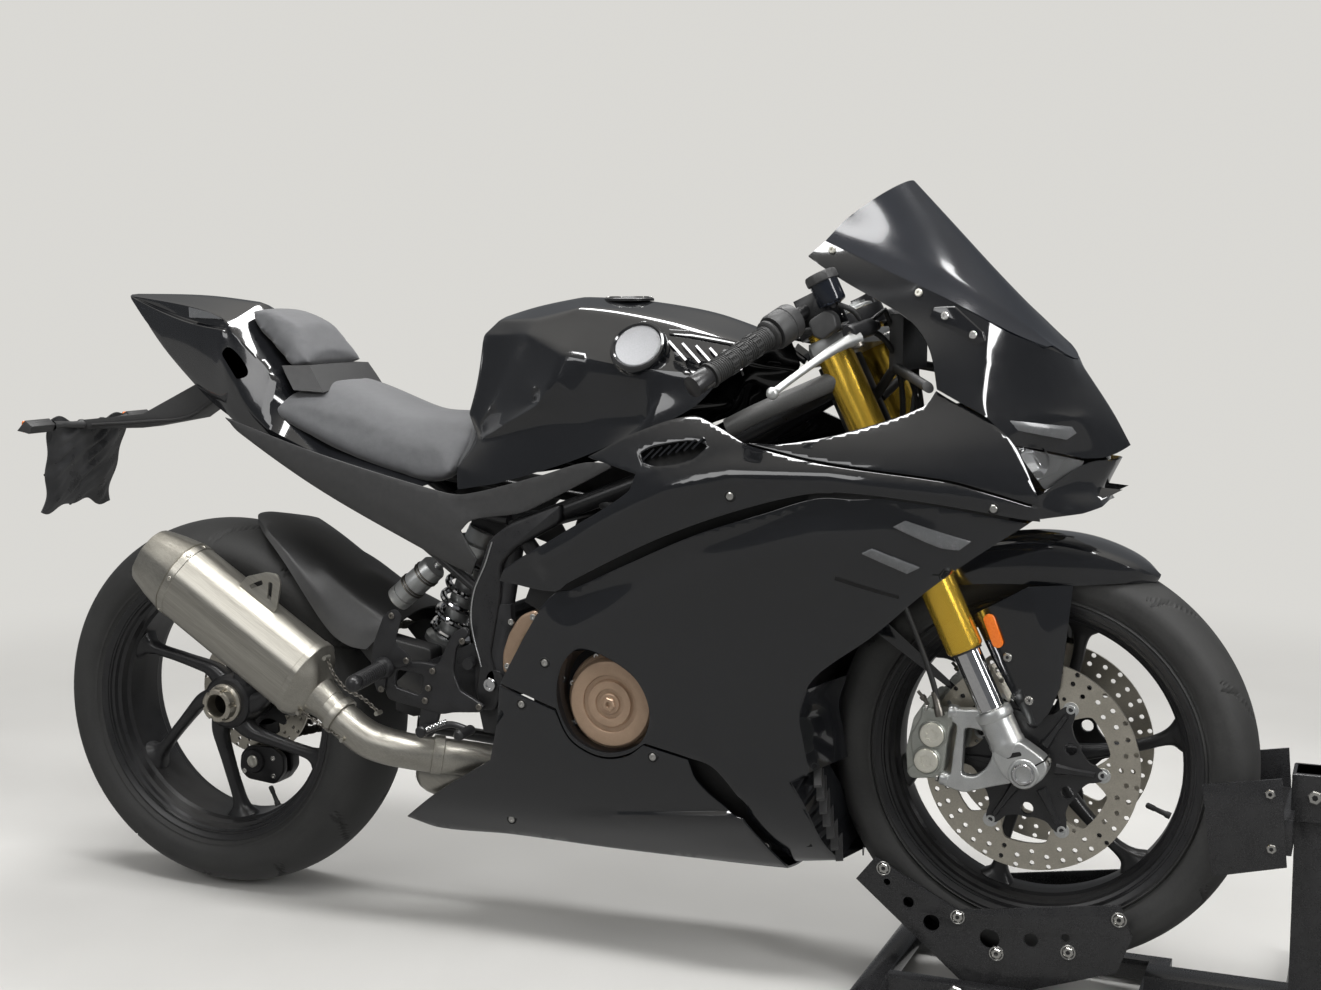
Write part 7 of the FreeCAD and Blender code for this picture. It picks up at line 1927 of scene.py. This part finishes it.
# Plate hanger: ribs on the arm, indicators, and the bracket wrapped in film
for s, word in bothSides:
    turnedAbout("indicatorStalk." + word, [(7, 24), (7, 30), (4.6, 34), (4.6, 92), (7, 96), (9, 100)], (-294, 0, 787),
        (0, s, 0), "root", "matte_black", segments=24)
    turnedAbout("indicatorBody." + word, [(7, 98), (10, 102), (11.5, 110), (11.5, 148), (9, 155), (0.001, 158)],
        (-302, 0, 788), (0, s, 0), "root", "matte_black", segments=28)
    casting("indicatorLens." + word, [(-315.5, 782), (-313, 778), (-310, 780), (-310, 797), (-313, 799),
        (-315.5, 795)], [], s * 106, s * 150, "root", "amber", bevel=1, soft=2)
pipe("hangerRib", [(20, -27, 858), (-60, -27, 806), (-150, -27, 794), (-270, -27, 785)], 2.6, "root", "matte_black",
    around=10)
random.seed(11)
film = {"centre": Vector((-317, 0, 716)), "down": Vector((-0.228, 0, -0.974)), "out": Vector((-0.974, 0, 0.228)),
    "columns": 30, "rows": 26, "halfWide": 92, "halfTall": 78, "half": 1.2, "puff": 5.5, "crumple": 0.8, "rim": 6,
    "waves": 6, "lean": 0.234, "wideWaves": ((8, 5, 0.6), (4, 13, 0)), "tallWaves": ((7, 7, 1), (4, 17, 0))}
columns, rowCount = film["columns"], film["rows"]
ripple = [(random.uniform(2, 7), random.uniform(2, 7), random.uniform(0, 6.28), random.uniform(0.6, 2.2))
    for _ in range(9)]
layers = []
for sideSign in (1, -1):
    sheet = []
    for i in range(rowCount + 1):
        for j in range(columns + 1):
            u, v = j / columns, i / rowCount
            wide = sum((h * math.sin(n * v + p) for h, n, p in film["wideWaves"]), film["halfWide"])
            hang = sum((h * math.sin(n * u + p) for h, n, p in film["tallWaves"]), film["halfTall"])
            crumple = sum(a * math.sin((fu * u + fv * v) * film["waves"] + p) for fu, fv, p, a in ripple)
            rim = min(1.0, film["rim"] * min(u, 1 - u, v, 1 - v))
            q = film["centre"] + Vector((0, (u - 0.5) * 2 * wide, 0)) + film["down"] * ((v - 0.5) * 2 * hang)
            sheet.append(q + film["out"] * (sideSign * (film["half"] +
                rim * (film["puff"] + film["crumple"] * crumple))))
    layers.append(sheet)
count = len(layers[0])
wide = columns + 1
faces = gridFaces(rowCount + 1, wide)
faces += [tuple(k + count for k in f[::-1]) for f in faces]
border = list(range(wide)) + [i * wide + columns for i in range(1, rowCount + 1)] + [rowCount * wide + j
    for j in range(columns - 1, -1, -1)]
border += [i * wide for i in range(rowCount - 1, 0, -1)]
faces += [(a, b, b + count, a + count) for a, b in zip(border, border[1:] + border[:1])]
meshPiece("bracketFilm", layers[0] + layers[1], faces, "root", "film", ("plate_bracket",), smooth=60)
straps = (((-60, 780), (-10, 640)), ((40, 790), (78, 650)), ((-88, 700), (88, 722)))
for n, (a, b) in enumerate(straps):
    line = []
    for k in range(9):
        t = k / 8
        y, z = a[0] + (b[0] - a[0]) * t, a[1] + (b[1] - a[1]) * t
        x = film["centre"].x + film["lean"] * (z - film["centre"].z)
        line.append((x - 5 - 2 * math.sin(3 * t), y, z))
    pipe("filmStrap.%d" % n, line, 2.4, "root", "film", around=10)
screwHeads("bracketBolts", [((-313, y, 768), (-0.97, 0, 0.23)) for y in (-46, 46)], "root", 7)
print("hanger and film made")

# Chock: bolts along the cheeks, end caps on the tubes, and the post's bracket
chock = {"cheek": 86, "bolts": [(-205, 184), (-96, 126), (-40, 80), (60, 96), (128, 152)], "tubes": (-210, 360),
    "guides": [(318, 350), (322, 276)]}
for s, word in bothSides:
    grown("chockBolts." + word, "head", [((wheelbase + x, s * chock["cheek"], z), (0, s, 0))
        for x, z in chock["bolts"]], "root", "screw", Radius=0.008, Height=0.006, Sides=6, Recess=0.5)
    grown("chockWashers." + word, "ring", [((wheelbase + x, s * (chock["cheek"] + 0.6), z), (0, s, 0))
        for x, z in chock["bolts"]], "root", "screw", Radius=0.0095, Wire=0.0012)
    grown("chockPivot." + word, "head", [((wheelbase - 90, s * 119.5, 26), (0, s, 0))], "root", "screw", Radius=0.012,
        Height=0.009, Sides=6, Recess=0.5)
    for x in chock["tubes"]:
        turnedAbout("tubeCap.%s%d" % (word, x > 0), [(19, -10), (21.4, -4), (21.4, -0.8), (20, 0), (12, 0.4),
            (0.001, 0.4)], (wheelbase + x, s * 269.4, 21.4), (0, s, 0), "root", "sleeve", segments=40)
    grown("guideBolts." + word, "head", [((wheelbase + x, s * 88, z), (0, s, 0)) for x, z in chock["guides"]], "root",
        "screw", Radius=0.007, Height=0.006, Sides=6, Recess=0.5)
casting("postBracket", [(1722, 300), (1722, 366), (1776, 366), (1776, 300)], [], -32, 32, "root", "chock_steel",
    bevel=2, soft=3)
grown("postBolt", "head", [((1752, s * 32, 336), (0, s, 0)) for s in (-1, 1)], "root", "screw", Radius=0.010,
    Height=0.008, Sides=6, Recess=0.5)
print("chock made")

# Rear caliper: its halves and bridge over the disc, and its leg to the swingarm
calRing = [(-24, 206), (-27, 178), (-12, 162), (46, 157), (66, 182), (65, 208), (44, 224), (-8, 222)]
for low, high in ((34, 47), (61, 84)):
    casting("rearCaliper.%d" % low, calRing, [], low, high, "root", "black_metal",
        replaces=("rear_caliper",) if low == 34 else (), bevel=3, soft=8)
casting("rearCaliperBridge", [(-22, 176), (-10, 162), (46, 157), (62, 178), (40, 184), (0, 186)], [], 40, 78, "root",
    "black_metal", bevel=2.5, soft=6)
casting("rearCaliperLeg", [(-10, 204), (-8, 292), (30, 292), (40, 204)], [], 66, 84, "root", "black_metal", bevel=3,
    soft=6)
turnedAbout("rearPiston", [(22, -6), (22, 2), (20, 4.5), (12, 5), (11, 3), (0.001, 3)], (4, 34, 196), (0, -1, 0),
    "root", "black_metal", segments=40)
turnedAbout("rearPistonCap", [(10.5, 2), (10.5, 6), (9, 7), (0.001, 7)], (4, 34, 196), (0, -1, 0), "root", "cap",
    segments=36)
screwHeads("rearCaliperBolts", [((x, 33.5, z), (0, -1, 0)) for x, z in ((44, 204), (44, 172), (-16, 176))], "root", 5)
print("rear caliper made")

# Remaining nodes keep their form, with their edges rounded
for node, width in (("frame", 1.4), ("swingarm", 4), ("radiator", 1.5), ("engine", 4), ("plate_hanger", 2),
        ("yokes", 2), ("chock_cradle", 1.2), ("chock_base", 2), ("side_stand", 1.5), ("cockpit", 1.5),
        ("clip_ons", 1.2)):
    edged(node, width)
print("other nodes rounded")

# Nodes that no piece replaces get their slot's look
for node in cadNodes:
    if not cadNodes[node].hide_render:
        mesh = cadNodes[node].data
        mesh.materials.clear()
        mesh.materials.append(finishes[slotOf[node]])
print("carried-over nodes dressed")
